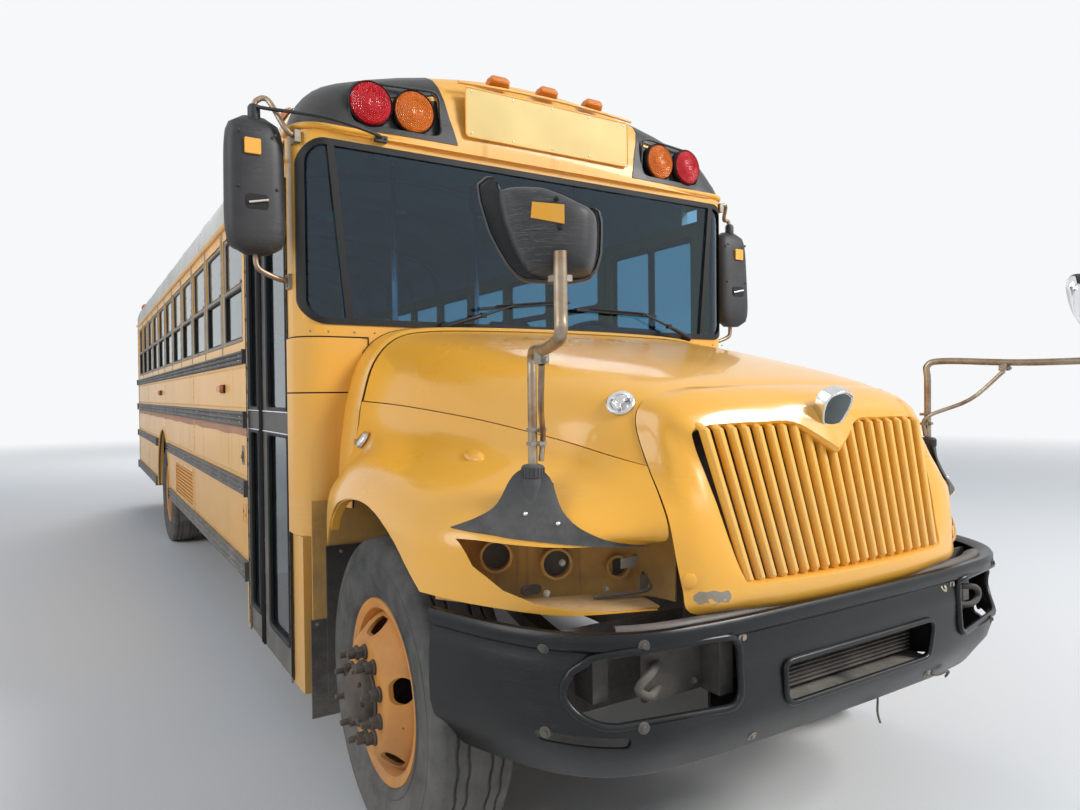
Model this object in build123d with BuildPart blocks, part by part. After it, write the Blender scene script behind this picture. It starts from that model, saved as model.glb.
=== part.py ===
from build123d import *
from collections import namedtuple
from math import atan2, cos, hypot, sin, sqrt
import os

os.makedirs("parts", exist_ok=True)

# A conventional school bus, millimetres. X = 0 is its centre plane and +X its left (driver's)
# side, the nose points to -Y, and Z = 0 is the ground. Y = 0 is halfway along the whole bus.

# Cabin
COWL_Y = -3650.0  # front face of the cabin, under the windscreen
BODY_LENGTH = 9150.0
BODY_WIDTH = 2440.0
WALL = 45.0
CORNER_R = 120.0  # plan radius of the cabin's corners
SKIRT_Z = 530.0
ROOF_Z = 3064.0
ROOF_RISE = 527.0  # drip rail at the foot of the roof to its crown
CROWN_R = 3077.0  # section radius of the roof's crown
SHOULDER_R = 299.0  # and of the bends at its sides
FLOOR_Z = 1060.0
FLOOR_THICK = 50.0
CAP_DEPTH = 330.0
EDGE_R = 60.0  # rounding of the cabin's front and rear edges

# Wheels and frame
WHEELBASE = 6350.0
AXLE_TO_COWL = 680.0
TIRE_R = 515.0
TIRE_WIDTH = 276.0
RIM_R = 300.0
DISC_OFFSET = 168.0  # wheel centre to the disc's mounting face
FRONT_TRACK = 2040.0
DUAL_CENTER_X = 885.0
KINGPIN_X = 860.0
RAIL_OUTER_X = 432.0
RAIL_HEIGHT = 254.0
RAIL_FLANGE = 76.0
RAIL_WEB = 8.0
RAIL_TOP_Z = 955.0
ARCH_R = 580.0
ARCH_CENTER_Z = 600.0

# Side windows
WINDOW_COUNT = 11
WINDOW_PITCH = 698.0
WINDOW_WIDTH = 600.0
WINDOW_HEIGHT = 643.0
WINDOW_HEAD = 77.0  # drip rail down to the window's head
LOWER_SASH = 316.0  # height of the lower, fixed sash
WINDOW_START = 1200.0  # cowl to the first window
SASH = 26.0
GLASS = 5.0

# Entrance door
DOOR_START = 200.0  # cowl to the door's front edge
DOOR_WIDTH = 900.0
DOOR_LOW_Z = 276.0
DOOR_HEAD = 85.0  # drip rail down to the door's head
FRONT_LEAF_WIDTH = 565.0
LEAF_THICK = 34.0
DOOR_GAP = 6.0

# Nose
HOOD_GAP = 150.0  # cowl to the hood's rear edge
NOSE_LENGTH = 1640.0  # cowl to the foot of the nose
HOOD_SKIN = 9.0
HOOD_LOW_Z = 900.0
FENDER_INSET = 15.0  # body side to the fender's side
FENDER_ARCH_R = 655.0
GRILLE_TOP_Z = 1422.0
GRILLE_LOW_Z = 999.0
GRILLE_TOP_X = 539.0
GRILLE_LOW_X = 453.0
SLAT_COUNT = 20

# Bumpers
BUMPER_LOW_Z = 520.0
BUMPER_BELT_Z = 640.0
BUMPER_HIGH_Z = 885.0
BUMPER_AHEAD = 90.0  # bumper face ahead of the foot of the nose
BUMPER_SHELL = 40.0

# Fits
TOUCH = 0.5  # air between pieces that only lie beside each other
RUNNING = 0.05  # radial clearance of pins and spindles

HALF = BODY_WIDTH / 2
FLOOR_LOW_Z = FLOOR_Z - FLOOR_THICK
DRIP_Z = ROOF_Z - ROOF_RISE
WINDOW_HIGH_Z = DRIP_Z - WINDOW_HEAD
WINDOW_LOW_Z = WINDOW_HIGH_Z - WINDOW_HEIGHT
WINDOW_MID_Z = WINDOW_LOW_Z + LOWER_SASH
DOOR_HIGH_Z = DRIP_Z - DOOR_HEAD
REAR_Y = COWL_Y + BODY_LENGTH
FRONT_AXLE_Y = COWL_Y - AXLE_TO_COWL
REAR_AXLE_Y = FRONT_AXLE_Y + WHEELBASE
DOOR_Y = COWL_Y + DOOR_START
DOOR_END_Y = DOOR_Y + DOOR_WIDTH
WINDOW_Y = COWL_Y + WINDOW_START
NOSE_Y = COWL_Y - NOSE_LENGTH
HOOD_REAR_Y = COWL_Y - HOOD_GAP
FENDER_X = HALF - FENDER_INSET
SIDES = (("right", -1), ("left", 1))


def save(builder, name):
    """Label a finished piece and write its file."""
    builder.part.label = name
    export_step(builder.part, f"parts/{name}.step")


def across(y):
    """Plane across the bus at y, drawn as (x, z), facing the nose."""
    return Plane.XZ.offset(-y)


def along(x):
    """Plane along the bus at x, drawn as (y, z), facing left."""
    return Plane.YZ.offset(x)


def cabin_outline(inset=0.0, low_z=DRIP_Z):
    """Cabin section: straight walls, bends and a crown that meet tangentially."""
    bend_x = HALF - SHOULDER_R
    crown_z = ROOF_Z - CROWN_R
    bend_z = crown_z + sqrt((CROWN_R - SHOULDER_R) ** 2 - bend_x**2)
    tilt = atan2(bend_x, bend_z - crown_z)
    bend_r = SHOULDER_R - inset
    top = (0, ROOF_Z - inset)
    wall_x = HALF - inset
    shoulder = (bend_x + bend_r * sin(tilt), bend_z + bend_r * cos(tilt))
    with BuildSketch() as outline:
        with BuildLine():
            Line((0, low_z), (wall_x, low_z))
            Line((wall_x, low_z), (wall_x, bend_z))
            RadiusArc((wall_x, bend_z), shoulder, -bend_r)
            RadiusArc(shoulder, top, -(CROWN_R - inset))
            Line(top, (0, low_z))
        make_face()
        mirror(about=Plane.YZ)
    return outline.sketch


def corner_plan(inset, depth, front_y=COWL_Y):
    """Plan of the cabin's front end: a flat face with rounded corners, open behind."""
    with BuildSketch() as outline:
        with BuildLine():
            Line((0, front_y + inset), (HALF - CORNER_R, front_y + inset))
            RadiusArc(
                (HALF - CORNER_R, front_y + inset),
                (HALF - inset, front_y + CORNER_R),
                -(CORNER_R - inset),
            )
            Line((HALF - inset, front_y + CORNER_R), (HALF - inset, front_y + depth))
            Line((HALF - inset, front_y + depth), (0, front_y + depth))
            Line((0, front_y + depth), (0, front_y + inset))
        make_face()
        mirror(about=Plane.YZ)
    return outline.sketch


def tube(points, radius, bend):
    """Round tube along a path of straight runs and bends."""
    with BuildPart() as pipe:
        with BuildLine():
            path = FilletPolyline(*points, radius=bend)
        with BuildSketch(Plane(origin=path @ 0, z_dir=path % 0)):
            Circle(radius)
        sweep(path=path)
    return pipe.part


# Frame: two channel rails with cross members
RAIL_START_Y = NOSE_Y + 110
RAIL_END_Y = REAR_Y - 150
CROSS_START_Y = COWL_Y + 900
CROSS_PITCH = 1120.0
CROSS_COUNT = int((RAIL_END_Y - 40 - CROSS_START_Y) / CROSS_PITCH) + 1
CROSS_MEMBERS_Y = [NOSE_Y + 160] + [CROSS_START_Y + i * CROSS_PITCH for i in range(CROSS_COUNT)]
CROSS_MEMBER_Z = RAIL_TOP_Z - 60
RAIL_LOW_Z = RAIL_TOP_Z - RAIL_HEIGHT
HOOD_HINGE_X = 390.0
HOOD_HINGE_Y = NOSE_Y - 20
HOOD_HINGE_Z = HOOD_LOW_Z
HINGE_PIN_R = 6.0
HINGE_LUG_R = 12.0

with BuildPart() as chassis_frame:
    with BuildSketch(across(RAIL_START_Y)):
        for side in (-1, 1):
            with Locations((side * (RAIL_OUTER_X - RAIL_FLANGE / 2), RAIL_TOP_Z - RAIL_HEIGHT / 2)):
                Rectangle(RAIL_FLANGE, RAIL_HEIGHT)
            with Locations(
                (side * (RAIL_OUTER_X - RAIL_FLANGE / 2 - RAIL_WEB), RAIL_TOP_Z - RAIL_HEIGHT / 2)
            ):
                Rectangle(RAIL_FLANGE, RAIL_HEIGHT - 2 * RAIL_WEB, mode=Mode.SUBTRACT)
    extrude(amount=-(RAIL_END_Y - RAIL_START_Y))
    for y in CROSS_MEMBERS_Y:
        with Locations((0, y, CROSS_MEMBER_Z)):
            Box(2 * (RAIL_OUTER_X - RAIL_WEB) + 2, 70, 100)
    for side in (-1, 1):
        with Locations((side * HOOD_HINGE_X, NOSE_Y + 75, 795)):
            Box(12, 70, 206)
        with Locations((side * HOOD_HINGE_X, NOSE_Y + 40, BUMPER_HIGH_Z + 7)):
            Box(12, 140, 12)
        pin = (side * (HOOD_HINGE_X - 12), HOOD_HINGE_Y, HOOD_HINGE_Z)
        with Locations(Location(pin, (0, 90, 0))):
            Cylinder(HINGE_PIN_R, 36)
        with Locations((side * HOOD_HINGE_X, RAIL_START_Y + 5, 780)):
            Box(60, 10, 150)
save(chassis_frame, "chassis_frame")

# Engine, gearbox and radiator stand as plain masses on mounts between the rails
ENGINE = (620.0, 900.0, 560.0)
ENGINE_LOW_Z = 790.0
ENGINE_REAR_Y = COWL_Y - 120
GEARBOX_R = 175.0
GEARBOX_LENGTH = 720.0
RADIATOR = (700.0, 70.0, 520.0)
RADIATOR_Y = NOSE_Y + 350
RADIATOR_LOW_Z = 800.0
WEB_X = RAIL_OUTER_X - RAIL_WEB  # inner face of each rail's web
with BuildPart() as engine:
    with Locations((0, ENGINE_REAR_Y - ENGINE[1] / 2, ENGINE_LOW_Z + ENGINE[2] / 2)):
        block = Box(*ENGINE)
    chamfer(block.edges().filter_by(Axis.Y).group_by(Axis.Z)[-1], 60)
    with BuildSketch(across(ENGINE_REAR_Y)):
        with Locations((0, ENGINE_LOW_Z - 20)):
            Circle(GEARBOX_R)
    extrude(amount=-GEARBOX_LENGTH)
    with Locations((0, RADIATOR_Y, RADIATOR_LOW_Z + RADIATOR[2] / 2)):
        Box(*RADIATOR)
    with Locations((0, RADIATOR_Y, RADIATOR_LOW_Z - 15)):
        Box(2 * WEB_X, 50, 30)
    for ahead in (160, 740):
        with Locations((0, ENGINE_REAR_Y - ahead, ENGINE_LOW_Z + 60)):
            Box(2 * WEB_X, 80, 40)
save(engine, "engine")

# Front axle: a dropped beam with a round eye at each king pin
BEAM_Z = 455.0
EYE_R = 46.0
EYE_HEIGHT = 90.0
PIN_R = 24.0
with BuildPart() as front_axle:
    with BuildSketch(across(FRONT_AXLE_Y - 38)):
        with BuildLine():
            Polyline(
                (0, BEAM_Z - 55),
                (480, BEAM_Z - 55),
                (700, TIRE_R - 40),
                (KINGPIN_X, TIRE_R - 40),
                (KINGPIN_X, TIRE_R + 40),
                (680, TIRE_R + 40),
                (500, BEAM_Z + 35),
                (0, BEAM_Z + 35),
                close=True,
            )
        make_face()
        mirror(about=Plane.YZ)
    extrude(amount=-76)
    for side in (-1, 1):
        with Locations((side * KINGPIN_X, FRONT_AXLE_Y, TIRE_R)):
            Cylinder(EYE_R, EYE_HEIGHT)
            Cylinder(PIN_R + RUNNING, EYE_HEIGHT, mode=Mode.SUBTRACT)
save(front_axle, "front_axle")

# Rear axle: banjo housing with spindles for the twin wheels
AXLE_TUBE_R = 62.0
SPINDLE_R = 45.0
SPINDLE_END_X = 1010.0
with BuildPart() as rear_axle:
    with Locations(Location((0, REAR_AXLE_Y, TIRE_R), (0, 90, 0))):
        Cylinder(AXLE_TUBE_R, 1240)
        Cylinder(SPINDLE_R, 2 * SPINDLE_END_X)
    with Locations((0, REAR_AXLE_Y, TIRE_R)):
        Sphere(195)
    with Locations(Location((0, REAR_AXLE_Y - 230, TIRE_R), (90, 0, 0))):
        Cylinder(70, 160)
save(rear_axle, "rear_axle")

# Leaf springs: tapered packs, one under each rail in front and outboard of it behind
Spring = namedtuple("Spring", "x y half_length seat_z eye_z")
SPRINGS = (
    Spring(RAIL_OUTER_X - 38, FRONT_AXLE_Y, 560, BEAM_Z + 35, 640),
    Spring(495, REAR_AXLE_Y, 640, TIRE_R + AXLE_TUBE_R, 672),
)
LEAF_WIDTH = 72.0
PACK_DEPTH = 74.0
with BuildPart() as leaf_springs:
    for spring in SPRINGS:
        for side in (-1, 1):
            with BuildSketch(along(side * spring.x - LEAF_WIDTH / 2)):
                with BuildLine():
                    Polyline(
                        (spring.y - 90, spring.seat_z),
                        (spring.y + 90, spring.seat_z),
                        (spring.y + spring.half_length, spring.eye_z - 14),
                        (spring.y + spring.half_length, spring.eye_z + 14),
                        (spring.y + 90, spring.seat_z + PACK_DEPTH),
                        (spring.y - 90, spring.seat_z + PACK_DEPTH),
                        (spring.y - spring.half_length, spring.eye_z + 14),
                        (spring.y - spring.half_length, spring.eye_z - 14),
                        close=True,
                    )
                make_face()
            extrude(amount=LEAF_WIDTH)
            for end in (-1, 1):
                eye = (side * spring.x, spring.y + end * spring.half_length, spring.eye_z)
                hanger_top = RAIL_LOW_Z
                with Locations(Location(eye, (0, 90, 0))):
                    Cylinder(26, LEAF_WIDTH)
                with Locations((side * spring.x, eye[1], (spring.eye_z + hanger_top) / 2)):
                    Box(LEAF_WIDTH, 40, hanger_top - spring.eye_z)
save(leaf_springs, "leaf_springs")

# Propeller shaft in two lengths, with its centre bearing
SHAFT_Z = 720.0
SHAFT_R = 50.0
SHAFT_START_Y = COWL_Y - 120 + GEARBOX_LENGTH + 12
SHAFT_END_Y = REAR_AXLE_Y - 325
CENTER_BEARING_Y = (SHAFT_START_Y + SHAFT_END_Y) / 2
with BuildPart() as driveshaft:
    for start, end in (
        ((SHAFT_START_Y, 740), (CENTER_BEARING_Y, SHAFT_Z)),
        ((CENTER_BEARING_Y, SHAFT_Z), (SHAFT_END_Y, 560)),
    ):
        length = hypot(end[0] - start[0], end[1] - start[1])
        axis = Plane(origin=(0, start[0], start[1]), z_dir=(0, end[0] - start[0], end[1] - start[1]))
        with BuildSketch(axis):
            Circle(SHAFT_R)
        extrude(amount=length)
    with Locations((0, CENTER_BEARING_Y, SHAFT_Z)):
        Box(150, 60, 150)
save(driveshaft, "driveshaft")

# Fuel tank behind the rear axle, hung from two bars between the rails
TANK = (620.0, 1150.0, 390.0)
TANK_Y = REAR_AXLE_Y + 1500
TANK_TOP_Z = 830.0
with BuildPart() as fuel_tank:
    with Locations((0, TANK_Y, TANK_TOP_Z - TANK[2] / 2)):
        tank = Box(*TANK)
    fillet(tank.edges().filter_by(Axis.Y), 60)
    with Locations((0, TANK_Y - 400, TANK_TOP_Z + 5), (0, TANK_Y + 400, TANK_TOP_Z + 5)):
        Box(2 * WEB_X, 60, 14)
save(fuel_tank, "fuel_tank")

# Exhaust: down pipe under the left rail, muffler hung from the floor, outlet before the axle
MUFFLER_X = 640.0
MUFFLER_Z = 800.0
MUFFLER_R = 125.0
MUFFLER_START_Y = COWL_Y + 2750
MUFFLER_END_Y = MUFFLER_START_Y + 950
PIPE_R = 45.0
PIPE_LOW_Z = RAIL_LOW_Z - PIPE_R - 14
OUTLET_Y = REAR_AXLE_Y - 1000
with BuildPart() as exhaust:
    with BuildSketch(across(MUFFLER_START_Y)):
        with Locations((MUFFLER_X, MUFFLER_Z)):
            Circle(MUFFLER_R)
    extrude(amount=-(MUFFLER_END_Y - MUFFLER_START_Y))
    add(
        tube(
            (
                (250, ENGINE_REAR_Y - 180, ENGINE_LOW_Z),
                (250, ENGINE_REAR_Y - 180, PIPE_LOW_Z),
                (250, ENGINE_REAR_Y + 270, PIPE_LOW_Z),
                (MUFFLER_X, ENGINE_REAR_Y + 570, PIPE_LOW_Z),
                (MUFFLER_X, MUFFLER_START_Y - 400, MUFFLER_Z),
                (MUFFLER_X, MUFFLER_START_Y + 20, MUFFLER_Z),
            ),
            PIPE_R,
            70,
        )
    )
    add(
        tube(
            (
                (MUFFLER_X, MUFFLER_END_Y - 20, MUFFLER_Z),
                (MUFFLER_X, MUFFLER_END_Y + 260, MUFFLER_Z),
                (MUFFLER_X, OUTLET_Y - 260, SKIRT_Z - 80),
                (HALF - 70, OUTLET_Y, SKIRT_Z - 80),
            ),
            PIPE_R,
            90,
        )
    )
    for y in (MUFFLER_START_Y + 150, MUFFLER_END_Y - 150):
        with Locations((MUFFLER_X, y, (MUFFLER_Z + MUFFLER_R - 10 + FLOOR_LOW_Z) / 2)):
            Box(60, 16, FLOOR_LOW_Z - MUFFLER_Z - MUFFLER_R + 10)
save(exhaust, "exhaust")

# Front bumper: bowed shell that tucks under, with intake and lamp openings
BUMPER_Y = NOSE_Y - BUMPER_AHEAD
BUMPER_CORNER = (800.0, 55.0)  # where the corner bend starts: x, and behind the face
BUMPER_END = (1175.0, 560.0)
BUMPER_ARM_X = RAIL_OUTER_X - 22  # arms that reach back to the rails' end plates


def bumper_outline(inset):
    """Plan of the bumper's face, closed behind it."""
    face_y = BUMPER_Y + inset
    corner = (BUMPER_CORNER[0] - inset / 2, face_y + BUMPER_CORNER[1])
    bend = (BUMPER_END[0] - 122 - inset, face_y + 262)
    end = (BUMPER_END[0] - inset, BUMPER_Y + BUMPER_END[1])
    with BuildSketch() as outline:
        with BuildLine():
            ThreePointArc((-corner[0], corner[1]), (0, face_y), corner)
            ThreePointArc(corner, bend, end)
            Line(end, (-end[0], end[1]))
            ThreePointArc((-end[0], end[1]), (-bend[0], bend[1]), (-corner[0], corner[1]))
        make_face()
    return outline.sketch


with BuildPart() as front_bumper:
    with BuildSketch(Plane.XY.offset(BUMPER_BELT_Z)):
        add(bumper_outline(0))
    extrude(amount=BUMPER_HIGH_Z - BUMPER_BELT_Z, taper=1.5)
    with BuildSketch(Plane.XY.offset(BUMPER_BELT_Z)):
        add(bumper_outline(0))
    extrude(amount=-(BUMPER_BELT_Z - BUMPER_LOW_Z), taper=24)
    with BuildSketch(Plane.XY.offset(BUMPER_LOW_Z)):
        add(bumper_outline(BUMPER_SHELL + 52))
    extrude(amount=BUMPER_HIGH_Z - BUMPER_LOW_Z, mode=Mode.SUBTRACT)
    with Locations(Location((0, FRONT_AXLE_Y, TIRE_R), (0, 90, 0))):
        Cylinder(FENDER_ARCH_R, 2 * HALF, mode=Mode.SUBTRACT)
    with BuildSketch(across(BUMPER_Y - 20)):
        with Locations((0, 708)):
            RectangleRounded(684, 128, 30)
        for side in (-1, 1):
            with Locations((side * 730, 742)):
                RectangleRounded(430, 132, 60)
            with Locations((side * 915, 612)):
                SlotOverall(170, 30)
    extrude(amount=-420, mode=Mode.SUBTRACT)
    for side in (-1, 1):
        with Locations((side * BUMPER_ARM_X, (BUMPER_Y + 46 + RAIL_START_Y) / 2, 760)):
            Box(24, RAIL_START_Y - BUMPER_Y - 46, 90)
save(front_bumper, "front_bumper")

# Rear bumper: a plain channel across the body's foot, drilled for a hitch plate
HITCH_HOLES = (240.0, 120.0, 8.5)  # spacing across, spacing up, hole radius
with BuildPart() as rear_bumper:
    with Locations((0, REAR_Y + 50, 640)):
        Box(BODY_WIDTH - 60, 100, 240)
    with Locations((0, REAR_Y + 38, 640)):
        Box(BODY_WIDTH - 80, 78, 224, mode=Mode.SUBTRACT)
    with BuildSketch(across(REAR_Y + 70)):
        with Locations((0, 640)):
            with GridLocations(HITCH_HOLES[0], HITCH_HOLES[1], 2, 2):
                Circle(HITCH_HOLES[2])
    extrude(amount=-40, mode=Mode.SUBTRACT)
save(rear_bumper, "rear_bumper")

# Floor with the wheel housings and the step well
STEP_COUNT = 3
STEP_SKIN = 8.0
FLOOR_X = HALF - WALL
HOUSE_INNER_X = 560.0
HOUSE_TOP_Z = 1195.0
HOUSE_HALF = 610.0
FLOOR_FRONT_Y = COWL_Y + WALL
WELL_X = HALF - LEAF_THICK - 50
WELL_RISE = (FLOOR_Z - 300) / STEP_COUNT
WELL_RUN = (WELL_X - 700) / (STEP_COUNT - 1)
with BuildPart() as floor:
    with Locations((0, (FLOOR_FRONT_Y + REAR_Y - WALL) / 2, FLOOR_Z - FLOOR_THICK / 2)):
        slab = Box(2 * FLOOR_X, REAR_Y - WALL - FLOOR_FRONT_Y, FLOOR_THICK)
    fillet(slab.edges().filter_by(Axis.Z), CORNER_R)
    for side in (-1, 1):
        house_x = side * (HOUSE_INNER_X + FLOOR_X) / 2
        with Locations((house_x, REAR_AXLE_Y, (FLOOR_LOW_Z + HOUSE_TOP_Z) / 2)):
            Box(FLOOR_X - HOUSE_INNER_X, 2 * HOUSE_HALF, HOUSE_TOP_Z - FLOOR_LOW_Z)
        with Locations(
            (house_x + side * STEP_SKIN, REAR_AXLE_Y, (FLOOR_LOW_Z + HOUSE_TOP_Z) / 2 - STEP_SKIN)
        ):
            Box(
                FLOOR_X - HOUSE_INNER_X,
                2 * (HOUSE_HALF - STEP_SKIN),
                HOUSE_TOP_Z - FLOOR_LOW_Z,
                mode=Mode.SUBTRACT,
            )
    with Locations((-(WELL_X + 700) / 2, DOOR_Y + DOOR_WIDTH / 2, FLOOR_Z - FLOOR_THICK / 2)):
        Box(WELL_X - 700 + 60, DOOR_WIDTH - 60, FLOOR_THICK + 2, mode=Mode.SUBTRACT)
    with BuildSketch(across(DOOR_Y + 30)):
        with BuildLine():
            steps = [(-700, FLOOR_Z)]
            for i in range(STEP_COUNT):
                x = -700 - i * WELL_RUN
                z = FLOOR_Z - (i + 1) * WELL_RISE
                steps.append((x, z))
                steps.append((x - (WELL_RUN if i < STEP_COUNT - 1 else 40), z))
            back = [(x + STEP_SKIN, z - STEP_SKIN) for x, z in reversed(steps)]
            Polyline(*steps, *back, close=True)
        make_face()
    extrude(amount=-(DOOR_WIDTH - 60))
save(floor, "floor")

# Floor beams: channels across the rails that carry the floor, none over the axle or step well
BEAM_WIDTH = 60.0
BEAM_SKIN = 5.0
BEAM_TALL = FLOOR_LOW_Z - RAIL_TOP_Z
BEAM_START_Y = WINDOW_Y - (WINDOW_PITCH - WINDOW_WIDTH) / 2
BEAMS_Y = [FLOOR_FRONT_Y + 50] + [BEAM_START_Y + i * WINDOW_PITCH for i in range(WINDOW_COUNT + 1)]
with BuildPart() as floor_beams:
    for y in BEAMS_Y:
        if abs(y - REAR_AXLE_Y) > HOUSE_HALF + BEAM_WIDTH:
            with Locations((0, y, (RAIL_TOP_Z + FLOOR_LOW_Z) / 2)):
                Box(2 * (FLOOR_X - 75), BEAM_WIDTH, BEAM_TALL)
            with Locations((0, y + BEAM_SKIN, (RAIL_TOP_Z + FLOOR_LOW_Z) / 2)):
                Box(
                    2 * FLOOR_X, BEAM_WIDTH - BEAM_SKIN, BEAM_TALL - 2 * BEAM_SKIN, mode=Mode.SUBTRACT
                )
save(floor_beams, "floor_beams")

# Side walls with their window, door and wheel openings
ARM_AXIS = (HALF + 52.0, COWL_Y + 1160.0)
ARM_Z = 1565.0
ARM_BARREL = 220.0
WINDOW_CENTERS_Y = [
    WINDOW_Y + WINDOW_WIDTH / 2 + i * WINDOW_PITCH for i in range(WINDOW_COUNT)
]
WINDOW_CENTER_Z = (WINDOW_HIGH_Z + WINDOW_LOW_Z) / 2
SIDE_END_Y = REAR_Y - CORNER_R
DRIVER_WINDOW = (COWL_Y + 250.0, 800.0, WINDOW_LOW_Z - 117)  # front edge, width, sill
Vent = namedtuple("Vent", "y z width height depth louvres")
VENT = Vent(COWL_Y + 3915.0, 790.0, 1150.0, 260.0, 20.0, 9)  # louvred panel in the right skirt


def side_windows(inset=0.0):
    """The passenger windows' openings, drawn in a plane along the bus."""
    for y in WINDOW_CENTERS_Y:
        with Locations((y, WINDOW_CENTER_Z)):
            Rectangle(WINDOW_WIDTH - 2 * inset, WINDOW_HEIGHT - 2 * inset)


def driver_window(inset=0.0):
    """The driver's window opening, drawn in a plane along the bus."""
    front, width, sill = DRIVER_WINDOW
    with Locations((front + width / 2, (sill + WINDOW_HIGH_Z) / 2)):
        Rectangle(width - 2 * inset, WINDOW_HIGH_Z - sill - 2 * inset)


for name, side in SIDES:
    with BuildPart() as side_wall:
        with BuildSketch(along(side * HALF)):
            with Locations(((DOOR_Y + SIDE_END_Y) / 2, (SKIRT_Z + DRIP_Z) / 2)):
                Rectangle(SIDE_END_Y - DOOR_Y, DRIP_Z - SKIRT_Z)
            for y in WINDOW_CENTERS_Y:
                with Locations((y, WINDOW_CENTER_Z)):
                    Rectangle(WINDOW_WIDTH, WINDOW_HEIGHT, mode=Mode.SUBTRACT)
            with Locations((REAR_AXLE_Y, ARCH_CENTER_Z)):
                Circle(ARCH_R, mode=Mode.SUBTRACT)
                Rectangle(2 * ARCH_R, 2 * (ARCH_CENTER_Z - SKIRT_Z), mode=Mode.SUBTRACT)
            if side < 0:
                with Locations((DOOR_Y + DOOR_WIDTH / 2, (DOOR_HIGH_Z + SKIRT_Z) / 2)):
                    Rectangle(DOOR_WIDTH, DOOR_HIGH_Z - SKIRT_Z, mode=Mode.SUBTRACT)
                with Locations((DOOR_END_Y + 35, (SKIRT_Z + DOOR_LOW_Z) / 2)):
                    Rectangle(70, SKIRT_Z - DOOR_LOW_Z)
            else:
                front, width, sill = DRIVER_WINDOW
                with Locations((front + width / 2, (sill + WINDOW_HIGH_Z) / 2)):
                    Rectangle(width, WINDOW_HIGH_Z - sill, mode=Mode.SUBTRACT)
        extrude(amount=-side * WALL)
        if side < 0:
            with BuildSketch(along(-HALF)):
                with Locations((VENT.y, VENT.z)):
                    Rectangle(VENT.width, VENT.height)
                    with GridLocations(0, VENT.height / VENT.louvres, 1, VENT.louvres):
                        Rectangle(VENT.width, 10, mode=Mode.SUBTRACT)
            extrude(amount=VENT.depth, mode=Mode.SUBTRACT)
        else:
            for end in (-1, 1):
                with Locations((HALF + 34, ARM_AXIS[1], ARM_Z + end * (ARM_BARREL / 2 + 10))):
                    Box(68, 36, 16)
    save(side_wall, f"side_wall_{name}")

# Window sashes and panes
SASH_DEPTH = 34.0
with BuildPart() as window_frames:
    for side in (-1, 1):
        with BuildSketch(along(side * (HALF - 4))):
            side_windows()
            for y in WINDOW_CENTERS_Y:
                for low, high in ((WINDOW_LOW_Z, WINDOW_MID_Z), (WINDOW_MID_Z, WINDOW_HIGH_Z)):
                    with Locations((y, (low + high) / 2)):
                        Rectangle(WINDOW_WIDTH - 2 * SASH, high - low - 2 * SASH, mode=Mode.SUBTRACT)
            if side > 0:
                driver_window()
                front, width, sill = DRIVER_WINDOW
                with Locations((front + width / 2, (sill + WINDOW_HIGH_Z) / 2)):
                    Rectangle(
                        width - 2 * SASH, WINDOW_HIGH_Z - sill - 2 * SASH, mode=Mode.SUBTRACT
                    )
        extrude(amount=-side * SASH_DEPTH)
save(window_frames, "window_frames")

with BuildPart() as window_glass:
    for side in (-1, 1):
        with BuildSketch(along(side * (HALF - 18))):
            for y in WINDOW_CENTERS_Y:
                for low, high in ((WINDOW_LOW_Z, WINDOW_MID_Z), (WINDOW_MID_Z, WINDOW_HIGH_Z)):
                    with Locations((y, (low + high) / 2)):
                        Rectangle(WINDOW_WIDTH - 2 * SASH, high - low - 2 * SASH)
            if side > 0:
                driver_window(SASH)
        extrude(amount=-side * GLASS)
save(window_glass, "window_glass")

# Roof shell from the front cap to the rear wall, with two hatch openings
ROOF_START_Y = COWL_Y + CAP_DEPTH
ROOF_END_Y = REAR_Y - CORNER_R
HATCH = 600.0
HATCHES_Y = (COWL_Y + 2900.0, REAR_Y - 2550.0)
HATCH_CURB = 30.0
HATCH_LID = 34.0
with BuildPart() as roof:
    with BuildSketch(across(ROOF_START_Y)):
        add(cabin_outline())
    extrude(amount=-(ROOF_END_Y - ROOF_START_Y))
    with BuildSketch(across(ROOF_START_Y)):
        add(cabin_outline(WALL))
    extrude(amount=-(ROOF_END_Y - ROOF_START_Y), mode=Mode.SUBTRACT)
    for y in HATCHES_Y:
        with Locations((0, y, ROOF_Z - 30)):
            Box(HATCH, HATCH, 110)
            Box(HATCH - 2 * HATCH_CURB, HATCH - 2 * HATCH_CURB, 140, mode=Mode.SUBTRACT)
save(roof, "roof")

HATCH_SEAT_Z = ROOF_Z + 25
HATCH_HINGE = HATCH / 2 + 9  # hatch centre forward to its hinge
HATCH_HINGE_Z = HATCH_SEAT_Z + 4
HATCH_HINGE_R = 7.0
for name, y in (("front", HATCHES_Y[0]), ("rear", HATCHES_Y[1])):
    with BuildPart() as roof_hatch:
        with BuildSketch(Plane.XY.offset(HATCH_SEAT_Z + TOUCH)):
            with Locations((0, y)):
                RectangleRounded(HATCH, HATCH, 50)
        extrude(amount=HATCH_LID, taper=25)
        for x in (-180, 180):
            with Locations(Location((x, y - HATCH_HINGE, HATCH_HINGE_Z), (0, 90, 0))):
                Cylinder(HATCH_HINGE_R, 120)
            with Locations((x, y - HATCH_HINGE + 12, HATCH_HINGE_Z + 2)):
                Box(120, 24, 5)
    save(roof_hatch, f"roof_hatch_{name}")

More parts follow.
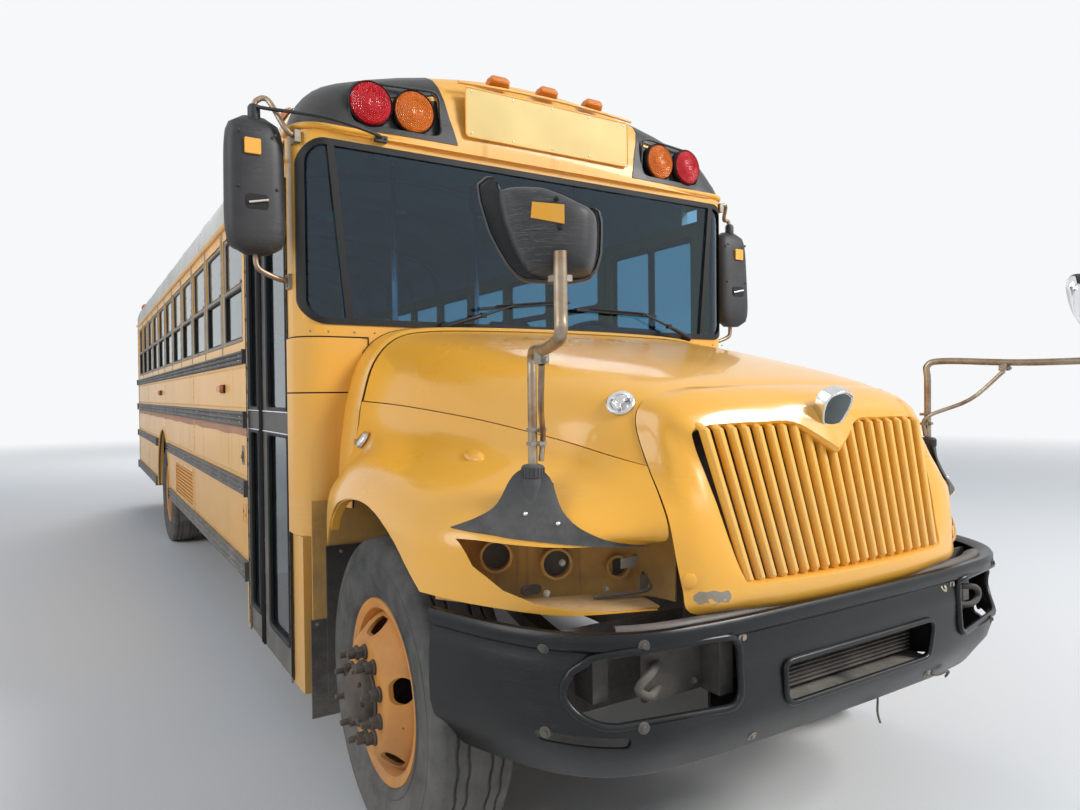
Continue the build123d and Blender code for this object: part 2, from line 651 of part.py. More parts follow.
# Front cap over the windscreen with its two lamp pockets
SCREEN_HIGH_Z = DRIP_Z + 85
LAMP_Z = DRIP_Z + 220
LAMP_R = 93.0
AMBER_X = HALF - 511.0
RED_X = HALF - 313.0
LAMP_POCKET_X = (AMBER_X + RED_X) / 2
LAMP_POCKET_DEPTH = 14.0
LAMP_POCKET_RIM = 23.0  # lamp to the end of its pocket
with BuildPart() as front_cap:
    with BuildSketch(across(COWL_Y)):
        add(cabin_outline())
    extrude(amount=-CAP_DEPTH)
    front_edges = front_cap.edges().group_by(Axis.Y)[0]
    fillet(front_edges.filter_by(lambda e: e.center().Z > DRIP_Z + 10), EDGE_R)
    with BuildSketch(across(COWL_Y + WALL)):
        add(cabin_outline(WALL))
    extrude(amount=-CAP_DEPTH, mode=Mode.SUBTRACT)
    with Locations((0, COWL_Y, DRIP_Z)):
        Box(BODY_WIDTH + 2, 2 * DOOR_START, 2 * (SCREEN_HIGH_Z - DRIP_Z), mode=Mode.SUBTRACT)
    for x in (-LAMP_POCKET_X, LAMP_POCKET_X):
        with BuildSketch(across(COWL_Y)):
            with Locations((x, LAMP_Z)):
                RectangleRounded(
                    RED_X - AMBER_X + 2 * (LAMP_R + LAMP_POCKET_RIM), 2 * LAMP_R + 18, EDGE_R
                )
        extrude(amount=-LAMP_POCKET_DEPTH, mode=Mode.SUBTRACT)
save(front_cap, "front_cap")

# Windscreen surround, gasket and glass wrap round the front corners
SCREEN_LOW_Z = SCREEN_HIGH_Z - 859
SCREEN_OPEN = (HALF - 8.0, SCREEN_LOW_Z + 52, SCREEN_HIGH_Z - 34)  # half width, sill, head
SURROUND_DEPTH = DOOR_START
SCREEN_MID_Z = (SCREEN_OPEN[1] + SCREEN_OPEN[2]) / 2
SCREEN_HEIGHT = SCREEN_OPEN[2] - SCREEN_OPEN[1]
with BuildPart() as windshield_frame:
    with BuildSketch(Plane.XY.offset(SCREEN_LOW_Z)):
        add(corner_plan(0, SURROUND_DEPTH))
    extrude(amount=SCREEN_HIGH_Z - SCREEN_LOW_Z)
    with BuildSketch(Plane.XY.offset(SCREEN_LOW_Z)):
        add(corner_plan(WALL, SURROUND_DEPTH + 1))
    extrude(amount=SCREEN_HIGH_Z - SCREEN_LOW_Z, mode=Mode.SUBTRACT)
    with BuildSketch(across(COWL_Y - 10)):
        with Locations((0, SCREEN_MID_Z)):
            RectangleRounded(2 * SCREEN_OPEN[0], SCREEN_HEIGHT, 110)
    extrude(amount=-(CORNER_R + 10), mode=Mode.SUBTRACT)
save(windshield_frame, "windshield_frame")

GASKET = 28.0
DIVIDER_LOW_X = HALF - 210.0
DIVIDER_HIGH_X = HALF - 135.0
with BuildPart() as windshield_gasket:
    with BuildSketch(Plane.XY.offset(SCREEN_LOW_Z)):
        add(corner_plan(-6, SURROUND_DEPTH))
    extrude(amount=SCREEN_HIGH_Z - SCREEN_LOW_Z)
    with BuildSketch(Plane.XY.offset(SCREEN_LOW_Z)):
        add(corner_plan(22, SURROUND_DEPTH + 1))
    extrude(amount=SCREEN_HIGH_Z - SCREEN_LOW_Z, mode=Mode.SUBTRACT)
    with BuildSketch(across(COWL_Y - 10)):
        with Locations((0, SCREEN_MID_Z)):
            RectangleRounded(2 * SCREEN_OPEN[0] - 1, SCREEN_HEIGHT - 1, 110)
            RectangleRounded(
                2 * (SCREEN_OPEN[0] - GASKET),
                SCREEN_HEIGHT - 2 * GASKET,
                80,
                mode=Mode.SUBTRACT,
            )
        for side in (-1, 1):
            with BuildLine():
                Polyline(
                    (side * (DIVIDER_LOW_X - 15), SCREEN_OPEN[1] + 10),
                    (side * (DIVIDER_LOW_X + 15), SCREEN_OPEN[1] + 10),
                    (side * (DIVIDER_HIGH_X + 15), SCREEN_OPEN[2] - 10),
                    (side * (DIVIDER_HIGH_X - 15), SCREEN_OPEN[2] - 10),
                    close=True,
                )
            make_face()
    extrude(amount=-(CORNER_R + 9), mode=Mode.INTERSECT)
save(windshield_gasket, "windshield_gasket")

with BuildPart() as windshield:
    with BuildSketch(Plane.XY.offset(SCREEN_LOW_Z)):
        add(corner_plan(6, SURROUND_DEPTH))
    extrude(amount=SCREEN_HIGH_Z - SCREEN_LOW_Z)
    with BuildSketch(Plane.XY.offset(SCREEN_LOW_Z)):
        add(corner_plan(12, SURROUND_DEPTH + 1))
    extrude(amount=SCREEN_HIGH_Z - SCREEN_LOW_Z, mode=Mode.SUBTRACT)
    with BuildSketch(across(COWL_Y - 10)):
        with Locations((0, SCREEN_MID_Z)):
            RectangleRounded(
                2 * (SCREEN_OPEN[0] - GASKET - 1), SCREEN_HEIGHT - 2 * GASKET - 2, 79
            )
        for side in (-1, 1):
            with BuildLine():
                Polyline(
                    (side * (DIVIDER_LOW_X - 17), SCREEN_OPEN[1]),
                    (side * (DIVIDER_LOW_X + 17), SCREEN_OPEN[1]),
                    (side * (DIVIDER_HIGH_X + 17), SCREEN_OPEN[2]),
                    (side * (DIVIDER_HIGH_X - 17), SCREEN_OPEN[2]),
                    close=True,
                )
            make_face(mode=Mode.SUBTRACT)
    extrude(amount=-(CORNER_R + 9), mode=Mode.INTERSECT)
save(windshield, "windshield")

# Cowl: front wall under the windscreen, its corner panels and the collar behind the hood
COWL_LOW_Z = 930.0
STRIP_LOW_Z = 276.0
with BuildPart() as cowl:
    with BuildSketch(Plane.XY.offset(COWL_LOW_Z)):
        add(corner_plan(0, DOOR_START))
    extrude(amount=SCREEN_LOW_Z - COWL_LOW_Z)
    with BuildSketch(Plane.XY.offset(COWL_LOW_Z)):
        add(corner_plan(WALL, DOOR_START + 1))
    extrude(amount=SCREEN_LOW_Z - COWL_LOW_Z, mode=Mode.SUBTRACT)
    with Locations((0, COWL_Y, COWL_LOW_Z)):
        Box(2 * (HALF - CORNER_R), 2 * DOOR_START, 2 * (FLOOR_Z - COWL_LOW_Z), mode=Mode.SUBTRACT)
    for side in (-1, 1):
        with Locations(
            (side * (HALF - 60), COWL_Y + DOOR_START / 2 + 15, (STRIP_LOW_Z + COWL_LOW_Z) / 2)
        ):
            Box(100, DOOR_START - 30, COWL_LOW_Z - STRIP_LOW_Z)
save(cowl, "cowl")

# Rear wall: a plate with bent corners, cut for the emergency door and two windows
EXIT_HALF = 345.0
EXIT_LOW_Z = FLOOR_Z + 20
EXIT_HIGH_Z = DRIP_Z - 97
REAR_WINDOW = (HALF - 480.0, 560.0, 560.0, DRIP_Z - 477)  # centre x, width, height, centre z
with BuildPart() as rear_wall:
    with BuildSketch(across(SIDE_END_Y)):
        add(cabin_outline(0, SKIRT_Z))
    extrude(amount=-CORNER_R)
    rear_edges = rear_wall.edges().group_by(Axis.Y)[-1]
    fillet(rear_edges.filter_by(lambda e: e.center().Z > SKIRT_Z + 10), EDGE_R)
    with BuildSketch(across(SIDE_END_Y)):
        add(cabin_outline(WALL, SKIRT_Z))
    extrude(amount=-(CORNER_R - WALL), mode=Mode.SUBTRACT)
    with BuildSketch(across(SIDE_END_Y)):
        with Locations((0, (EXIT_LOW_Z + EXIT_HIGH_Z) / 2)):
            Rectangle(2 * EXIT_HALF, EXIT_HIGH_Z - EXIT_LOW_Z)
        for side in (-1, 1):
            with Locations((side * REAR_WINDOW[0], REAR_WINDOW[3])):
                RectangleRounded(REAR_WINDOW[1], REAR_WINDOW[2], 50)
    extrude(amount=-CORNER_R, mode=Mode.SUBTRACT)
save(rear_wall, "rear_wall")

with BuildPart() as rear_glass:
    with BuildSketch(across(REAR_Y - 25)):
        for side in (-1, 1):
            with Locations((side * REAR_WINDOW[0], REAR_WINDOW[3])):
                RectangleRounded(REAR_WINDOW[1], REAR_WINDOW[2], 50)
    extrude(amount=-GLASS)
save(rear_glass, "rear_glass")

# Emergency door in the rear wall, hinged at its right edge
EXIT_GAP = 6.0
EXIT_HINGE = (-EXIT_HALF - 3, REAR_Y + 10)
EXIT_HINGE_R = 8.0
EXIT_BARREL = 110.0
EXIT_HINGES_Z = (EXIT_LOW_Z + 170, (EXIT_LOW_Z + EXIT_HIGH_Z) / 2, EXIT_HIGH_Z - 150)
EXIT_PANES = ((REAR_WINDOW[3], 520), (REAR_WINDOW[3] - 560, 330))  # centre z, height
EXIT_PANE_WIDTH = 500.0
with BuildPart() as emergency_door:
    with BuildSketch(across(REAR_Y - 36)):
        with Locations((0, (EXIT_LOW_Z + EXIT_HIGH_Z) / 2)):
            Rectangle(2 * (EXIT_HALF - EXIT_GAP), EXIT_HIGH_Z - EXIT_LOW_Z - 2 * EXIT_GAP)
        for z, height in EXIT_PANES:
            with Locations((0, z)):
                RectangleRounded(EXIT_PANE_WIDTH, height, 40, mode=Mode.SUBTRACT)
    extrude(amount=-40)
    for z in EXIT_HINGES_Z:
        with Locations((EXIT_HINGE[0], EXIT_HINGE[1], z)):
            Cylinder(EXIT_HINGE_R, EXIT_BARREL)
        with Locations((EXIT_HINGE[0] + 20, EXIT_HINGE[1] - 4, z)):
            Box(40, 5, EXIT_BARREL)
save(emergency_door, "emergency_door")

with BuildPart() as emergency_glass:
    with BuildSketch(across(REAR_Y - 18)):
        for z, height in EXIT_PANES:
            with Locations((0, z)):
                RectangleRounded(EXIT_PANE_WIDTH, height, 40)
    extrude(amount=-GLASS)
save(emergency_glass, "emergency_glass")

# Entrance door: two glazed leaves that swing outward from the opening's edges
LEAF_LOW_Z = DOOR_LOW_Z + DOOR_GAP
LEAF_HIGH_Z = DOOR_HIGH_Z - DOOR_GAP
LEAF_MID_Z = 1397.0
LEAF_RAIL = 112.0
LEAF_FOOT = 130.0
DOOR_HINGE_R = 2.6  # the long hinge on each leaf's outer edge
DOOR_HINGE_X = HALF - 2.0
Leaf = namedtuple("Leaf", "name start end stile_front stile_rear hinge_y into")
LEAVES = (
    Leaf("front", DOOR_Y + DOOR_GAP, DOOR_Y + FRONT_LEAF_WIDTH, 45, 125, DOOR_Y + DOOR_GAP / 2, 1),
    Leaf(
        "rear",
        DOOR_Y + FRONT_LEAF_WIDTH + 10,
        DOOR_END_Y - DOOR_GAP,
        75,
        35,
        DOOR_END_Y - DOOR_GAP / 2,
        -1,
    ),
)
LEAF_X = -(HALF - 6)
for leaf in LEAVES:
    pane_y = (leaf.start + leaf.stile_front + leaf.end - leaf.stile_rear) / 2
    pane_width = leaf.end - leaf.start - leaf.stile_front - leaf.stile_rear
    panes = (
        (LEAF_LOW_Z + LEAF_FOOT, LEAF_MID_Z - LEAF_RAIL / 2),
        (LEAF_MID_Z + LEAF_RAIL / 2, LEAF_HIGH_Z - 70),
    )
    with BuildPart() as door_leaf:
        with BuildSketch(along(LEAF_X)):
            with Locations(((leaf.start + leaf.end) / 2, (LEAF_LOW_Z + LEAF_HIGH_Z) / 2)):
                Rectangle(leaf.end - leaf.start, LEAF_HIGH_Z - LEAF_LOW_Z)
            for low, high in panes:
                with Locations((pane_y, (low + high) / 2)):
                    Rectangle(pane_width, high - low, mode=Mode.SUBTRACT)
        extrude(amount=LEAF_THICK)
        with Locations((-DOOR_HINGE_X, leaf.hinge_y, (LEAF_LOW_Z + LEAF_HIGH_Z) / 2)):
            Cylinder(DOOR_HINGE_R, LEAF_HIGH_Z - LEAF_LOW_Z)
        with Locations(
            (-DOOR_HINGE_X + 3, leaf.hinge_y + leaf.into * 4, (LEAF_LOW_Z + LEAF_HIGH_Z) / 2)
        ):
            Box(8, 8, LEAF_HIGH_Z - LEAF_LOW_Z)
    save(door_leaf, f"door_leaf_{leaf.name}")
    with BuildPart() as door_glass:
        with BuildSketch(along(LEAF_X + 14)):
            for low, high in panes:
                with Locations((pane_y, (low + high) / 2)):
                    Rectangle(pane_width, high - low)
        extrude(amount=GLASS)
    save(door_glass, f"door_glass_{leaf.name}")

# Rub rails: ribbed strips along both sides
Rail = namedtuple("Rail", "low high gap_front gap_rear")
RAILS = (
    Rail(WINDOW_LOW_Z - 122, WINDOW_LOW_Z - 50, 0, 0),
    Rail(1351, 1435, 0, 0),
    Rail(981, 1063, -ARCH_R + 60, ARCH_R - 60),
    Rail(529, 627, -ARCH_R - 60, ARCH_R + 60),
)
RAIL_BASE = 8.0
RAIL_DEPTH = 22.0
RIBS = 3


def rail_profile(low, high, side):
    """Section of a rub rail: a flat base with equal ribs."""
    pitch = (high - low) / RIBS
    with Locations((side * (HALF + RAIL_BASE / 2), (low + high) / 2)):
        Rectangle(RAIL_BASE, high - low)
    for i in range(RIBS):
        with Locations((side * (HALF + RAIL_DEPTH / 2), low + (i + 0.5) * pitch)):
            Rectangle(RAIL_DEPTH, pitch * 0.62)


with BuildPart() as rub_rails:
    for side in (-1, 1):
        start = DOOR_END_Y if side < 0 else DOOR_Y + 20
        for rail in RAILS:
            if rail.gap_front == rail.gap_rear:
                spans = ((start, SIDE_END_Y),)
            else:
                spans = (
                    (start, REAR_AXLE_Y + rail.gap_front),
                    (REAR_AXLE_Y + rail.gap_rear, SIDE_END_Y),
                )
            for span in spans:
                with BuildSketch(across(span[0])):
                    rail_profile(rail.low, rail.high, side)
                extrude(amount=-(span[1] - span[0]))
save(rub_rails, "rub_rails")

# Warning and marker lamps
LAMP_DEPTH = 34.0
TAIL_LAMPS = (HALF - 210.0, (1560.0, 1250.0), 88.0)  # x, heights, radius
MARKER_X = 274.0  # spacing of the three small lamps along the roof's front edge
MARKER_Z = ROOF_Z - 34


def round_lamps(x, front=True):
    """A pair of round warning lamps on the front cap or the rear wall."""
    y = COWL_Y + 14 if front else REAR_Y
    with BuildPart() as pair:
        with BuildSketch(across(y)):
            with Locations((-x, LAMP_Z), (x, LAMP_Z)):
                Circle(LAMP_R)
        extrude(amount=LAMP_DEPTH if front else -LAMP_DEPTH, taper=12)
    return pair.part


with BuildPart() as lamps_red:
    add(round_lamps(RED_X))
    add(round_lamps(RED_X, front=False))
    for side in (-1, 1):
        with BuildSketch(across(REAR_Y)):
            for z in TAIL_LAMPS[1]:
                with Locations((side * TAIL_LAMPS[0], z)):
                    Circle(TAIL_LAMPS[2])
        extrude(amount=-30, taper=12)
save(lamps_red, "lamps_red")

SIDE_MARKERS_Y = (COWL_Y + 1860, REAR_Y - 3340)
with BuildPart() as lamps_amber:
    add(round_lamps(AMBER_X))
    add(round_lamps(AMBER_X, front=False))
    for side in (-1, 1):
        for y in SIDE_MARKERS_Y:
            with Locations((side * (HALF + 17), y, ARM_Z)):
                Box(34, 120, 34)
    with BuildSketch(across(COWL_Y - 10)):
        with Locations((-MARKER_X, MARKER_Z), (0, MARKER_Z), (MARKER_X, MARKER_Z)):
            SlotOverall(105, 34)
    extrude(amount=-WALL)
    add(front_cap.part, mode=Mode.SUBTRACT)
save(lamps_amber, "lamps_amber")

# Blank sign panels over the windscreen and the rear windows
SIGN = (926.0, 190.0, DRIP_Z + 263)  # width, height, centre z
with BuildPart() as sign_panels:
    for y in (COWL_Y - 6, REAR_Y):
        with Locations((0, y + 3, SIGN[2])):
            Box(SIGN[0], 6, SIGN[1])
save(sign_panels, "sign_panels")

# Mud flaps: the front pair on arms from the rails, the rear ones hung from the floor
Flap = namedtuple("Flap", "y low high width outer")
FLAPS = (
    Flap(COWL_Y - 60, 262, 900, 440, HALF - 80),
    Flap(REAR_AXLE_Y - 700, 300, FLOOR_LOW_Z, 550, HALF - 70),
    Flap(REAR_AXLE_Y + 720, 300, FLOOR_LOW_Z, 550, HALF - 70),
)
FLAP_THICK = 10.0
with BuildPart() as mudflaps:
    for side in (-1, 1):
        for flap in FLAPS:
            with Locations((side * (flap.outer - flap.width / 2), flap.y, (flap.low + flap.high) / 2)):
                Box(flap.width, FLAP_THICK, flap.high - flap.low)
        with Locations((side * (RAIL_OUTER_X + FLAPS[0].outer) / 2, FLAPS[0].y + 20, FLAPS[0].high - 20)):
            Box(FLAPS[0].outer - RAIL_OUTER_X, 30, 30)
save(mudflaps, "mudflaps")

# Benches, one pair to each window, and the driver's seat
BENCH_INNER_X = 330.0
BENCH_OUTER_X = HALF - WALL - 15
BENCH_BACK_Z = 1850.0
CUSHION_Z = 1480.0
DRIVER_X = 560.0
DRIVER_SEAT_Y = COWL_Y + 900


def bench_profile(y):
    """Side view of a seat: cushion, raked back, seen along X."""
    with BuildSketch() as outline:
        with BuildLine():
            Polyline(
                (y, CUSHION_Z - 100),
                (y, CUSHION_Z),
                (y + 330, CUSHION_Z - 20),
                (y + 395, BENCH_BACK_Z),
                (y + 475, BENCH_BACK_Z),
                (y + 420, CUSHION_Z - 120),
                close=True,
            )
        make_face()
    return outline.sketch


with BuildPart() as seats:
    for y in WINDOW_CENTERS_Y:
        for side in (-1, 1):
            with BuildSketch(along(side * BENCH_INNER_X)):
                add(bench_profile(y - 120))
            extrude(amount=side * (BENCH_OUTER_X - BENCH_INNER_X))
            with Locations((side * (BENCH_INNER_X + 60), y + 100, (FLOOR_Z + CUSHION_Z - 80) / 2)):
                Box(50, 260, CUSHION_Z - 80 - FLOOR_Z)
    with BuildSketch(along(DRIVER_X - 250)):
        add(bench_profile(DRIVER_SEAT_Y))
    extrude(amount=500)
    with Locations((DRIVER_X, DRIVER_SEAT_Y + 220, (FLOOR_Z + CUSHION_Z - 80) / 2)):
        Box(300, 300, CUSHION_Z - 80 - FLOOR_Z)
save(seats, "seats")

# Dashboard with the steering column and wheel
WHEEL_TILT = 35.0
DASH_START_X = -740.0
DASH_LOW_Z = 1300.0
DASH_TOP_Z = SCREEN_LOW_Z + 27
HELM = (DRIVER_X, COWL_Y + 560, DASH_TOP_Z)
HELM_R = 225.0
with BuildPart() as dashboard:
    with BuildSketch(along(DASH_START_X)):
        with BuildLine():
            Polyline(
                (COWL_Y + WALL, DASH_LOW_Z),
                (COWL_Y + WALL, DASH_TOP_Z),
                (COWL_Y + 200, DASH_TOP_Z),
                (COWL_Y + 340, DASH_TOP_Z - 100),
                (COWL_Y + 300, DASH_LOW_Z),
                close=True,
            )
        make_face()
    extrude(amount=HALF - CORNER_R - 10 - DASH_START_X)
    with Locations(Location(HELM, (-WHEEL_TILT, 0, 0))):
        Torus(HELM_R, 15)
        Cylinder(45, 50)
        for angle in (0, 120, 240):
            with Locations(Location((0, 0, 0), (0, 0, angle))):
                with Locations((HELM_R / 2, 0, 0)):
                    Box(HELM_R, 30, 14)
        with Locations((0, 0, -220)):
            Cylinder(24, 440)
save(dashboard, "dashboard")

# Rear-view mirrors on looped arms at the front corners
MIRROR_REACH = 263.0  # body side to the mirror's outer edge
MIRROR_X = HALF + MIRROR_REACH
MIRROR = (245.0, 120.0, 565.0)
MIRROR_Z = {-1: DRIP_Z - 157, 1: DRIP_Z - 347}
MIRROR_Y = COWL_Y + CORNER_R
FOOT_PLATE = (6.0, 56.0, 70.0)
FOOT_Y = MIRROR_Y + FOOT_PLATE[1] / 2
with BuildPart() as road_mirrors:
    for side in (-1, 1):
        z = MIRROR_Z[side]
        with BuildSketch(Plane.XY.offset(z - MIRROR[2] / 2)):
            with Locations((side * (MIRROR_X - MIRROR[0] / 2), MIRROR_Y)):
                RectangleRounded(MIRROR[0], MIRROR[1], 40)
        extrude(amount=MIRROR[2])
        upper = (
            (side * (HALF + 5), FOOT_Y, DRIP_Z + 30),
            (side * (HALF + 75), FOOT_Y, DRIP_Z + 63),
            (side * (MIRROR_X - 140), MIRROR_Y, z + MIRROR[2] / 2 + 60),
            (side * (MIRROR_X - 140), MIRROR_Y, z + MIRROR[2] / 2 - 20),
        )
        lower = (
            (side * (HALF + 5), FOOT_Y, z - 380),
            (side * (HALF + 60), FOOT_Y, z - 370),
            (side * (MIRROR_X - 150), MIRROR_Y, z - 240),
        )
        for arm in (upper, lower):
            with Locations((side * (HALF + FOOT_PLATE[0] / 2), FOOT_Y, arm[0][2])):
                Box(*FOOT_PLATE)
            add(tube(arm, 11, 16))
save(road_mirrors, "road_mirrors")

# Hood: one skin over the nose and fenders, cut for the wheels, grille and headlamps
Station = namedtuple("Station", "back crown_z shoulder_x shoulder_z seam_x seam_z lip_z")
HOOD_STATIONS = (
    Station(HOOD_GAP, 1775, 800, 1765, 985, 1500, 1235),
    Station(800, 1694, 665, 1672, 870, 1450, 1245),
    Station(1350, 1562, 520, 1540, 700, 1350, 1160),
    Station(NOSE_LENGTH + 70, 1470, 440, 1448, 620, 1290, 1060),
)


def hood_section(station, inset):
    """Half section of the hood: crown, shoulder, hollow side and fender lip."""
    crown = (0, station.crown_z - inset)
    shoulder = (station.shoulder_x - inset / 2, station.shoulder_z - inset)
    seam = (station.seam_x - inset, station.seam_z - inset / 3)
    bend = (
        shoulder[0] * 0.22 + seam[0] * 0.78,
        shoulder[1] * 0.68 + seam[1] * 0.32,
    )
    lip = (FENDER_X - 62 - inset, station.lip_z - inset)
    hollow = (seam[0] * 0.72 + lip[0] * 0.28, seam[1] * 0.34 + lip[1] * 0.66)
    edge = (FENDER_X - inset, station.lip_z - 75 - inset / 2)
    round_off = (edge[0] - 16, lip[1] - 26)
    foot_z = HOOD_LOW_Z - 60
    with BuildSketch() as outline:
        with BuildLine():
            Line(crown, shoulder)
            ThreePointArc(shoulder, bend, seam)
            ThreePointArc(seam, hollow, lip)
            ThreePointArc(lip, round_off, edge)
            Line(edge, (edge[0], foot_z))
            Line((edge[0], foot_z), (0, foot_z))
            Line((0, foot_z), crown)
        make_face()
    return outline.sketch


def nose_profile(inset):
    """Side view of the nose: rounded brow over a leaning face."""
    front = NOSE_Y + inset
    with BuildSketch() as outline:
        with BuildLine():
            Polyline(
                (HOOD_REAR_Y, HOOD_LOW_Z - 60),
                (HOOD_REAR_Y, ROOF_Z),
                (front + 300, ROOF_Z),
                (front + 300, 1560 - inset),
            )
            ThreePointArc(
                (front + 300, 1560 - inset), (front + 150, 1500 - inset), (front + 88, GRILLE_TOP_Z)
            )
            Line((front + 88, GRILLE_TOP_Z), (front, GRILLE_LOW_Z))
            Line((front, GRILLE_LOW_Z), (front, HOOD_LOW_Z - 60))
            Line((front, HOOD_LOW_Z - 60), (HOOD_REAR_Y, HOOD_LOW_Z - 60))
        make_face()
    return outline.sketch


def hood_plan(inset):
    """Plan of the hood: swept headlamp corners either side of the nose."""
    side_x = FENDER_X - inset
    nose_x = 628 - inset
    with BuildSketch() as outline:
        with BuildLine():
            Line((0, HOOD_REAR_Y), (side_x, HOOD_REAR_Y))
            Line((side_x, HOOD_REAR_Y), (side_x, NOSE_Y + 640 + inset))
            ThreePointArc(
                (side_x, NOSE_Y + 640 + inset),
                (side_x - 110, NOSE_Y + 385 + inset),
                (nose_x + 60, NOSE_Y + 105 + inset),
            )
            ThreePointArc(
                (nose_x + 60, NOSE_Y + 105 + inset),
                (nose_x + 12, NOSE_Y + 60 + inset),
                (nose_x, NOSE_Y + 8 + inset),
            )
            tip_y = NOSE_Y - 18 + inset
            ThreePointArc((nose_x, tip_y + 26), (nose_x / 2, tip_y + 6), (0, tip_y))
            Line((0, tip_y), (0, HOOD_REAR_Y))
        make_face()
        mirror(about=Plane.YZ)
    return outline.sketch


def hood_form(inset):
    """The hood's outer form, or its inside when inset."""
    with BuildPart() as form:
        for station in HOOD_STATIONS:
            with BuildSketch(across(COWL_Y - station.back)):
                add(hood_section(station, inset))
        loft()
        mirror(about=Plane.YZ)
        with BuildSketch(Plane.YZ):
            add(nose_profile(inset))
        extrude(amount=HALF, both=True, mode=Mode.INTERSECT)
        with BuildSketch(Plane.XY):
            add(hood_plan(inset))
        extrude(amount=ROOF_Z, mode=Mode.INTERSECT)
    return form.part


def lamp_opening(inset=0.0):
    """Both headlamp openings, seen from the nose."""
    with BuildSketch() as outline:
        for side in (-1, 1):
            with BuildLine():
                Polyline(
                    (side * 1120, 1115),
                    (side * 930, 960),
                    (side * 650, 925),
                    (side * 650, 1085),
                    close=True,
                )
            make_face()
        if inset:
            offset(amount=-inset, kind=Kind.INTERSECTION)
    return outline.sketch


HOOD_OUTER = hood_form(0)
HOOD_INNER = hood_form(HOOD_SKIN)
with BuildPart() as hood_shell:
    add(HOOD_OUTER)
    add(HOOD_INNER, mode=Mode.SUBTRACT)
    with Locations((0, (HOOD_REAR_Y + NOSE_Y) / 2, HOOD_LOW_Z - 100)):
        Box(BODY_WIDTH + 200, NOSE_LENGTH + 400, 200, mode=Mode.SUBTRACT)
    with BuildSketch(along(-HALF)):
        with Locations((FRONT_AXLE_Y, TIRE_R)):
            Circle(FENDER_ARCH_R)
    extrude(amount=2 * HALF, mode=Mode.SUBTRACT)
    with BuildSketch(along(-HALF)):
        with Locations((FRONT_AXLE_Y + 600, HOOD_LOW_Z)):
            Rectangle(1200, 500)
    extrude(amount=2 * HALF, mode=Mode.SUBTRACT)
    with BuildSketch(across(NOSE_Y - 100)):
        with BuildLine():
            Polyline(
                (0, 1347),
                (-140, GRILLE_TOP_Z),
                (-GRILLE_TOP_X, GRILLE_TOP_Z),
                (-GRILLE_LOW_X, GRILLE_LOW_Z),
                (GRILLE_LOW_X, GRILLE_LOW_Z),
                (GRILLE_TOP_X, GRILLE_TOP_Z),
                (140, GRILLE_TOP_Z),
                close=True,
            )
        make_face()
    extrude(amount=-400, mode=Mode.SUBTRACT)
    with BuildSketch(across(NOSE_Y - 100)):
        add(lamp_opening())
    extrude(amount=-700, mode=Mode.SUBTRACT)
    for side in (-1, 1):
        lug_x = side * (HOOD_HINGE_X - 22)
        with Locations(Location((lug_x, HOOD_HINGE_Y, HOOD_HINGE_Z), (0, 90, 0))):
            Cylinder(HINGE_LUG_R, 12)
        with Locations((lug_x, HOOD_HINGE_Y + 16, HOOD_HINGE_Z + 12)):
            Box(12, 40, 22)
        with Locations(Location((lug_x, HOOD_HINGE_Y, HOOD_HINGE_Z), (0, 90, 0))):
            Cylinder(HINGE_PIN_R + RUNNING, 14, mode=Mode.SUBTRACT)
save(hood_shell, "hood_shell")

# Grille: upright rounded slats behind the nose opening
SLAT_WIDTH = 36.0
SLAT_DEPTH = 26.0
with BuildPart() as grille:
    for i in range(SLAT_COUNT):
        t = (i + 0.5) / SLAT_COUNT * 2 - 1
        low = Vector(t * (GRILLE_LOW_X + 8), NOSE_Y + 52, GRILLE_LOW_Z - 15)
        high = Vector(t * (GRILLE_TOP_X + 8), NOSE_Y + 132, GRILLE_TOP_Z + 15)
        with BuildSketch(Plane(origin=low, x_dir=(1, 0, 0), z_dir=high - low)):
            RectangleRounded(SLAT_WIDTH, SLAT_DEPTH, 10)
        extrude(amount=(high - low).length)
    for z, x, y in (
        (GRILLE_LOW_Z - 12, GRILLE_LOW_X + 20, NOSE_Y + 70),
        (GRILLE_TOP_Z + 12, GRILLE_TOP_X + 20, NOSE_Y + 146),
    ):
        with Locations((0, y, z)):
            Box(2 * x, 36, 16)
save(grille, "grille")

# Headlamp pockets: buckets behind the openings, the left one still holding its lamp
POCKET_BACK_Y = NOSE_Y + 430
POCKET_SKIN = 7.0
with BuildPart() as headlamp_pods:
    with BuildSketch(across(NOSE_Y - 50)):
        add(lamp_opening(-POCKET_SKIN))
    extrude(amount=-(POCKET_BACK_Y - NOSE_Y + 50))
    add(HOOD_INNER, mode=Mode.INTERSECT)
    with BuildSketch(across(NOSE_Y - 50)):
        add(lamp_opening())
    extrude(amount=-(POCKET_BACK_Y - POCKET_SKIN - NOSE_Y + 50), mode=Mode.SUBTRACT)
save(headlamp_pods, "headlamp_pods")

LENS_GAP = 4.0
with BuildPart() as headlamp:
    with BuildSketch(across(NOSE_Y - 50)):
        add(lamp_opening(LENS_GAP))
    extrude(amount=-(POCKET_BACK_Y - POCKET_SKIN - NOSE_Y + 50))
    add(hood_form(LENS_GAP), mode=Mode.INTERSECT)
    with Locations((-HALF, NOSE_Y, HOOD_LOW_Z)):
        Box(2 * HALF, 2 * NOSE_LENGTH, ROOF_Z, mode=Mode.SUBTRACT)
save(headlamp, "headlamp")

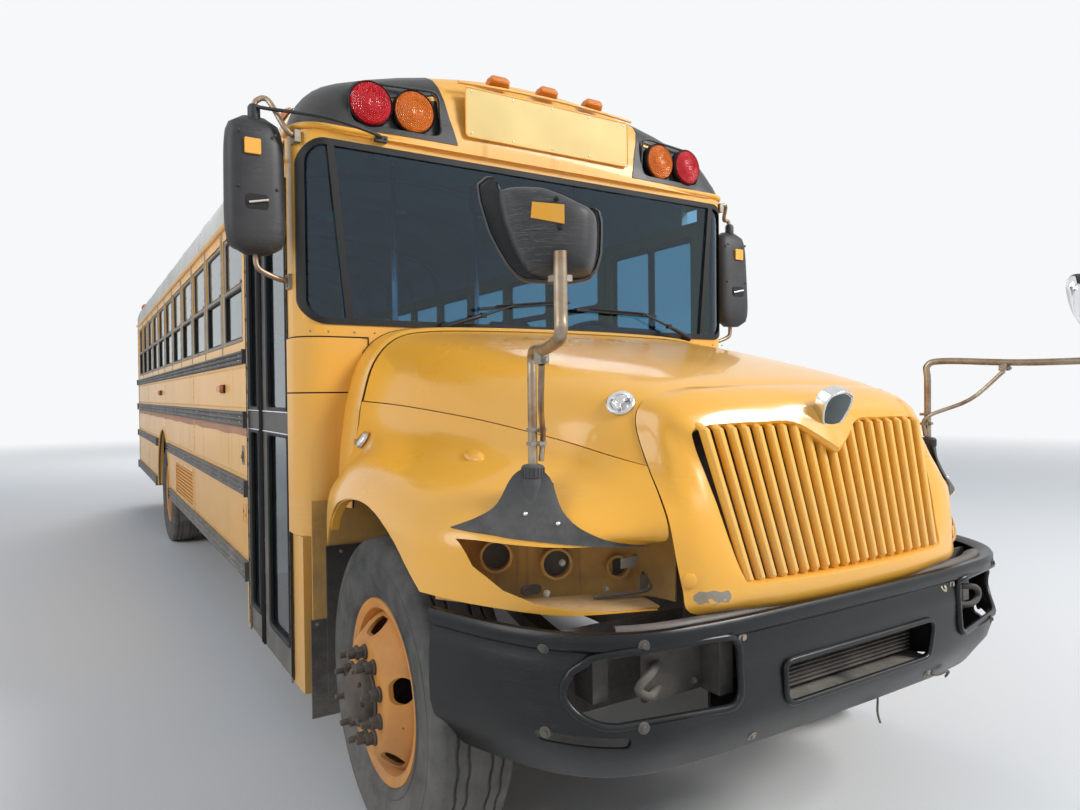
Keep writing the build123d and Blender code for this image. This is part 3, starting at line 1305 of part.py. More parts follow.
# Cross-view mirrors: flared feet on the fenders, bent tubes and domed heads
CROSS_FOOT = (HALF - 270.0, NOSE_Y + 274)
CROSS_HEAD = (HALF - 50.0, NOSE_Y - 200, 1855.0)
CROSS_SIZE = (250.0, 210.0, 130.0)  # width, height, depth
with BuildPart() as fender_mirrors:
    for side in (-1, 1):
        foot = (side * CROSS_FOOT[0], CROSS_FOOT[1])
        head = (side * CROSS_HEAD[0], CROSS_HEAD[1])
        with BuildSketch(Plane.XY.offset(1100)):
            with Locations(foot):
                Circle(108)
        extrude(amount=220, taper=20)
        add(HOOD_OUTER, mode=Mode.SUBTRACT)
        add(tube(((*foot, 1300), (*foot, 1630), (*head, 1667), (*head, 1790)), 13, 50))
        with BuildSketch(across(head[1] - 30), mode=Mode.PRIVATE) as rim:
            with Locations((head[0], CROSS_HEAD[2])):
                RectangleRounded(CROSS_SIZE[0], CROSS_SIZE[1], 80)
        extrude(rim.sketch, amount=-(CROSS_SIZE[2] - 30), taper=18)
        extrude(rim.sketch, amount=30, taper=40)
save(fender_mirrors, "fender_mirrors")

# Stop arm: a blank octagon folded flat against the driver's side
ARM_FLATS = 450.0
with BuildPart() as stop_arm:
    with BuildSketch(along(ARM_AXIS[0] - 9)):
        with Locations((ARM_AXIS[1] + 300, ARM_Z)):
            RegularPolygon(ARM_FLATS / 2, 8, major_radius=False, rotation=22.5)
        with Locations((ARM_AXIS[1] + 90, ARM_Z)):
            Rectangle(140, 200)
    extrude(amount=18)
    with Locations((ARM_AXIS[0], ARM_AXIS[1], ARM_Z)):
        Cylinder(14, ARM_BARREL)
    with Locations((ARM_AXIS[0], ARM_AXIS[1] + 12, ARM_Z)):
        Box(18, 24, 200)
save(stop_arm, "stop_arm")

# Steering knuckles: yoke and king pin, backing plate and spindle
FRONT_WHEEL_X = FRONT_TRACK / 2
FRONT_SPINDLE_R = 38.0
YOKE_GAP = 1.0
for name, side in SIDES:
    pin = (side * KINGPIN_X, FRONT_AXLE_Y, TIRE_R)
    with BuildPart() as knuckle:
        with Locations(pin):
            Cylinder(PIN_R, EYE_HEIGHT + 100)
            for end in (-1, 1):
                with Locations((0, 0, end * (EYE_HEIGHT / 2 + YOKE_GAP + 22))):
                    Cylinder(EYE_R, 44)
        with Locations((side * (KINGPIN_X + 58), FRONT_AXLE_Y, TIRE_R)):
            Box(12, 140, EYE_HEIGHT + 2 * YOKE_GAP + 88)
        for end in (-1, 1):
            with Locations(
                (
                    side * (KINGPIN_X + 35),
                    FRONT_AXLE_Y,
                    TIRE_R + end * (EYE_HEIGHT / 2 + YOKE_GAP + 22),
                )
            ):
                Box(58, 70, 44)
        with Locations(
            Location((side * (KINGPIN_X + 64 + 160), FRONT_AXLE_Y, TIRE_R), (0, 90, 0))
        ):
            Cylinder(FRONT_SPINDLE_R, 320)
    save(knuckle, f"knuckle_{name}")

# Tires and wheels are turned about the axle line, and the discs are cut for hands
HAND_HOLES = (5, 215.0, 26.0)  # count, circle radius, hole radius


def tire_section(x):
    """A tire's section, drawn as (x, radius) in the plane through the axle line."""
    half = TIRE_WIDTH / 2
    wall = (
        (100, RIM_R - 18),
        (102, RIM_R + 3),
        (half - 7, RIM_R + 52),
        (half, RIM_R + 110),
        (half - 20, TIRE_R - 22),
        (half - 36, TIRE_R),
    )
    with BuildSketch() as outline:
        with BuildLine():
            Polyline(
                *[(x + reach, radius) for reach, radius in wall],
                *[(x - reach, radius) for reach, radius in reversed(wall)],
                close=True,
            )
        make_face()
    return outline.sketch


def wheel_section(x, disc):
    """Rim and disc section, drawn as (x, radius); disc is the side the disc bulges to."""
    with BuildSketch() as outline:
        with BuildLine():
            Polyline(
                (x - 115, RIM_R),
                (x - 104, RIM_R),
                (x - 104, 279),
                (x - 60, 266),
                (x + 60, 266),
                (x + 104, 279),
                (x + 104, RIM_R),
                (x + 115, RIM_R),
                (x + 115, 270),
                (x + 64, 256),
                (x - 64, 256),
                (x - 115, 270),
                close=True,
            )
        make_face()
        with BuildLine():
            Polyline(
                (x + disc * 60, 257),
                (x + disc * 80, 263),
                (x + disc * DISC_OFFSET, 200),
                (x + disc * DISC_OFFSET, 105),
                (x + disc * (DISC_OFFSET - 13), 105),
                (x + disc * (DISC_OFFSET - 13), 192),
                close=True,
            )
        make_face()
    return outline.sketch


def axle_plane(axle_y):
    """Plane through an axle line, drawn as (x, radius)."""
    return Plane(origin=(0, axle_y, TIRE_R), x_dir=(1, 0, 0), z_dir=(0, -1, 0))


def axle_line(axle_y):
    return Axis((0, axle_y, TIRE_R), (1, 0, 0))


HUB_R = 105.0
Hub = namedtuple("Hub", "wheels spindle_r hub_start hub_end drum_start drum_end")
AXLES = (
    (
        "front",
        FRONT_AXLE_Y,
        Hub(((FRONT_WHEEL_X, 1),), FRONT_SPINDLE_R, 945, 1245, 945, 1075),
    ),
    (
        "rear",
        REAR_AXLE_Y,
        Hub(
            (
                (DUAL_CENTER_X - DISC_OFFSET, 1),
                (DUAL_CENTER_X + DISC_OFFSET, -1),
            ),
            SPINDLE_R,
            660,
            1030,
            660,
            860,
        ),
    ),
)
for axle_name, axle_y, hub in AXLES:
    for name, side in SIDES:
        with BuildPart() as tire:
            for x, disc in hub.wheels:
                with BuildSketch(axle_plane(axle_y)):
                    add(tire_section(side * x))
                revolve(axis=axle_line(axle_y))
        save(tire, f"tire_{axle_name}_{name}")
        with BuildPart() as wheel:
            for x, disc in hub.wheels:
                with BuildSketch(axle_plane(axle_y)):
                    add(wheel_section(side * x, side * disc))
                revolve(axis=axle_line(axle_y))
                start_x = side * (x + disc * 75)
                with BuildSketch(along(start_x)):
                    with Locations((axle_y, TIRE_R)):
                        with PolarLocations(HAND_HOLES[1], HAND_HOLES[0], start_angle=90):
                            Circle(HAND_HOLES[2])
                extrude(amount=side * disc * (DISC_OFFSET - 75 + 20), mode=Mode.SUBTRACT)
            with BuildSketch(axle_plane(axle_y)):
                with BuildLine():
                    Polyline(
                        (side * hub.hub_start, hub.spindle_r + RUNNING),
                        (side * hub.hub_end, hub.spindle_r + RUNNING),
                        (side * hub.hub_end, 72),
                        (side * (hub.hub_end - 60), HUB_R),
                        (side * hub.drum_end, HUB_R),
                        (side * hub.drum_end, 215),
                        (side * hub.drum_start, 215),
                        (side * hub.drum_start, 198),
                        (side * (hub.drum_end - 14), 198),
                        (side * (hub.drum_end - 14), 88),
                        (side * hub.hub_start, 88),
                        close=True,
                    )
                make_face()
            revolve(axis=axle_line(axle_y))
        save(wheel, f"wheel_{axle_name}_{name}")
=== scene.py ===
"""School bus: the pieces that show, laid over the packed frame of a conventional bus."""

from math import acos, atan2, cos, hypot, pi, radians, sin, sqrt

import bmesh
import bpy
from bpy.props import FloatProperty, IntProperty, PointerProperty
from mathutils import Matrix, Vector
from mathutils.bvhtree import BVHTree


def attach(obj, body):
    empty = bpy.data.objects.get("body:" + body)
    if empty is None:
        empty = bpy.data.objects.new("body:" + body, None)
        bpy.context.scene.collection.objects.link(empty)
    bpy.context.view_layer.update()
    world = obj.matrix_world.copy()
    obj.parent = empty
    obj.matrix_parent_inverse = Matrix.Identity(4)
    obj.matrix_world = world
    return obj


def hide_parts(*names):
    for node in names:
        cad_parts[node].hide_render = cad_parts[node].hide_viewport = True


bl_info = {
    "name": "School Bus Pieces",
    "version": (1, 0, 0),
    "blender": (4, 5, 0),
    "location": "3D View > Sidebar > School Bus",
    "description": "Builds the visible pieces of a conventional school bus around its frame",
    "category": "Add Mesh",
}

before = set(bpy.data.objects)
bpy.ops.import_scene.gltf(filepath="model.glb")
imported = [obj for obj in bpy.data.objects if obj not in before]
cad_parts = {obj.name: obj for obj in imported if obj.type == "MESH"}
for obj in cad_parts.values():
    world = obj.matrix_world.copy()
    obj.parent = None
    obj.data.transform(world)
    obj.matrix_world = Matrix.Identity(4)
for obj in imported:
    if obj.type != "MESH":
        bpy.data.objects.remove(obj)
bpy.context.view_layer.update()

# Main places, in metres: +X is the bus's left, -Y its nose, +Z up
COWL_Y = -3.650
REAR_Y = 5.500
HALF = 1.220
DRIP_Z = 2.537
ROOF_Z = 3.064
AXLE_Z = 0.515
FRONT_AXLE_Y = -4.330
REAR_AXLE_Y = 2.020
DOOR_Y = -3.450
DOOR_END_Y = -2.550
WINDOW_COUNT = 11
WINDOW_Y = -2.450
WINDOW_PITCH = 0.698
WINDOW_WIDTH = 0.600
EXIT_FACE_Y = REAR_Y + 0.004
TREAD_R = 0.515
FRONT_WHEEL_X, DUAL_X = 1.020, (0.717, 1.053)
SIDES = (("right", -1), ("left", 1))


# Forms


def flow(points, steps):
    """Points of a smooth line through the given ones, `steps` to each stretch."""
    points = [Vector(p) for p in points]
    ends = [2 * points[0] - points[1], *points, 2 * points[-1] - points[-2]]
    line = []
    for a, b, c, d in zip(ends, ends[1:], ends[2:], ends[3:]):
        for i in range(steps):
            t = i / steps
            line.append(
                0.5 * ((2 * b) + (c - a) * t + (2 * a - 5 * b + 4 * c - d) * t * t
                       + (3 * b - a - 3 * c + d) * t ** 3)
            )
    line.append(points[-1])
    return line


def flow_grid(rows, row_steps, column_steps):
    """A smooth sheet through rows of points."""
    drawn = [flow(row, row_steps) for row in rows]
    columns = [flow(column, column_steps) for column in zip(*drawn)]
    return [list(row) for row in zip(*columns)]


def ring(center, radius, steps, across, up, start=0.0):
    """A circle of points about center in the plane of two directions."""
    return [
        center + radius * (cos(start + 2 * pi * i / steps) * across
                           + sin(start + 2 * pi * i / steps) * up)
        for i in range(steps)
    ]


def rounded(width, height, radius, steps=5):
    """Corner points of a rounded rectangle about the origin."""
    points = []
    for k, (sx, sy) in enumerate(((1, 1), (-1, 1), (-1, -1), (1, -1))):
        for i in range(steps + 1):
            angle = (k + i / steps) * pi / 2
            points.append((
                sx * (width / 2 - radius) + radius * cos(angle),
                sy * (height / 2 - radius) + radius * sin(angle),
            ))
    return points


def facing(axis):
    """A direction at unit length, and two that stand across it."""
    axis = Vector(axis).normalized()
    across = axis.orthogonal().normalized()
    return axis, across, axis.cross(across)


class Form:
    """The points and faces of one piece; each face takes one of the piece's finishes."""

    def __init__(self, finish=None):
        self.finishes = [finish] if finish else []
        self.points, self.faces, self.marks = [], [], []
        self.mark = 0

    def use(self, finish):
        """Give the faces that come next a finish."""
        if finish not in self.finishes:
            self.finishes.append(finish)
        self.mark = self.finishes.index(finish)
        return self

    def add(self, points, faces):
        start = len(self.points)
        self.points.extend(Vector(p) for p in points)
        self.faces.extend([start + i for i in face] for face in faces)
        self.marks.extend([self.mark] * len(faces))
        return self

    def rings(self, rings, capped=True, closed=False):
        """A skin over rings with the same number of points."""
        count = len(rings[0])
        points = [p for one in rings for p in one]
        faces = []
        last = len(rings) if closed else len(rings) - 1
        for i in range(last):
            low, high = i * count, (i + 1) % len(rings) * count
            for j in range(count):
                k = (j + 1) % count
                faces.append((low + j, low + k, high + k, high + j))
        if capped and not closed:
            faces.append(tuple(reversed(range(count))))
            faces.append(tuple(range((len(rings) - 1) * count, len(rings) * count)))
        return self.add(points, faces)

    def slab(self, center, size, turn=None):
        """A straight block, turned about its centre."""
        turn = turn or Matrix.Identity(3)
        center = Vector(center)
        points = [
            center + turn @ Vector((x * size[0] / 2, y * size[1] / 2, z * size[2] / 2))
            for z in (-1, 1) for x, y in ((-1, -1), (1, -1), (1, 1), (-1, 1))
        ]
        return self.rings([points[:4], points[4:]])

    def stack(self, outline, place, levels, closed=False):
        """A skin over an outline at each (scale, depth); place turns (u, v, w) into a point."""
        return self.rings([[Vector(place(u * s, v * s, w)) for u, v in outline]
                           for s, w in levels], closed=closed)

    def prism(self, outline, place, depth):
        """A plate with the given outline."""
        return self.stack(outline, place, ((1, 0.0), (1, depth)))

    def turned(self, profile, origin, axis, steps=32, capped=True):
        """A turned piece: profile holds (along, radius)."""
        axis, across, up = facing(axis)
        return self.rings(
            [ring(Vector(origin) + axis * a, max(r, 1e-5), steps, across, up) for a, r in profile],
            capped,
        )

    def hoop(self, profile, origin, axis, steps=48):
        """A closed section (along, radius) carried right round an axis."""
        axis, across, up = facing(axis)
        sections = []
        for i in range(steps):
            out = cos(2 * pi * i / steps) * across + sin(2 * pi * i / steps) * up
            sections.append([Vector(origin) + axis * a + out * r for a, r in profile])
        return self.rings(sections, closed=True)

    def pipe(self, path, radius, steps=12, closed=False):
        """A round bar along a line of points; radius may be one number or one each."""
        path = [Vector(p) for p in path]
        radii = radius if isinstance(radius, (list, tuple)) else [radius] * len(path)
        rings, across = [], None
        for i, point in enumerate(path):
            before = path[i - 1] if i or closed else point
            after = path[(i + 1) % len(path)] if i < len(path) - 1 or closed else point
            ahead = (after - before).normalized()
            if across is None:
                across = ahead.orthogonal().normalized()
            across = (across - ahead * across.dot(ahead)).normalized()
            rings.append(ring(point, radii[i], steps, across, ahead.cross(across)))
        return self.rings(rings, closed=closed)

    def strip(self, path, section, up):
        """A fixed section (u along up, v outward) carried along a line of points."""
        path = [Vector(p) for p in path]
        rings = []
        for i, point in enumerate(path):
            ahead = (path[min(i + 1, len(path) - 1)] - path[max(i - 1, 0)]).normalized()
            rise = Vector(up)
            rise = (rise - ahead * rise.dot(ahead)).normalized()
            side = ahead.cross(rise)
            rings.append([point + rise * u + side * v for u, v in section])
        return self.rings(rings)

    def shell(self, rows, depth):
        """A sheet of rows of points, closed `depth` behind itself."""
        count, width = len(rows), len(rows[0])
        front, back = [], []
        for i in range(count):
            for j in range(width):
                along = rows[min(i + 1, count - 1)][j] - rows[max(i - 1, 0)][j]
                across = rows[i][min(j + 1, width - 1)] - rows[i][max(j - 1, 0)]
                normal = along.cross(across).normalized()
                front.append(rows[i][j])
                back.append(rows[i][j] - normal * depth)
        faces = []
        total = count * width
        for i in range(count - 1):
            for j in range(width - 1):
                a, b = i * width + j, (i + 1) * width + j
                faces.append((a, a + 1, b + 1, b))
                faces.append((total + b, total + b + 1, total + a + 1, total + a))
        rim = (
            [j for j in range(width)]
            + [i * width + width - 1 for i in range(1, count)]
            + [(count - 1) * width + j for j in range(width - 2, -1, -1)]
            + [i * width for i in range(count - 2, 0, -1)]
        )
        for a, b in zip(rim, rim[1:] + rim[:1]):
            faces.append((b, a, total + a, total + b))
        return self.add(front + back, faces)

    def dome(self, center, normal, radius, height, steps=8):
        """A low round head, such as a rivet's, set into what carries it."""
        normal, across, up = facing(normal)
        base = Vector(center) - normal * height * 0.4
        rings = [
            ring(base, radius, steps, across, up),
            ring(Vector(center) + normal * height * 0.35, radius * 0.92, steps, across, up),
            ring(Vector(center) + normal * height * 0.9, radius * 0.5, steps, across, up),
        ]
        return self.rings(rings)

    def bolt(self, center, normal, size, height):
        """A six-sided head on its washer."""
        normal, across, up = facing(normal)
        center = Vector(center)
        self.rings([
            ring(center - normal * 0.002, size * 0.78, 16, across, up),
            ring(center + normal * height * 0.22, size * 0.78, 16, across, up),
        ])
        return self.rings([
            ring(center + normal * height * 0.2, size * 0.58, 6, across, up),
            ring(center + normal * height * 0.85, size * 0.58, 6, across, up),
            ring(center + normal * height, size * 0.50, 6, across, up),
        ])

    def mesh(self, name, smooth=None):
        """The form as a mesh; with an angle given, it is also shaded and takes its finishes."""
        mesh = bpy.data.meshes.new(name)
        mesh.from_pydata(self.points, [], self.faces)
        mesh.polygons.foreach_set("material_index", self.marks)
        work = bmesh.new()
        work.from_mesh(mesh)
        bmesh.ops.recalc_face_normals(work, faces=work.faces)
        work.to_mesh(mesh)
        work.free()
        if smooth is not None:
            for finish in self.finishes:
                mesh.materials.append(coating(finish))
            shade(mesh, smooth)
        return mesh

    def piece(self, name, body, slot, bevel=0.0, smooth=35.0, replaces=()):
        """Turn the form into a piece that rides on a body."""
        piece = linked(name, self.mesh(name, smooth))
        if bevel:
            edge = piece.modifiers.new("edges", "BEVEL")
            edge.width = bevel
            edge.segments = 2
            edge.limit_method = "ANGLE"
            edge.angle_limit = radians(32)
            edge.harden_normals = True
        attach(piece, body)
        if replaces:
            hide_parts(*replaces)
        return piece


def shade(mesh, angle):
    """Shade a mesh smooth up to an angle in degrees."""
    mesh.shade_smooth()
    mesh.set_sharp_from_angle(angle=radians(angle))


def linked(name, data):
    """A new object in the scene."""
    piece = bpy.data.objects.new(name, data)
    bpy.context.scene.collection.objects.link(piece)
    return piece


def settle(piece):
    """Keep a piece's shape as its modifiers leave it."""
    graph = bpy.context.evaluated_depsgraph_get()
    mesh = bpy.data.meshes.new_from_object(piece.evaluated_get(graph))
    piece.modifiers.clear()
    old = piece.data
    piece.data = mesh
    mesh.name = piece.name
    bpy.data.meshes.remove(old)
    return piece


def carve(piece, form, operation="DIFFERENCE"):
    """Cut a form out of a piece, or keep only what lies inside it."""
    tool = linked("tool", form.mesh("tool"))
    cut = piece.modifiers.new("cut", "BOOLEAN")
    cut.object = tool
    cut.operation = operation
    cut.solver = "EXACT"
    cut.use_self = True
    cut.use_hole_tolerant = True
    settle(piece)
    bpy.data.objects.remove(tool)
    shade(piece.data, 35)
    return piece


def at_x(x, side=1, y=0.0, z=0.0):
    """Placement for outlines drawn as (y, z) on a plane along the bus."""
    return lambda u, v, w: (side * (x + w), y + u, z + v)


def at_y(y, way=-1, x=0.0, z=0.0):
    """Placement for outlines drawn as (x, z) on a plane across the bus."""
    return lambda u, v, w: (x + u, y + way * w, z + v)


def at_z(z, x=0.0, y=0.0):
    """Placement for outlines drawn as (x, y) on a level plane."""
    return lambda u, v, w: (x + u, y + v, z + w)


def flipped(outline, side):
    """An outline on the side that the sign gives."""
    return [(side * u, v) for u, v in outline]


def moved(outline, u, v):
    return [(a + u, b + v) for a, b in outline]


# Finishes


class Net:
    """Adds and joins nodes in a material or a group."""

    def __init__(self, tree):
        self.tree = tree
        tree.nodes.clear()

    def node(self, kind, inputs=None, **settings):
        node = self.tree.nodes.new("ShaderNode" + kind)
        for key, value in settings.items():
            setattr(node, key, value)
        for key, value in (inputs or {}).items():
            self.feed(node.inputs[key], value)
        return node

    def feed(self, socket, value):
        if isinstance(value, bpy.types.NodeSocket):
            self.tree.links.new(value, socket)
        elif isinstance(value, bpy.types.Node):
            self.tree.links.new(value.outputs[0], socket)
        elif socket.type == "RGBA" and len(value) == 3:
            socket.default_value = (*value, 1.0)
        else:
            socket.default_value = value

    def mix(self, amount, first, second, blend="MIX"):
        node = self.node("Mix", data_type="RGBA", blend_type=blend)
        self.feed(node.inputs[0], amount)
        self.feed(node.inputs[6], first)
        self.feed(node.inputs[7], second)
        return node.outputs[2]

    def math(self, operation, *values, clamp=False):
        node = self.node("Math", operation=operation, use_clamp=clamp)
        for socket, value in zip(node.inputs, values):
            self.feed(socket, value)
        return node.outputs[0]

    def span(self, value, low, high):
        """How far a value lies between two limits, held from 0 to 1."""
        return self.node("MapRange", {"Value": value, "From Min": low, "From Max": high}).outputs[0]

    def noise(self, source, scale, detail, roughness=0.5):
        return self.node("TexNoise", {"Vector": source, "Scale": scale, "Detail": detail,
                                      "Roughness": roughness})


DUST = (0.40, 0.36, 0.30)
RUST = (0.24, 0.09, 0.035)
EFFECTS = {}


def effect(name, colors, values):
    """Decorator: keep what a function draws as a shader group with named sockets."""

    def keep(build):
        group = bpy.data.node_groups.new(name, "ShaderNodeTree")

        def socket(label, way, kind):
            return group.interface.new_socket(label, in_out=way, socket_type=f"NodeSocket{kind}")

        for label, tone in colors.items():
            socket(label, "INPUT", "Color").default_value = (*tone, 1.0)
        for label, value in values.items():
            socket(label, "INPUT", "Float").default_value = value
        net = Net(group)
        source = net.node("TexCoord").outputs["Object"]
        given = group.nodes.new("NodeGroupInput").outputs
        drawn = build(net, source, given)
        results = {"Height": drawn}
        if colors:
            socket("Color", "OUTPUT", "Color")
            results = {"Color": net.mix(drawn, *(given[label] for label in colors)), "Mask": drawn}
        socket("Mask" if colors else "Height", "OUTPUT", "Float")
        out = group.nodes.new("NodeGroupOutput")
        for label, value in results.items():
            net.feed(out.inputs[label], value)
        EFFECTS[name] = group
        return build

    return keep


def build_effects():
    """The wear that the finishes share: each group lays its second colour where its mask is."""
    white = (1, 1, 1)

    @effect("Mottle", {"Color": white, "Second": white},
            {"Scale": 2.0, "Amount": 0.3, "Sharp": 0.35})
    def mottle(net, source, given):
        noise = net.noise(source, given["Scale"], 6.0, 0.62)
        half = net.math("MULTIPLY", given["Sharp"], 0.5)
        low, high = net.math("SUBTRACT", 0.5, half), net.math("ADD", 0.5, half)
        return net.math("MULTIPLY", net.span(noise, low, high), given["Amount"])

    @effect("Settled dust", {"Color": white, "Dust": DUST},
            {"Amount": 0.5, "Low": 0.3, "High": 1.6, "Level parts": 0.4})
    def dust(net, source, given):
        spot = net.node("SeparateXYZ", {"Vector": source})
        height = net.span(spot.outputs["Z"], given["High"], given["Low"])
        facing = net.node("SeparateXYZ", {"Vector": net.node("NewGeometry").outputs["Normal"]})
        level = net.math("MULTIPLY", net.span(facing.outputs["Z"], 0.35, 1.0), given["Level parts"])
        cloud, speck = net.noise(source, 5.0, 8.0, 0.7), net.noise(source, 90.0, 3.0)
        grit = net.math("ADD", net.span(cloud, 0.3, 0.75), net.math("MULTIPLY", speck, 0.35))
        mask = net.math("MULTIPLY", net.math("ADD", height, level), grit)
        return net.math("MULTIPLY", mask, given["Amount"], clamp=True)

    @effect("Water runs", {"Color": white, "Run": (0.3, 0.2, 0.1)},
            {"Amount": 0.3, "Width": 30.0})
    def runs(net, source, given):
        squeeze = net.node("Mapping", {"Vector": source, "Scale": (1.0, 1.0, 0.06)})
        fine, broad = net.noise(squeeze, given["Width"], 4.0, 0.6), net.noise(source, 1.7, 2.0)
        mask = net.math("MULTIPLY", net.span(fine, 0.56, 0.74), net.span(broad, 0.4, 0.62))
        return net.math("MULTIPLY", mask, given["Amount"])

    @effect("Scratches", {"Color": white, "Bare": (0.6, 0.6, 0.6)},
            {"Amount": 0.4, "Scale": 6.0})
    def scratches(net, source, given):
        total = None
        for stretch in ((0.25, 1.0, 9.0), (1.0, 0.3, 14.0), (0.5, 0.5, 22.0)):
            bent = net.node("Mapping", {"Vector": source, "Scale": stretch,
                                        "Rotation": (0.3, 0.5, 0.2)})
            noise = net.node("TexNoise", {"Vector": bent, "Scale": given["Scale"], "Detail": 5.0,
                                          "Distortion": 0.4})
            line = net.span(net.math("ABSOLUTE", net.math("SUBTRACT", noise, 0.5)), 0.010, 0.002)
            total = line if total is None else net.math("MAXIMUM", total, line)
        patch = net.noise(source, 3.2, 3.0)
        mask = net.math("MULTIPLY", total, net.span(patch, 0.5, 0.66))
        return net.math("MULTIPLY", mask, given["Amount"])

    @effect("Chips", {"Color": white, "Under": (0.3, 0.15, 0.07)},
            {"Amount": 0.5, "Scale": 24.0})
    def chips(net, source, given):
        small = net.node("TexVoronoi", {"Vector": source, "Scale": given["Scale"],
                                        "Randomness": 1.0})
        rough, where = net.noise(source, 60.0, 4.0), net.noise(source, 4.5, 4.0)
        edge = net.math("ADD", small.outputs["Distance"], net.math("MULTIPLY", rough, 0.22))
        mask = net.math("MULTIPLY", net.span(edge, 0.21, 0.17), net.span(where, 0.52, 0.6))
        return net.math("MULTIPLY", mask, given["Amount"], clamp=True)

    @effect("Fine grain", {}, {"Scale": 300.0, "Strength": 0.5})
    def grain(net, source, given):
        return net.math("MULTIPLY", net.noise(source, given["Scale"], 3.0), given["Strength"])


# What each effect takes in a finish: its group, its sockets, and how far it dulls and digs in
WORKINGS = {
    "mottle": ("Mottle", ("Second", "Scale", "Amount"), 0.25, 0.0),
    "chips": ("Chips", ("Under", "Scale", "Amount"), 0.35, -1.0),
    "runs": ("Water runs", ("Run", "Width", "Amount"), 0.3, 0.0),
    "scratch": ("Scratches", ("Bare", "Scale", "Amount"), 0.2, -0.5),
    "dust": ("Settled dust", ("Dust", "Amount", "Low", "High", "Level parts"), 0.5, 0.0),
}


def fresh(name):
    """A new material and the net of its nodes."""
    material = bpy.data.materials.new(name)
    material.use_nodes = True
    return material, Net(material.node_tree)


def surface(color, roughness, metallic=0.0, coat=0.0, grain=None, bump=0.0004, specular=0.5,
            sheen=0.0, **works):
    """A finish: a base colour worked over by the shared effects, in one shader."""

    def make(name):
        material, net = fresh(name)
        material.diffuse_color = (*color, 1.0)
        tone, rough, dulled, height = color, roughness, None, []
        for work, (group, labels, dulls, digs) in WORKINGS.items():
            if work not in works:
                continue
            node = net.node("Group", {**dict(zip(labels, works[work])), "Color": tone},
                            node_tree=EFFECTS[group])
            tone, mask = node.outputs["Color"], node.outputs["Mask"]
            dulled = mask
            rough = net.math("ADD", rough, net.math("MULTIPLY", mask, dulls), clamp=True)
            if digs:
                height.append((mask, digs))
        shader = net.node("BsdfPrincipled", {
            "Base Color": tone, "Roughness": rough, "Metallic": metallic,
            "Specular IOR Level": specular, "Coat Roughness": 0.08, "Sheen Weight": sheen,
        })
        if coat:
            worn = coat
            if dulled is not None:
                worn = net.math("SUBTRACT", coat, net.math("MULTIPLY", dulled, coat))
            net.feed(shader.inputs["Coat Weight"], worn)
        if grain:
            node = net.node("Group", dict(zip(("Scale", "Strength"), grain)),
                            node_tree=EFFECTS["Fine grain"])
            height.append((node.outputs["Height"], 1.0))
        if height:
            total = net.math("MULTIPLY", *height[0])
            for step in height[1:]:
                total = net.math("ADD", total, net.math("MULTIPLY", *step))
            knock = net.node("Bump", {"Height": total, "Distance": bump, "Strength": 1.0})
            net.feed(shader.inputs["Normal"], knock)
        net.node("OutputMaterial", {"Surface": shader})
        return material

    return make


def glass(tint, roughness=0.02, weight=1.0, dust=0.25, lens=None):
    """A see-through finish with a film of dust; lens adds close moulded ribs."""

    def make(name):
        material, net = fresh(name)
        film = net.node("Group", {"Color": tint, "Dust": (0.5, 0.5, 0.46), "Amount": dust,
                                  "Low": 0.6, "High": 2.9, "Level parts": 0.1},
                        node_tree=EFFECTS["Settled dust"])
        shader = net.node("BsdfPrincipled", {
            "Base Color": film.outputs["Color"], "IOR": 1.45, "Transmission Weight": weight,
            "Roughness": net.math("ADD", roughness,
                                  net.math("MULTIPLY", film.outputs["Mask"], 0.25))})
        if lens:
            source = net.node("TexCoord").outputs["Object"]
            cells = net.node("TexVoronoi", {"Vector": source, "Scale": lens, "Randomness": 0.15})
            knock = net.node("Bump", {"Height": cells.outputs["Distance"], "Distance": 0.004,
                                      "Strength": 0.7})
            net.feed(shader.inputs["Normal"], knock)
        net.node("OutputMaterial", {"Surface": shader})
        return material

    return make


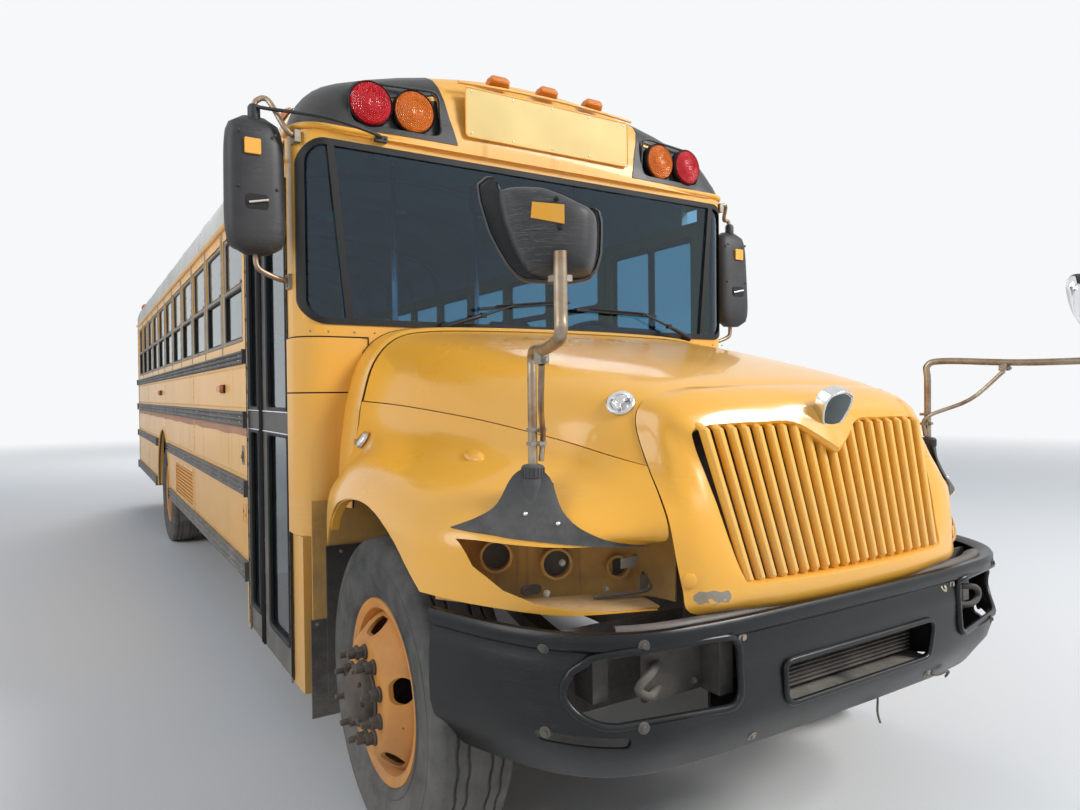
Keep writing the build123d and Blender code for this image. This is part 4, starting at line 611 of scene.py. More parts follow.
FINISHES = {
    "hood yellow": surface(
        (0.90, 0.42, 0.026), 0.26, coat=0.5,
        mottle=((0.86, 0.46, 0.07), 1.3, 0.55), scratch=((0.92, 0.68, 0.32), 5.0, 0.12),
        dust=(DUST, 0.10, 0.75, 1.25, 0.10), grain=(700.0, 0.12)),
    "body yellow": surface(
        (0.84, 0.40, 0.030), 0.36, coat=0.25,
        mottle=((0.76, 0.43, 0.12), 0.9, 0.6), runs=((0.42, 0.24, 0.08), 16.0, 0.5),
        scratch=((0.85, 0.64, 0.34), 4.0, 0.16), dust=(DUST, 0.30, 0.45, 1.7, 0.15),
        grain=(500.0, 0.2)),
    "grille yellow": surface(
        (0.90, 0.45, 0.035), 0.34, coat=0.3,
        mottle=((0.84, 0.49, 0.11), 3.0, 0.5), dust=(DUST, 0.3, 0.9, 1.5, 0.2),
        grain=(500.0, 0.2)),
    "bucket yellow": surface(
        (0.74, 0.38, 0.055), 0.6,
        mottle=((0.46, 0.25, 0.07), 9.0, 0.8), chips=((0.16, 0.10, 0.06), 34.0, 0.6),
        runs=((0.26, 0.15, 0.06), 40.0, 0.6), dust=(DUST, 0.45, 0.7, 1.3, 0.6),
        grain=(260.0, 0.8)),
    "roof white": surface(
        (0.72, 0.72, 0.68), 0.45,
        mottle=((0.50, 0.48, 0.42), 1.6, 0.6), runs=((0.22, 0.19, 0.15), 22.0, 0.6),
        dust=(DUST, 0.3, 2.4, 3.2, 0.4), grain=(400.0, 0.2)),
    "cap black": surface(
        (0.009, 0.010, 0.012), 0.34, coat=0.05, specular=0.35,
        mottle=((0.034, 0.034, 0.036), 3.0, 0.5), scratch=((0.18, 0.18, 0.18), 7.0, 0.25),
        dust=(DUST, 0.12, 2.4, 3.2, 0.5), grain=(500.0, 0.3)),
    "frame black": surface(
        (0.018, 0.018, 0.018), 0.6,
        mottle=((0.06, 0.045, 0.035), 5.0, 0.7), chips=(RUST, 30.0, 0.7),
        dust=(DUST, 0.6, 0.2, 1.4, 0.6), grain=(260.0, 0.8)),
    "cast iron": surface(
        (0.16, 0.16, 0.165), 0.65, metallic=0.5,
        mottle=((0.10, 0.07, 0.05), 8.0, 0.8), dust=(DUST, 0.5, 0.4, 1.4, 0.6),
        grain=(200.0, 1.5)),
    "tank steel": surface(
        (0.30, 0.29, 0.27), 0.55, metallic=0.7,
        mottle=((0.16, 0.11, 0.08), 6.0, 0.7), chips=(RUST, 22.0, 0.8),
        dust=(DUST, 0.7, 0.2, 1.0, 0.7), grain=(240.0, 0.7)),
    "bumper black": surface(
        (0.005, 0.006, 0.008), 0.26, coat=0.06, specular=0.28,
        mottle=((0.016, 0.015, 0.014), 2.2, 0.5), scratch=((0.12, 0.11, 0.10), 6.0, 0.12),
        dust=((0.22, 0.19, 0.16), 0.06, 0.5, 0.95, 0.20), grain=(300.0, 0.25)),
    # The strip along the bumper's top edge: its pale base is a painted highlight, and the scratches
    # and dust on it are real wear.
    "bumper faded": surface(
        (0.060, 0.050, 0.045), 0.40,
        mottle=((0.15, 0.12, 0.105), 5.0, 0.6), scratch=((0.38, 0.35, 0.32), 7.0, 0.35),
        dust=((0.34, 0.30, 0.25), 0.5, 0.5, 1.0, 0.5), grain=(300.0, 0.5)),
    "trim black": surface(
        (0.016, 0.016, 0.018), 0.42,
        mottle=((0.06, 0.055, 0.05), 2.4, 0.6), scratch=((0.35, 0.33, 0.3), 6.0, 0.35),
        dust=(DUST, 0.5, 0.3, 2.0, 0.4), grain=(300.0, 0.4)),
    "faded red": surface(
        (0.36, 0.13, 0.07), 0.5,
        mottle=((0.55, 0.32, 0.16), 4.0, 0.7), dust=(DUST, 0.4, 0.5, 1.7, 0.2),
        grain=(300.0, 0.3)),
    "floor rubber": surface(
        (0.045, 0.045, 0.045), 0.7,
        mottle=((0.10, 0.09, 0.08), 6.0, 0.6), dust=(DUST, 0.4, 0.2, 1.6, 0.5),
        grain=(350.0, 1.0)),
    "seal rubber": surface(
        (0.006, 0.006, 0.007), 0.50, specular=0.30,
        mottle=((0.013, 0.012, 0.012), 5.0, 0.4), dust=(DUST, 0.03, 0.3, 3.0, 0.3),
        grain=(600.0, 0.4)),
    "mud flap": surface(
        (0.018, 0.018, 0.018), 0.7,
        mottle=((0.09, 0.075, 0.06), 4.0, 0.7), runs=((0.25, 0.21, 0.17), 18.0, 0.6),
        dust=(DUST, 0.8, 0.1, 0.9, 0.3), grain=(400.0, 1.0)),
    "sash grey": surface(
        (0.30, 0.255, 0.19), 0.45, metallic=0.3,
        mottle=((0.18, 0.14, 0.10), 5.0, 0.6), chips=((0.10, 0.07, 0.05), 40.0, 0.5),
        dust=(DUST, 0.2, 1.7, 2.6, 0.3), grain=(500.0, 0.3)),
    "seat vinyl": surface(
        (0.030, 0.036, 0.055), 0.46, sheen=0.1,
        mottle=((0.07, 0.075, 0.09), 7.0, 0.5), dust=(DUST, 0.2, 1.0, 2.0, 0.5),
        grain=(900.0, 1.0)),
    "dash plastic": surface(
        (0.035, 0.036, 0.040), 0.55,
        mottle=((0.08, 0.08, 0.08), 5.0, 0.5), dust=(DUST, 0.4, 1.0, 2.2, 0.6),
        grain=(700.0, 1.0)),
    "mirror black": surface(
        (0.014, 0.015, 0.018), 0.38, specular=0.35,
        mottle=((0.040, 0.040, 0.043), 4.0, 0.5), scratch=((0.3, 0.3, 0.3), 10.0, 0.30),
        dust=(DUST, 0.12, 0.9, 3.0, 0.4), grain=(800.0, 0.8)),
    "mirror skirt": surface(
        (0.024, 0.026, 0.030), 0.55, specular=0.35,
        mottle=((0.09, 0.09, 0.09), 5.0, 0.7), scratch=((0.3, 0.3, 0.3), 9.0, 0.3),
        dust=(DUST, 0.35, 0.9, 1.4, 0.6), grain=(700.0, 1.2)),
    "hatch plastic": surface(
        (0.66, 0.66, 0.62), 0.5,
        mottle=((0.5, 0.48, 0.42), 4.0, 0.5), dust=(DUST, 0.4, 2.6, 3.2, 0.5),
        grain=(500.0, 0.5)),
    "stop red": surface(
        (0.50, 0.022, 0.024), 0.34,
        mottle=((0.42, 0.06, 0.05), 3.0, 0.5), scratch=((0.7, 0.5, 0.5), 5.0, 0.3),
        dust=(DUST, 0.25, 1.0, 2.2, 0.2), grain=(500.0, 0.2)),
    "sign border": surface(
        (0.80, 0.80, 0.78), 0.36,
        mottle=((0.62, 0.6, 0.55), 4.0, 0.5), dust=(DUST, 0.25, 1.0, 2.2, 0.2),
        grain=(500.0, 0.2)),
    "tire rubber": surface(
        (0.040, 0.040, 0.040), 0.78, specular=0.25,
        mottle=((0.13, 0.125, 0.118), 7.0, 0.85), runs=((0.2, 0.18, 0.16), 30.0, 0.35),
        dust=((0.34, 0.31, 0.27), 0.55, 0.0, 0.9, 0.3), grain=(420.0, 1.6), bump=0.0007),
    "rim paint": surface(
        (0.66, 0.27, 0.028), 0.5,
        mottle=((0.50, 0.20, 0.05), 9.0, 0.75), chips=((0.13, 0.055, 0.025), 26.0, 1.0),
        runs=((0.20, 0.09, 0.04), 40.0, 0.5), dust=(DUST, 0.35, 0.1, 0.9, 0.3),
        grain=(240.0, 0.9)),
    "hub black": surface(
        (0.022, 0.020, 0.019), 0.5, metallic=0.3,
        mottle=((0.10, 0.055, 0.035), 12.0, 0.7), chips=(RUST, 50.0, 0.8),
        dust=(DUST, 0.4, 0.1, 0.9, 0.3), grain=(240.0, 1.0)),
    "bright metal": surface(
        (0.74, 0.75, 0.77), 0.14, metallic=1.0,
        mottle=((0.45, 0.42, 0.38), 9.0, 0.5), scratch=((0.3, 0.28, 0.25), 9.0, 0.5),
        grain=(500.0, 0.2)),
    "tube metal": surface(
        (0.42, 0.35, 0.26), 0.30, metallic=0.9,
        mottle=((0.20, 0.115, 0.06), 11.0, 1.0), chips=((0.12, 0.06, 0.035), 50.0, 0.8),
        grain=(300.0, 0.6)),
    "dull zinc": surface(
        (0.32, 0.30, 0.26), 0.5, metallic=0.8,
        mottle=((0.28, 0.22, 0.16), 14.0, 0.8), grain=(300.0, 0.8)),
    "amber square": surface(
        (0.95, 0.40, 0.008), 0.4,
        mottle=((0.80, 0.50, 0.12), 12.0, 0.5), dust=(DUST, 0.15, 0.9, 3.0, 0.2),
        grain=(1200.0, 0.8)),
    "shield face": surface(
        (0.030, 0.045, 0.052), 0.34, metallic=0.2,
        mottle=((0.10, 0.12, 0.12), 18.0, 0.5), grain=(500.0, 0.4)),
    "wiper black": surface(
        (0.006, 0.006, 0.007), 0.42, specular=0.35,
        mottle=((0.022, 0.021, 0.020), 9.0, 0.5), grain=(300.0, 0.6)),
    "headliner": surface(
        (0.55, 0.56, 0.54), 0.6,
        mottle=((0.42, 0.42, 0.40), 2.0, 0.5), dust=(DUST, 0.2, 1.0, 2.0, 0.2),
        grain=(400.0, 0.4)),
    # The windscreen's strong blue is partly the glass's own tint and partly a painted reflection of
    # the blue sky.
    "screen glass": glass((0.16, 0.38, 0.58), dust=0.12),
    "side glass": glass((0.30, 0.45, 0.50), dust=0.22),
    "red lens": glass((0.74, 0.006, 0.018), 0.10, 0.35, 0.05, lens=95.0),
    "amber lens": glass((0.90, 0.20, 0.008), 0.10, 0.35, 0.05, lens=95.0),
    "marker amber": glass((0.90, 0.26, 0.012), 0.12, 0.3, 0.05, lens=160.0),
    "clear lens": glass((0.80, 0.84, 0.86), 0.05, 0.8, 0.15, lens=60.0),
    "sign yellow": surface(
        (0.70, 0.50, 0.12), 0.4,
        mottle=((0.62, 0.47, 0.18), 5.0, 0.4), dust=(DUST, 0.1, 2.4, 3.2, 0.2),
        grain=(900.0, 0.5)),
    "mirror silver": surface(
        (0.80, 0.82, 0.84), 0.04, metallic=1.0,
        mottle=((0.60, 0.60, 0.60), 6.0, 0.3), dust=(DUST, 0.12, 0.9, 3.0, 0.2)),
}

# The frame's nodes that take each finish
NODE_FINISHES = {
    "frame black": (
        "chassis_frame front_axle rear_axle leaf_springs driveshaft knuckle_left "
        "knuckle_right floor_beams"),
    "cast iron": "engine",
    "tank steel": "fuel_tank exhaust",
    "bumper black": "front_bumper rear_bumper",
    "floor rubber": "floor",
    "body yellow": (
        "side_wall_right side_wall_left front_cap rear_wall cowl windshield_frame sign_panels "
        "emergency_door"),
    "roof white": "roof",
    "seal rubber": "windshield_gasket",
    "screen glass": "windshield",
    "sash grey": "window_frames",
    "side glass": (
        "window_glass rear_glass door_glass_front door_glass_rear emergency_glass"),
    "trim black": "rub_rails door_leaf_front door_leaf_rear",
    "red lens": "lamps_red",
    "amber lens": "lamps_amber",
    "mud flap": "mudflaps",
    "seat vinyl": "seats",
    "dash plastic": "dashboard",
    "mirror black": "road_mirrors fender_mirrors",
    "hood yellow": "hood_shell",
    "grille yellow": "grille",
    "bucket yellow": "headlamp_pods",
    "clear lens": "headlamp",
    "hatch plastic": "roof_hatch_front roof_hatch_rear",
    "stop red": "stop_arm",
    "tire rubber": "tire_front_left tire_front_right tire_rear_left tire_rear_right",
    "rim paint": (
        "wheel_front_left wheel_front_right wheel_rear_left wheel_rear_right"),
}


def coating(name):
    """The material of this name, made the first time that it is asked for."""
    return bpy.data.materials.get(name) or FINISHES[name](name)


# Hood

# The hood's form: rows from the cowl to the nose, as (side, ahead of the cowl, height)
HOOD_ROWS = (
    ((0, .15, 1.800), (.35, .15, 1.797), (.70, .15, 1.785), (.86, .15, 1.750), (.955, .15, 1.65),
     (1.005, .15, 1.493), (1.02, .15, 1.40), (1.045, .15, 1.30), (1.09, .15, 1.215),
     (1.145, .17, 1.14), (1.16, .17, 1.05), (1.16, .17, .93)),
    ((0, .50, 1.745), (.33, .50, 1.742), (.65, .50, 1.727), (.81, .50, 1.69), (.91, .50, 1.60),
     (.965, .50, 1.475), (1.00, .50, 1.395), (1.07, .50, 1.325), (1.16, .50, 1.255),
     (1.205, .50, 1.155), (1.21, .50, 1.05), (1.21, .50, .93)),
    ((0, .90, 1.672), (.30, .90, 1.668), (.60, .90, 1.648), (.74, .90, 1.605), (.83, .90, 1.53),
     (.885, .90, 1.436), (.93, .90, 1.365), (1.03, .90, 1.305), (1.15, .90, 1.24),
     (1.20, .90, 1.148), (1.205, .90, 1.05), (1.205, .90, .95)),
    ((0, 1.15, 1.622), (.28, 1.15, 1.618), (.56, 1.15, 1.597), (.69, 1.15, 1.555),
     (.77, 1.15, 1.485), (.825, 1.15, 1.400), (.875, 1.15, 1.335), (.98, 1.15, 1.28),
     (1.10, 1.15, 1.215), (1.17, 1.16, 1.138), (1.185, 1.17, 1.05), (1.18, 1.17, .965)),
    ((0, 1.30, 1.585), (.27, 1.30, 1.581), (.53, 1.30, 1.562), (.65, 1.30, 1.525),
     (.715, 1.30, 1.46), (.77, 1.30, 1.370), (.82, 1.30, 1.31), (.91, 1.31, 1.255),
     (1.02, 1.32, 1.19), (1.095, 1.33, 1.125), (1.10, 1.34, 1.04), (1.09, 1.34, .955)),
    ((0, 1.38, 1.560), (.26, 1.38, 1.557), (.50, 1.38, 1.541), (.605, 1.38, 1.508),
     (.665, 1.39, 1.44), (.705, 1.42, 1.335), (.745, 1.435, 1.27), (.81, 1.45, 1.21),
     (.89, 1.465, 1.155), (.93, 1.475, 1.112), (.93, 1.485, 1.02), (.92, 1.485, .935)),
    ((0, 1.43, 1.534), (.25, 1.43, 1.532), (.475, 1.425, 1.523), (.590, 1.425, 1.495),
     (.630, 1.430, 1.43), (.642, 1.497, 1.309), (.652, 1.555, 1.235), (.660, 1.600, 1.165),
     (.655, 1.590, 1.125), (.66, 1.53, 1.100), (.67, 1.56, 1.02), (.67, 1.565, .928)),
)
SEAM = 5  # the column where the crown meets the fenders
ROW_STEPS = 5
COLUMN_STEPS = 7
ARCH_R = 0.655


def hood_rows():
    """The hood's right half as a smooth grid of points, true to the bus's frame."""
    rows = [[Vector((x, COWL_Y - ahead, z)) for x, ahead, z in row] for row in HOOD_ROWS]
    return flow_grid(rows, ROW_STEPS, COLUMN_STEPS)


def mirrored(rows, side):
    """A sheet on the side that the sign gives."""
    return [[Vector((side * p.x, p.y, p.z)) for p in row] for row in rows]


def both_halves(rows):
    """A half sheet whose rows start on the middle line, with its mirror image before it."""
    return [[*reversed(other[1:]), *row] for other, row in zip(mirrored(rows, -1), rows)]


def pulled(rows, column, toward, gap):
    """Draw one edge column of a sheet back from its seam."""
    for row in rows:
        step = row[toward] - row[column]
        row[column] = row[column] + step.normalized() * gap
    return rows


def drop_last(rows, gap):
    """Draw the sheet's front edge back from the nose seam."""
    for j in range(len(rows[-1])):
        step = rows[-2][j] - rows[-1][j]
        if step.length > gap:
            rows[-1][j] = rows[-1][j] + step.normalized() * gap
    return rows


def build_hood(sizes):
    """The hood's crown and fenders, their lips and the liner under them."""
    gap, skin = sizes.seam_gap, sizes.panel_skin
    grid = hood_rows()
    cut = SEAM * ROW_STEPS
    half = [[Vector(p) for p in row[: cut + 1]] for row in grid]
    pulled(half, -1, -2, gap)
    drop_last(half, gap)
    crown = Form("hood yellow")
    crown.shell(both_halves(half), skin)
    crown.piece("hood_crown", "hood", "bus_yellow", replaces=("hood_shell",))
    for name, side in SIDES:
        rows = mirrored([row[cut:] for row in grid], side)
        pulled(rows, 0, 1, gap)
        drop_last(rows, gap)
        fender = Form("hood yellow")
        fender.shell(rows, side * -skin)
        piece = fender.piece(f"fender_{name}", "hood", "bus_yellow")
        arch = Form("frame black")
        arch.turned([(-0.9, ARCH_R), (0.9, ARCH_R)], (side * 1.3, FRONT_AXLE_Y, AXLE_Z),
                    (1, 0, 0), 72)
        carve(piece, arch)
        lamp = Form("bucket yellow")
        lamp.prism(flipped(LAMP_OPENING, side), at_y(COWL_Y - 1.02), 0.8)
        carve(piece, lamp)
        fender_edge(name, side)
    liner = Form("frame black")
    drop = .016
    liner.shell([
        [p - Vector((drop if p.x > .5 else -drop if p.x < -.5 else 0, 0, drop)) for p in row]
        for row in both_halves([row[: cut + 8] for row in grid[:-1]])], 0.003)
    liner.piece("hood_liner", "hood", "frame_black")


LAMP_OPENING = (
    (1.135, 1.128), (1.112, 1.060), (1.055, 1.000), (.985, .965), (.905, .945), (.80, .934),
    (.60, .930), (.60, 1.100), (.66, 1.104), (.72, 1.103), (.80, 1.106), (.88, 1.110),
    (.96, 1.114), (1.04, 1.121), (1.10, 1.128),
)


def fender_edge(name, side):
    """The rolled lip round the wheel opening."""
    form = Form("hood yellow")
    line = []
    for i in range(41):
        angle = pi - radians(-8 + 140 * i / 40)
        y, z = FRONT_AXLE_Y + ARCH_R * cos(angle), AXLE_Z + ARCH_R * sin(angle)
        ahead = COWL_Y - y
        if 0.16 < ahead < 1.15 and z >= 0.955:
            line.append(Vector((side * edge_x(ahead), y, z)))
    section = [(-0.005, 0.002), (0.006, 0.002), (0.006, -0.030), (-0.005, -0.030)]
    form.strip(line, [(u, v * side) for u, v in section], (0, 0, 1))
    form.piece(f"fender_lip_{name}", "hood", "bus_yellow", bevel=0.002)


def edge_x(ahead):
    """How far out the fender's side stands, at a distance ahead of the cowl."""
    table = ((.15, 1.152), (.30, 1.182), (.50, 1.204), (.90, 1.202), (1.00, 1.198),
             (1.10, 1.188), (1.17, 1.178))
    for (a, x), (b, other) in zip(table, table[1:]):
        if ahead <= b:
            return x + (other - x) * max(0.0, (ahead - a) / (b - a))
    return table[-1][1]


# The nose panel: its seam with the hood, then its brow, lip and rolled edge at the grille
NOSE_SEAM = (
    (0, 1.43, 1.534), (.12, 1.43, 1.5335), (.25, 1.43, 1.532), (.37, 1.428, 1.529),
    (.475, 1.425, 1.523), (.590, 1.425, 1.495), (.630, 1.430, 1.43), (.642, 1.497, 1.309),
    (.652, 1.555, 1.235), (.660, 1.600, 1.165), (.652, 1.617, 1.07), (.640, 1.628, .99),
    (.625, 1.636, .933), (.50, 1.646, .915), (.34, 1.653, .902), (.17, 1.656, .895),
    (0, 1.657, .893),
)
NOSE_BROW = (
    (0, 1.50, 1.524), (.12, 1.498, 1.523), (.25, 1.495, 1.521), (.37, 1.49, 1.517),
    (.465, 1.485, 1.508), (.572, 1.482, 1.478), (.602, 1.500, 1.41), (.604, 1.557, 1.300),
    (.604, 1.604, 1.222), (.600, 1.632, 1.15), (.588, 1.650, 1.06), (.575, 1.660, .99),
    (.555, 1.668, .945), (.46, 1.675, .932), (.32, 1.681, .920), (.16, 1.684, .914),
    (0, 1.685, .912),
)
NOSE_FACE = (
    (0, 1.585, 1.478), (.07, 1.580, 1.476), (.19, 1.560, 1.478), (.32, 1.553, 1.475),
    (.44, 1.545, 1.467), (.555, 1.532, 1.446), (.572, 1.540, 1.385), (.562, 1.588, 1.288),
    (.550, 1.622, 1.208), (.536, 1.645, 1.135), (.520, 1.665, 1.055), (.505, 1.676, 1.00),
    (.485, 1.686, .965), (.41, 1.692, .955), (.28, 1.697, .948), (.14, 1.700, .944),
    (0, 1.701, .943),
)
GRILLE_EDGE = (
    (0, 1.636, 1.340), (.050, 1.628, 1.368), (.150, 1.592, 1.425), (.29, 1.582, 1.428),
    (.42, 1.572, 1.427), (.530, 1.562, 1.415), (.540, 1.566, 1.372), (.524, 1.596, 1.28),
    (.510, 1.622, 1.205), (.498, 1.643, 1.135), (.482, 1.664, 1.06), (.470, 1.680, 1.015),
    (.452, 1.689, .992), (.38, 1.697, .986), (.26, 1.703, .981), (.13, 1.707, .978),
    (0, 1.708, .977),
)


def nose_line(row, side=1):
    """A row of the nose's points, true to the bus's frame."""
    return [Vector((side * x, COWL_Y - ahead, z)) for x, ahead, z in row]


# Where the camera sees the hood's latch disc, marker and latch and the nose's plug
DISC_SEEN, MARKER_SEEN, LATCH_SEEN = (620.5, 403.5), (474.6, 457.0), (366.5, 442.0)
NOSE_PLUG_SEEN = (688.8, 580.6)

# A patch of bare metal on the nose: its upper and lower edges in the camera's view
NOSE_SCAR = (
    ((693, 595), (699, 591), (706, 592), (713, 590), (720, 592), (727, 590), (730, 594)),
    ((693, 600), (699, 604), (706, 602), (713, 605), (720, 601), (727, 602), (730, 597)),
)


def build_nose(sizes):
    """The panel round the grille, with its bare patch and plugs."""
    gap, skin = sizes.seam_gap, sizes.panel_skin
    rolled = [(x * 0.985, ahead - 0.040, z + (0.004 if z < 1.0 else -0.004))
              for x, ahead, z in GRILLE_EDGE]
    rows = [nose_line(row) for row in (NOSE_SEAM, NOSE_BROW, NOSE_FACE, GRILLE_EDGE, rolled)]
    drawn = [flow(row, 4) for row in rows]
    for near, far in zip(drawn[0], drawn[1]):
        near += (far - near).normalized() * gap
    columns = []
    for column in zip(*drawn):
        points = flow(column[:4], 5)
        points += flow(column[2:5], 4)[5:]
        columns.append(points)
    half = [list(row) for row in zip(*columns)]
    full = [
        [Vector((-p.x, p.y, p.z)) for p in row] + list(reversed(row))[1:]
        for row in half
    ]
    panel = Form("hood yellow")
    panel.shell(full, skin)
    panel.piece("nose_panel", "hood", "bus_yellow")
    find = seen_on(mirrored(half, -1))
    scars = Form("dull zinc")
    rows = []
    for t in (0, .5, 1):
        row = []
        for (u, high), (_, low) in zip(*NOSE_SCAR):
            place, normal = find(u, high + (low - high) * t)
            row.append(place + normal * (skin + .0007))
        rows.append(row)
    scars.shell(rows, skin + .0018)
    scars.piece("nose_scar", "hood", "bus_yellow")
    plugs = Form("hood yellow")
    place, normal = find(*NOSE_PLUG_SEEN)
    head = [(-.005, .021), (skin + .003, .021), (skin + .006, .014), (skin + .0065, .004)]
    for side in (1, -1):
        mirror = Vector((side, 1, 1))
        plugs.turned(head, place * mirror, normal * mirror, 28)
    plugs.piece("nose_plugs", "hood", "bus_yellow", bevel=0.001)
    shadow = Form("frame black")
    shadow.prism([(-.55, 1.46), (.55, 1.46), (.47, .965), (-.47, .965)],
                 lambda u, v, w: (u, COWL_Y - 1.44 - (1.46 - v) * 0.2 + w, v), 0.01)
    shadow.piece("grille_shadow", "hood", "frame_black")
    build_slats(sizes)
    build_shield()


# Across a slat, as (part of its width, outward)
SLAT_SECTION = (
    (-0.42, -0.013), (-0.45, -0.004), (-0.40, 0.006), (-0.28, 0.0115), (-0.12, 0.0125),
    (0.08, 0.0095), (0.25, 0.002), (0.36, -0.008), (0.33, -0.014),
)


def build_slats(sizes):
    """The grille's slats across the nose."""
    count = sizes.slat_count
    form = Form("grille yellow")
    for i in range(count):
        t = (i + 0.5) / count * 2 - 1
        top = Vector((t * 0.535, COWL_Y - 1.575, 1.440))
        low = Vector((t * 0.458, COWL_Y - 1.690, 0.972))
        if abs(t) < 0.24:
            drop = 0.080 * (1 - abs(t) / 0.24)
            top = top + (low - top) * (drop / 0.468)
        lean = (low - top).normalized()
        out = Vector((1, 0, 0)).cross(lean).normalized()
        if out.y > 0:
            out = -out
        rings = []
        for k in range(17):
            s = k / 16
            center = top + (low - top) * s
            swell = min(1, sin(pi * s) * 5.5) ** 0.6 if 0 < s < 1 else 0.0
            bulge = 0.012 * swell - 0.020 * (1 - swell)
            width = (0.0470 - 0.0062 * s) * 20 / count
            rings.append([
                center + Vector((1, 0, 0)) * u * width + out * (v * 0.9 + bulge - 0.010)
                for u, v in SLAT_SECTION
            ])
        form.rings(rings)
    form.piece("grille_slats", "hood", "bus_yellow", bevel=0.0015, replaces=("grille",))


SHIELD = (
    (0, .076), (.030, .070), (.056, .060), (.066, .040), (.064, .006), (.052, -.028),
    (.030, -.056), (0, -.078),
)


def shield_place(scale, depth):
    """Placement for outlines on the shield's bowed and leaning face."""
    center = Vector((0, COWL_Y - 1.628, 1.452))
    lean = radians(24)

    def place(u, v, w):
        bow = -0.10 * (u * scale) ** 2 / 0.07
        return center + Vector((
            u * scale,
            -(w + depth + bow) * cos(lean) - v * scale * sin(lean),
            v * scale * cos(lean) - (w + depth) * sin(lean),
        ))

    return place


def build_shield():
    """The blank bright-rimmed shield over the grille."""
    outline = [*SHIELD, *flipped(reversed(SHIELD[1:-1]), -1)]
    form = Form("bright metal")
    form.stack(outline, shield_place(1.0, 0.0),
               ((1.0, -0.030), (1.0, 0.004), (0.97, 0.009), (0.90, 0.010), (0.86, 0.006)))
    form.use("shield face").stack(outline, shield_place(0.84, 0.0045),
                                  ((1.0, -0.001), (0.99, 0.0022), (0.5, 0.0040), (0.1, 0.0042)))
    form.piece("nose_shield", "hood", "bus_yellow", bevel=0.0006)


def on_hood(side, u, v):
    """Place and normal on a side of the hood where the camera sees the right side at (u, v)."""
    place, normal = seen_on_fender()(u, v)
    mirror = Vector((-side, 1, 1))
    return place * mirror, (normal * mirror).normalized()


def build_hood_fittings(sizes):
    """Latch discs, clearance markers, plugs and the tabs under the nose."""
    discs = Form("bright metal")
    for side in (-1, 1):
        center, normal = on_hood(side, *DISC_SEEN)
        center = center + normal * .002
        discs.use("bright metal").turned(
            [(-.006, .043), (.004, .043), (.008, .039), (.006, .030), (.002, .027)],
            center, normal, 40)
        discs.turned([(0, .017), (.016, .016), (.019, .012)], center, normal, 24)
        across = normal.orthogonal().normalized()
        up = normal.cross(across)
        for k in range(3):
            angle = radians(90 + 120 * k)
            out = across * cos(angle) + up * sin(angle)
            flat = out.cross(normal)
            lobe = [center + out * (.008 + .018 * t) + flat * w for t, w in
                    ((0, -.007), (1, -.006), (1.2, 0), (1, .006), (0, .007))]
            discs.rings([[p + normal * .004 for p in lobe], [p + normal * .017 for p in lobe]])
    discs.piece("hood_latch_discs", "hood", "bus_yellow", bevel=0.0012)
    plugs = Form("hood yellow")
    for side in (-1, 1):
        center, normal = on_hood(side, *MARKER_SEEN)
        along = normal.cross(Vector((side, 0, 0))).normalized()
        rise = normal.cross(along)
        plugs.stack(
            rounded(2, 2, .96, 9),
            lambda u, v, w: center + along * u * .052 + rise * v * .024 + normal * w,
            ((1.1, -.006), (1.06, .002), (1, .008), (.8, .014), (.4, .017)))
    plugs.piece("hood_plugs", "hood", "bus_yellow", bevel=0.001)
    latches = Form("bright metal")
    for side in (-1, 1):
        center, normal = on_hood(side, *LATCH_SEEN)
        latches.use("bright metal").turned(
            [(-.010, .028), (.008, .028), (.014, .037), (.026, .035), (.032, .023)],
            center, normal, 28)
        latches.slab(center + Vector((side * .004, .060, -.004)), (.020, .10, .026))
        latches.use("seal rubber").turned([(.0265, .010), (.031, .008)], center, normal, 20)
    latches.piece("hood_side_latches", "hood", "bus_yellow", bevel=0.003)


# Headlamp buckets


def bucket_rows(side, depth):
    """The tray behind a headlamp opening: follows the fender's sweep, set back."""
    rows = []
    for x, ahead in ((1.15, 1.20), (1.10, 1.275), (1.03, 1.335), (.95, 1.385), (.85, 1.43),
                     (.75, 1.465), (.66, 1.495), (.615, 1.520), (.595, 1.570), (.588, 1.615)):
        rows.append([
            Vector((side * (x - depth * .35), COWL_Y - ahead + depth, z)) for z in
            (1.135, 1.10, 1.06, 1.02, .98, .945, .915)
        ])
    return rows


# The holes in a bucket's back, as (side, height, radius, ahead of the cowl)
BUCKET_HOLES = (
    (1.000, 1.058, .039, 1.26), (.848, 1.033, .038, 1.34), (.668, 1.010, .027, 1.39),
)


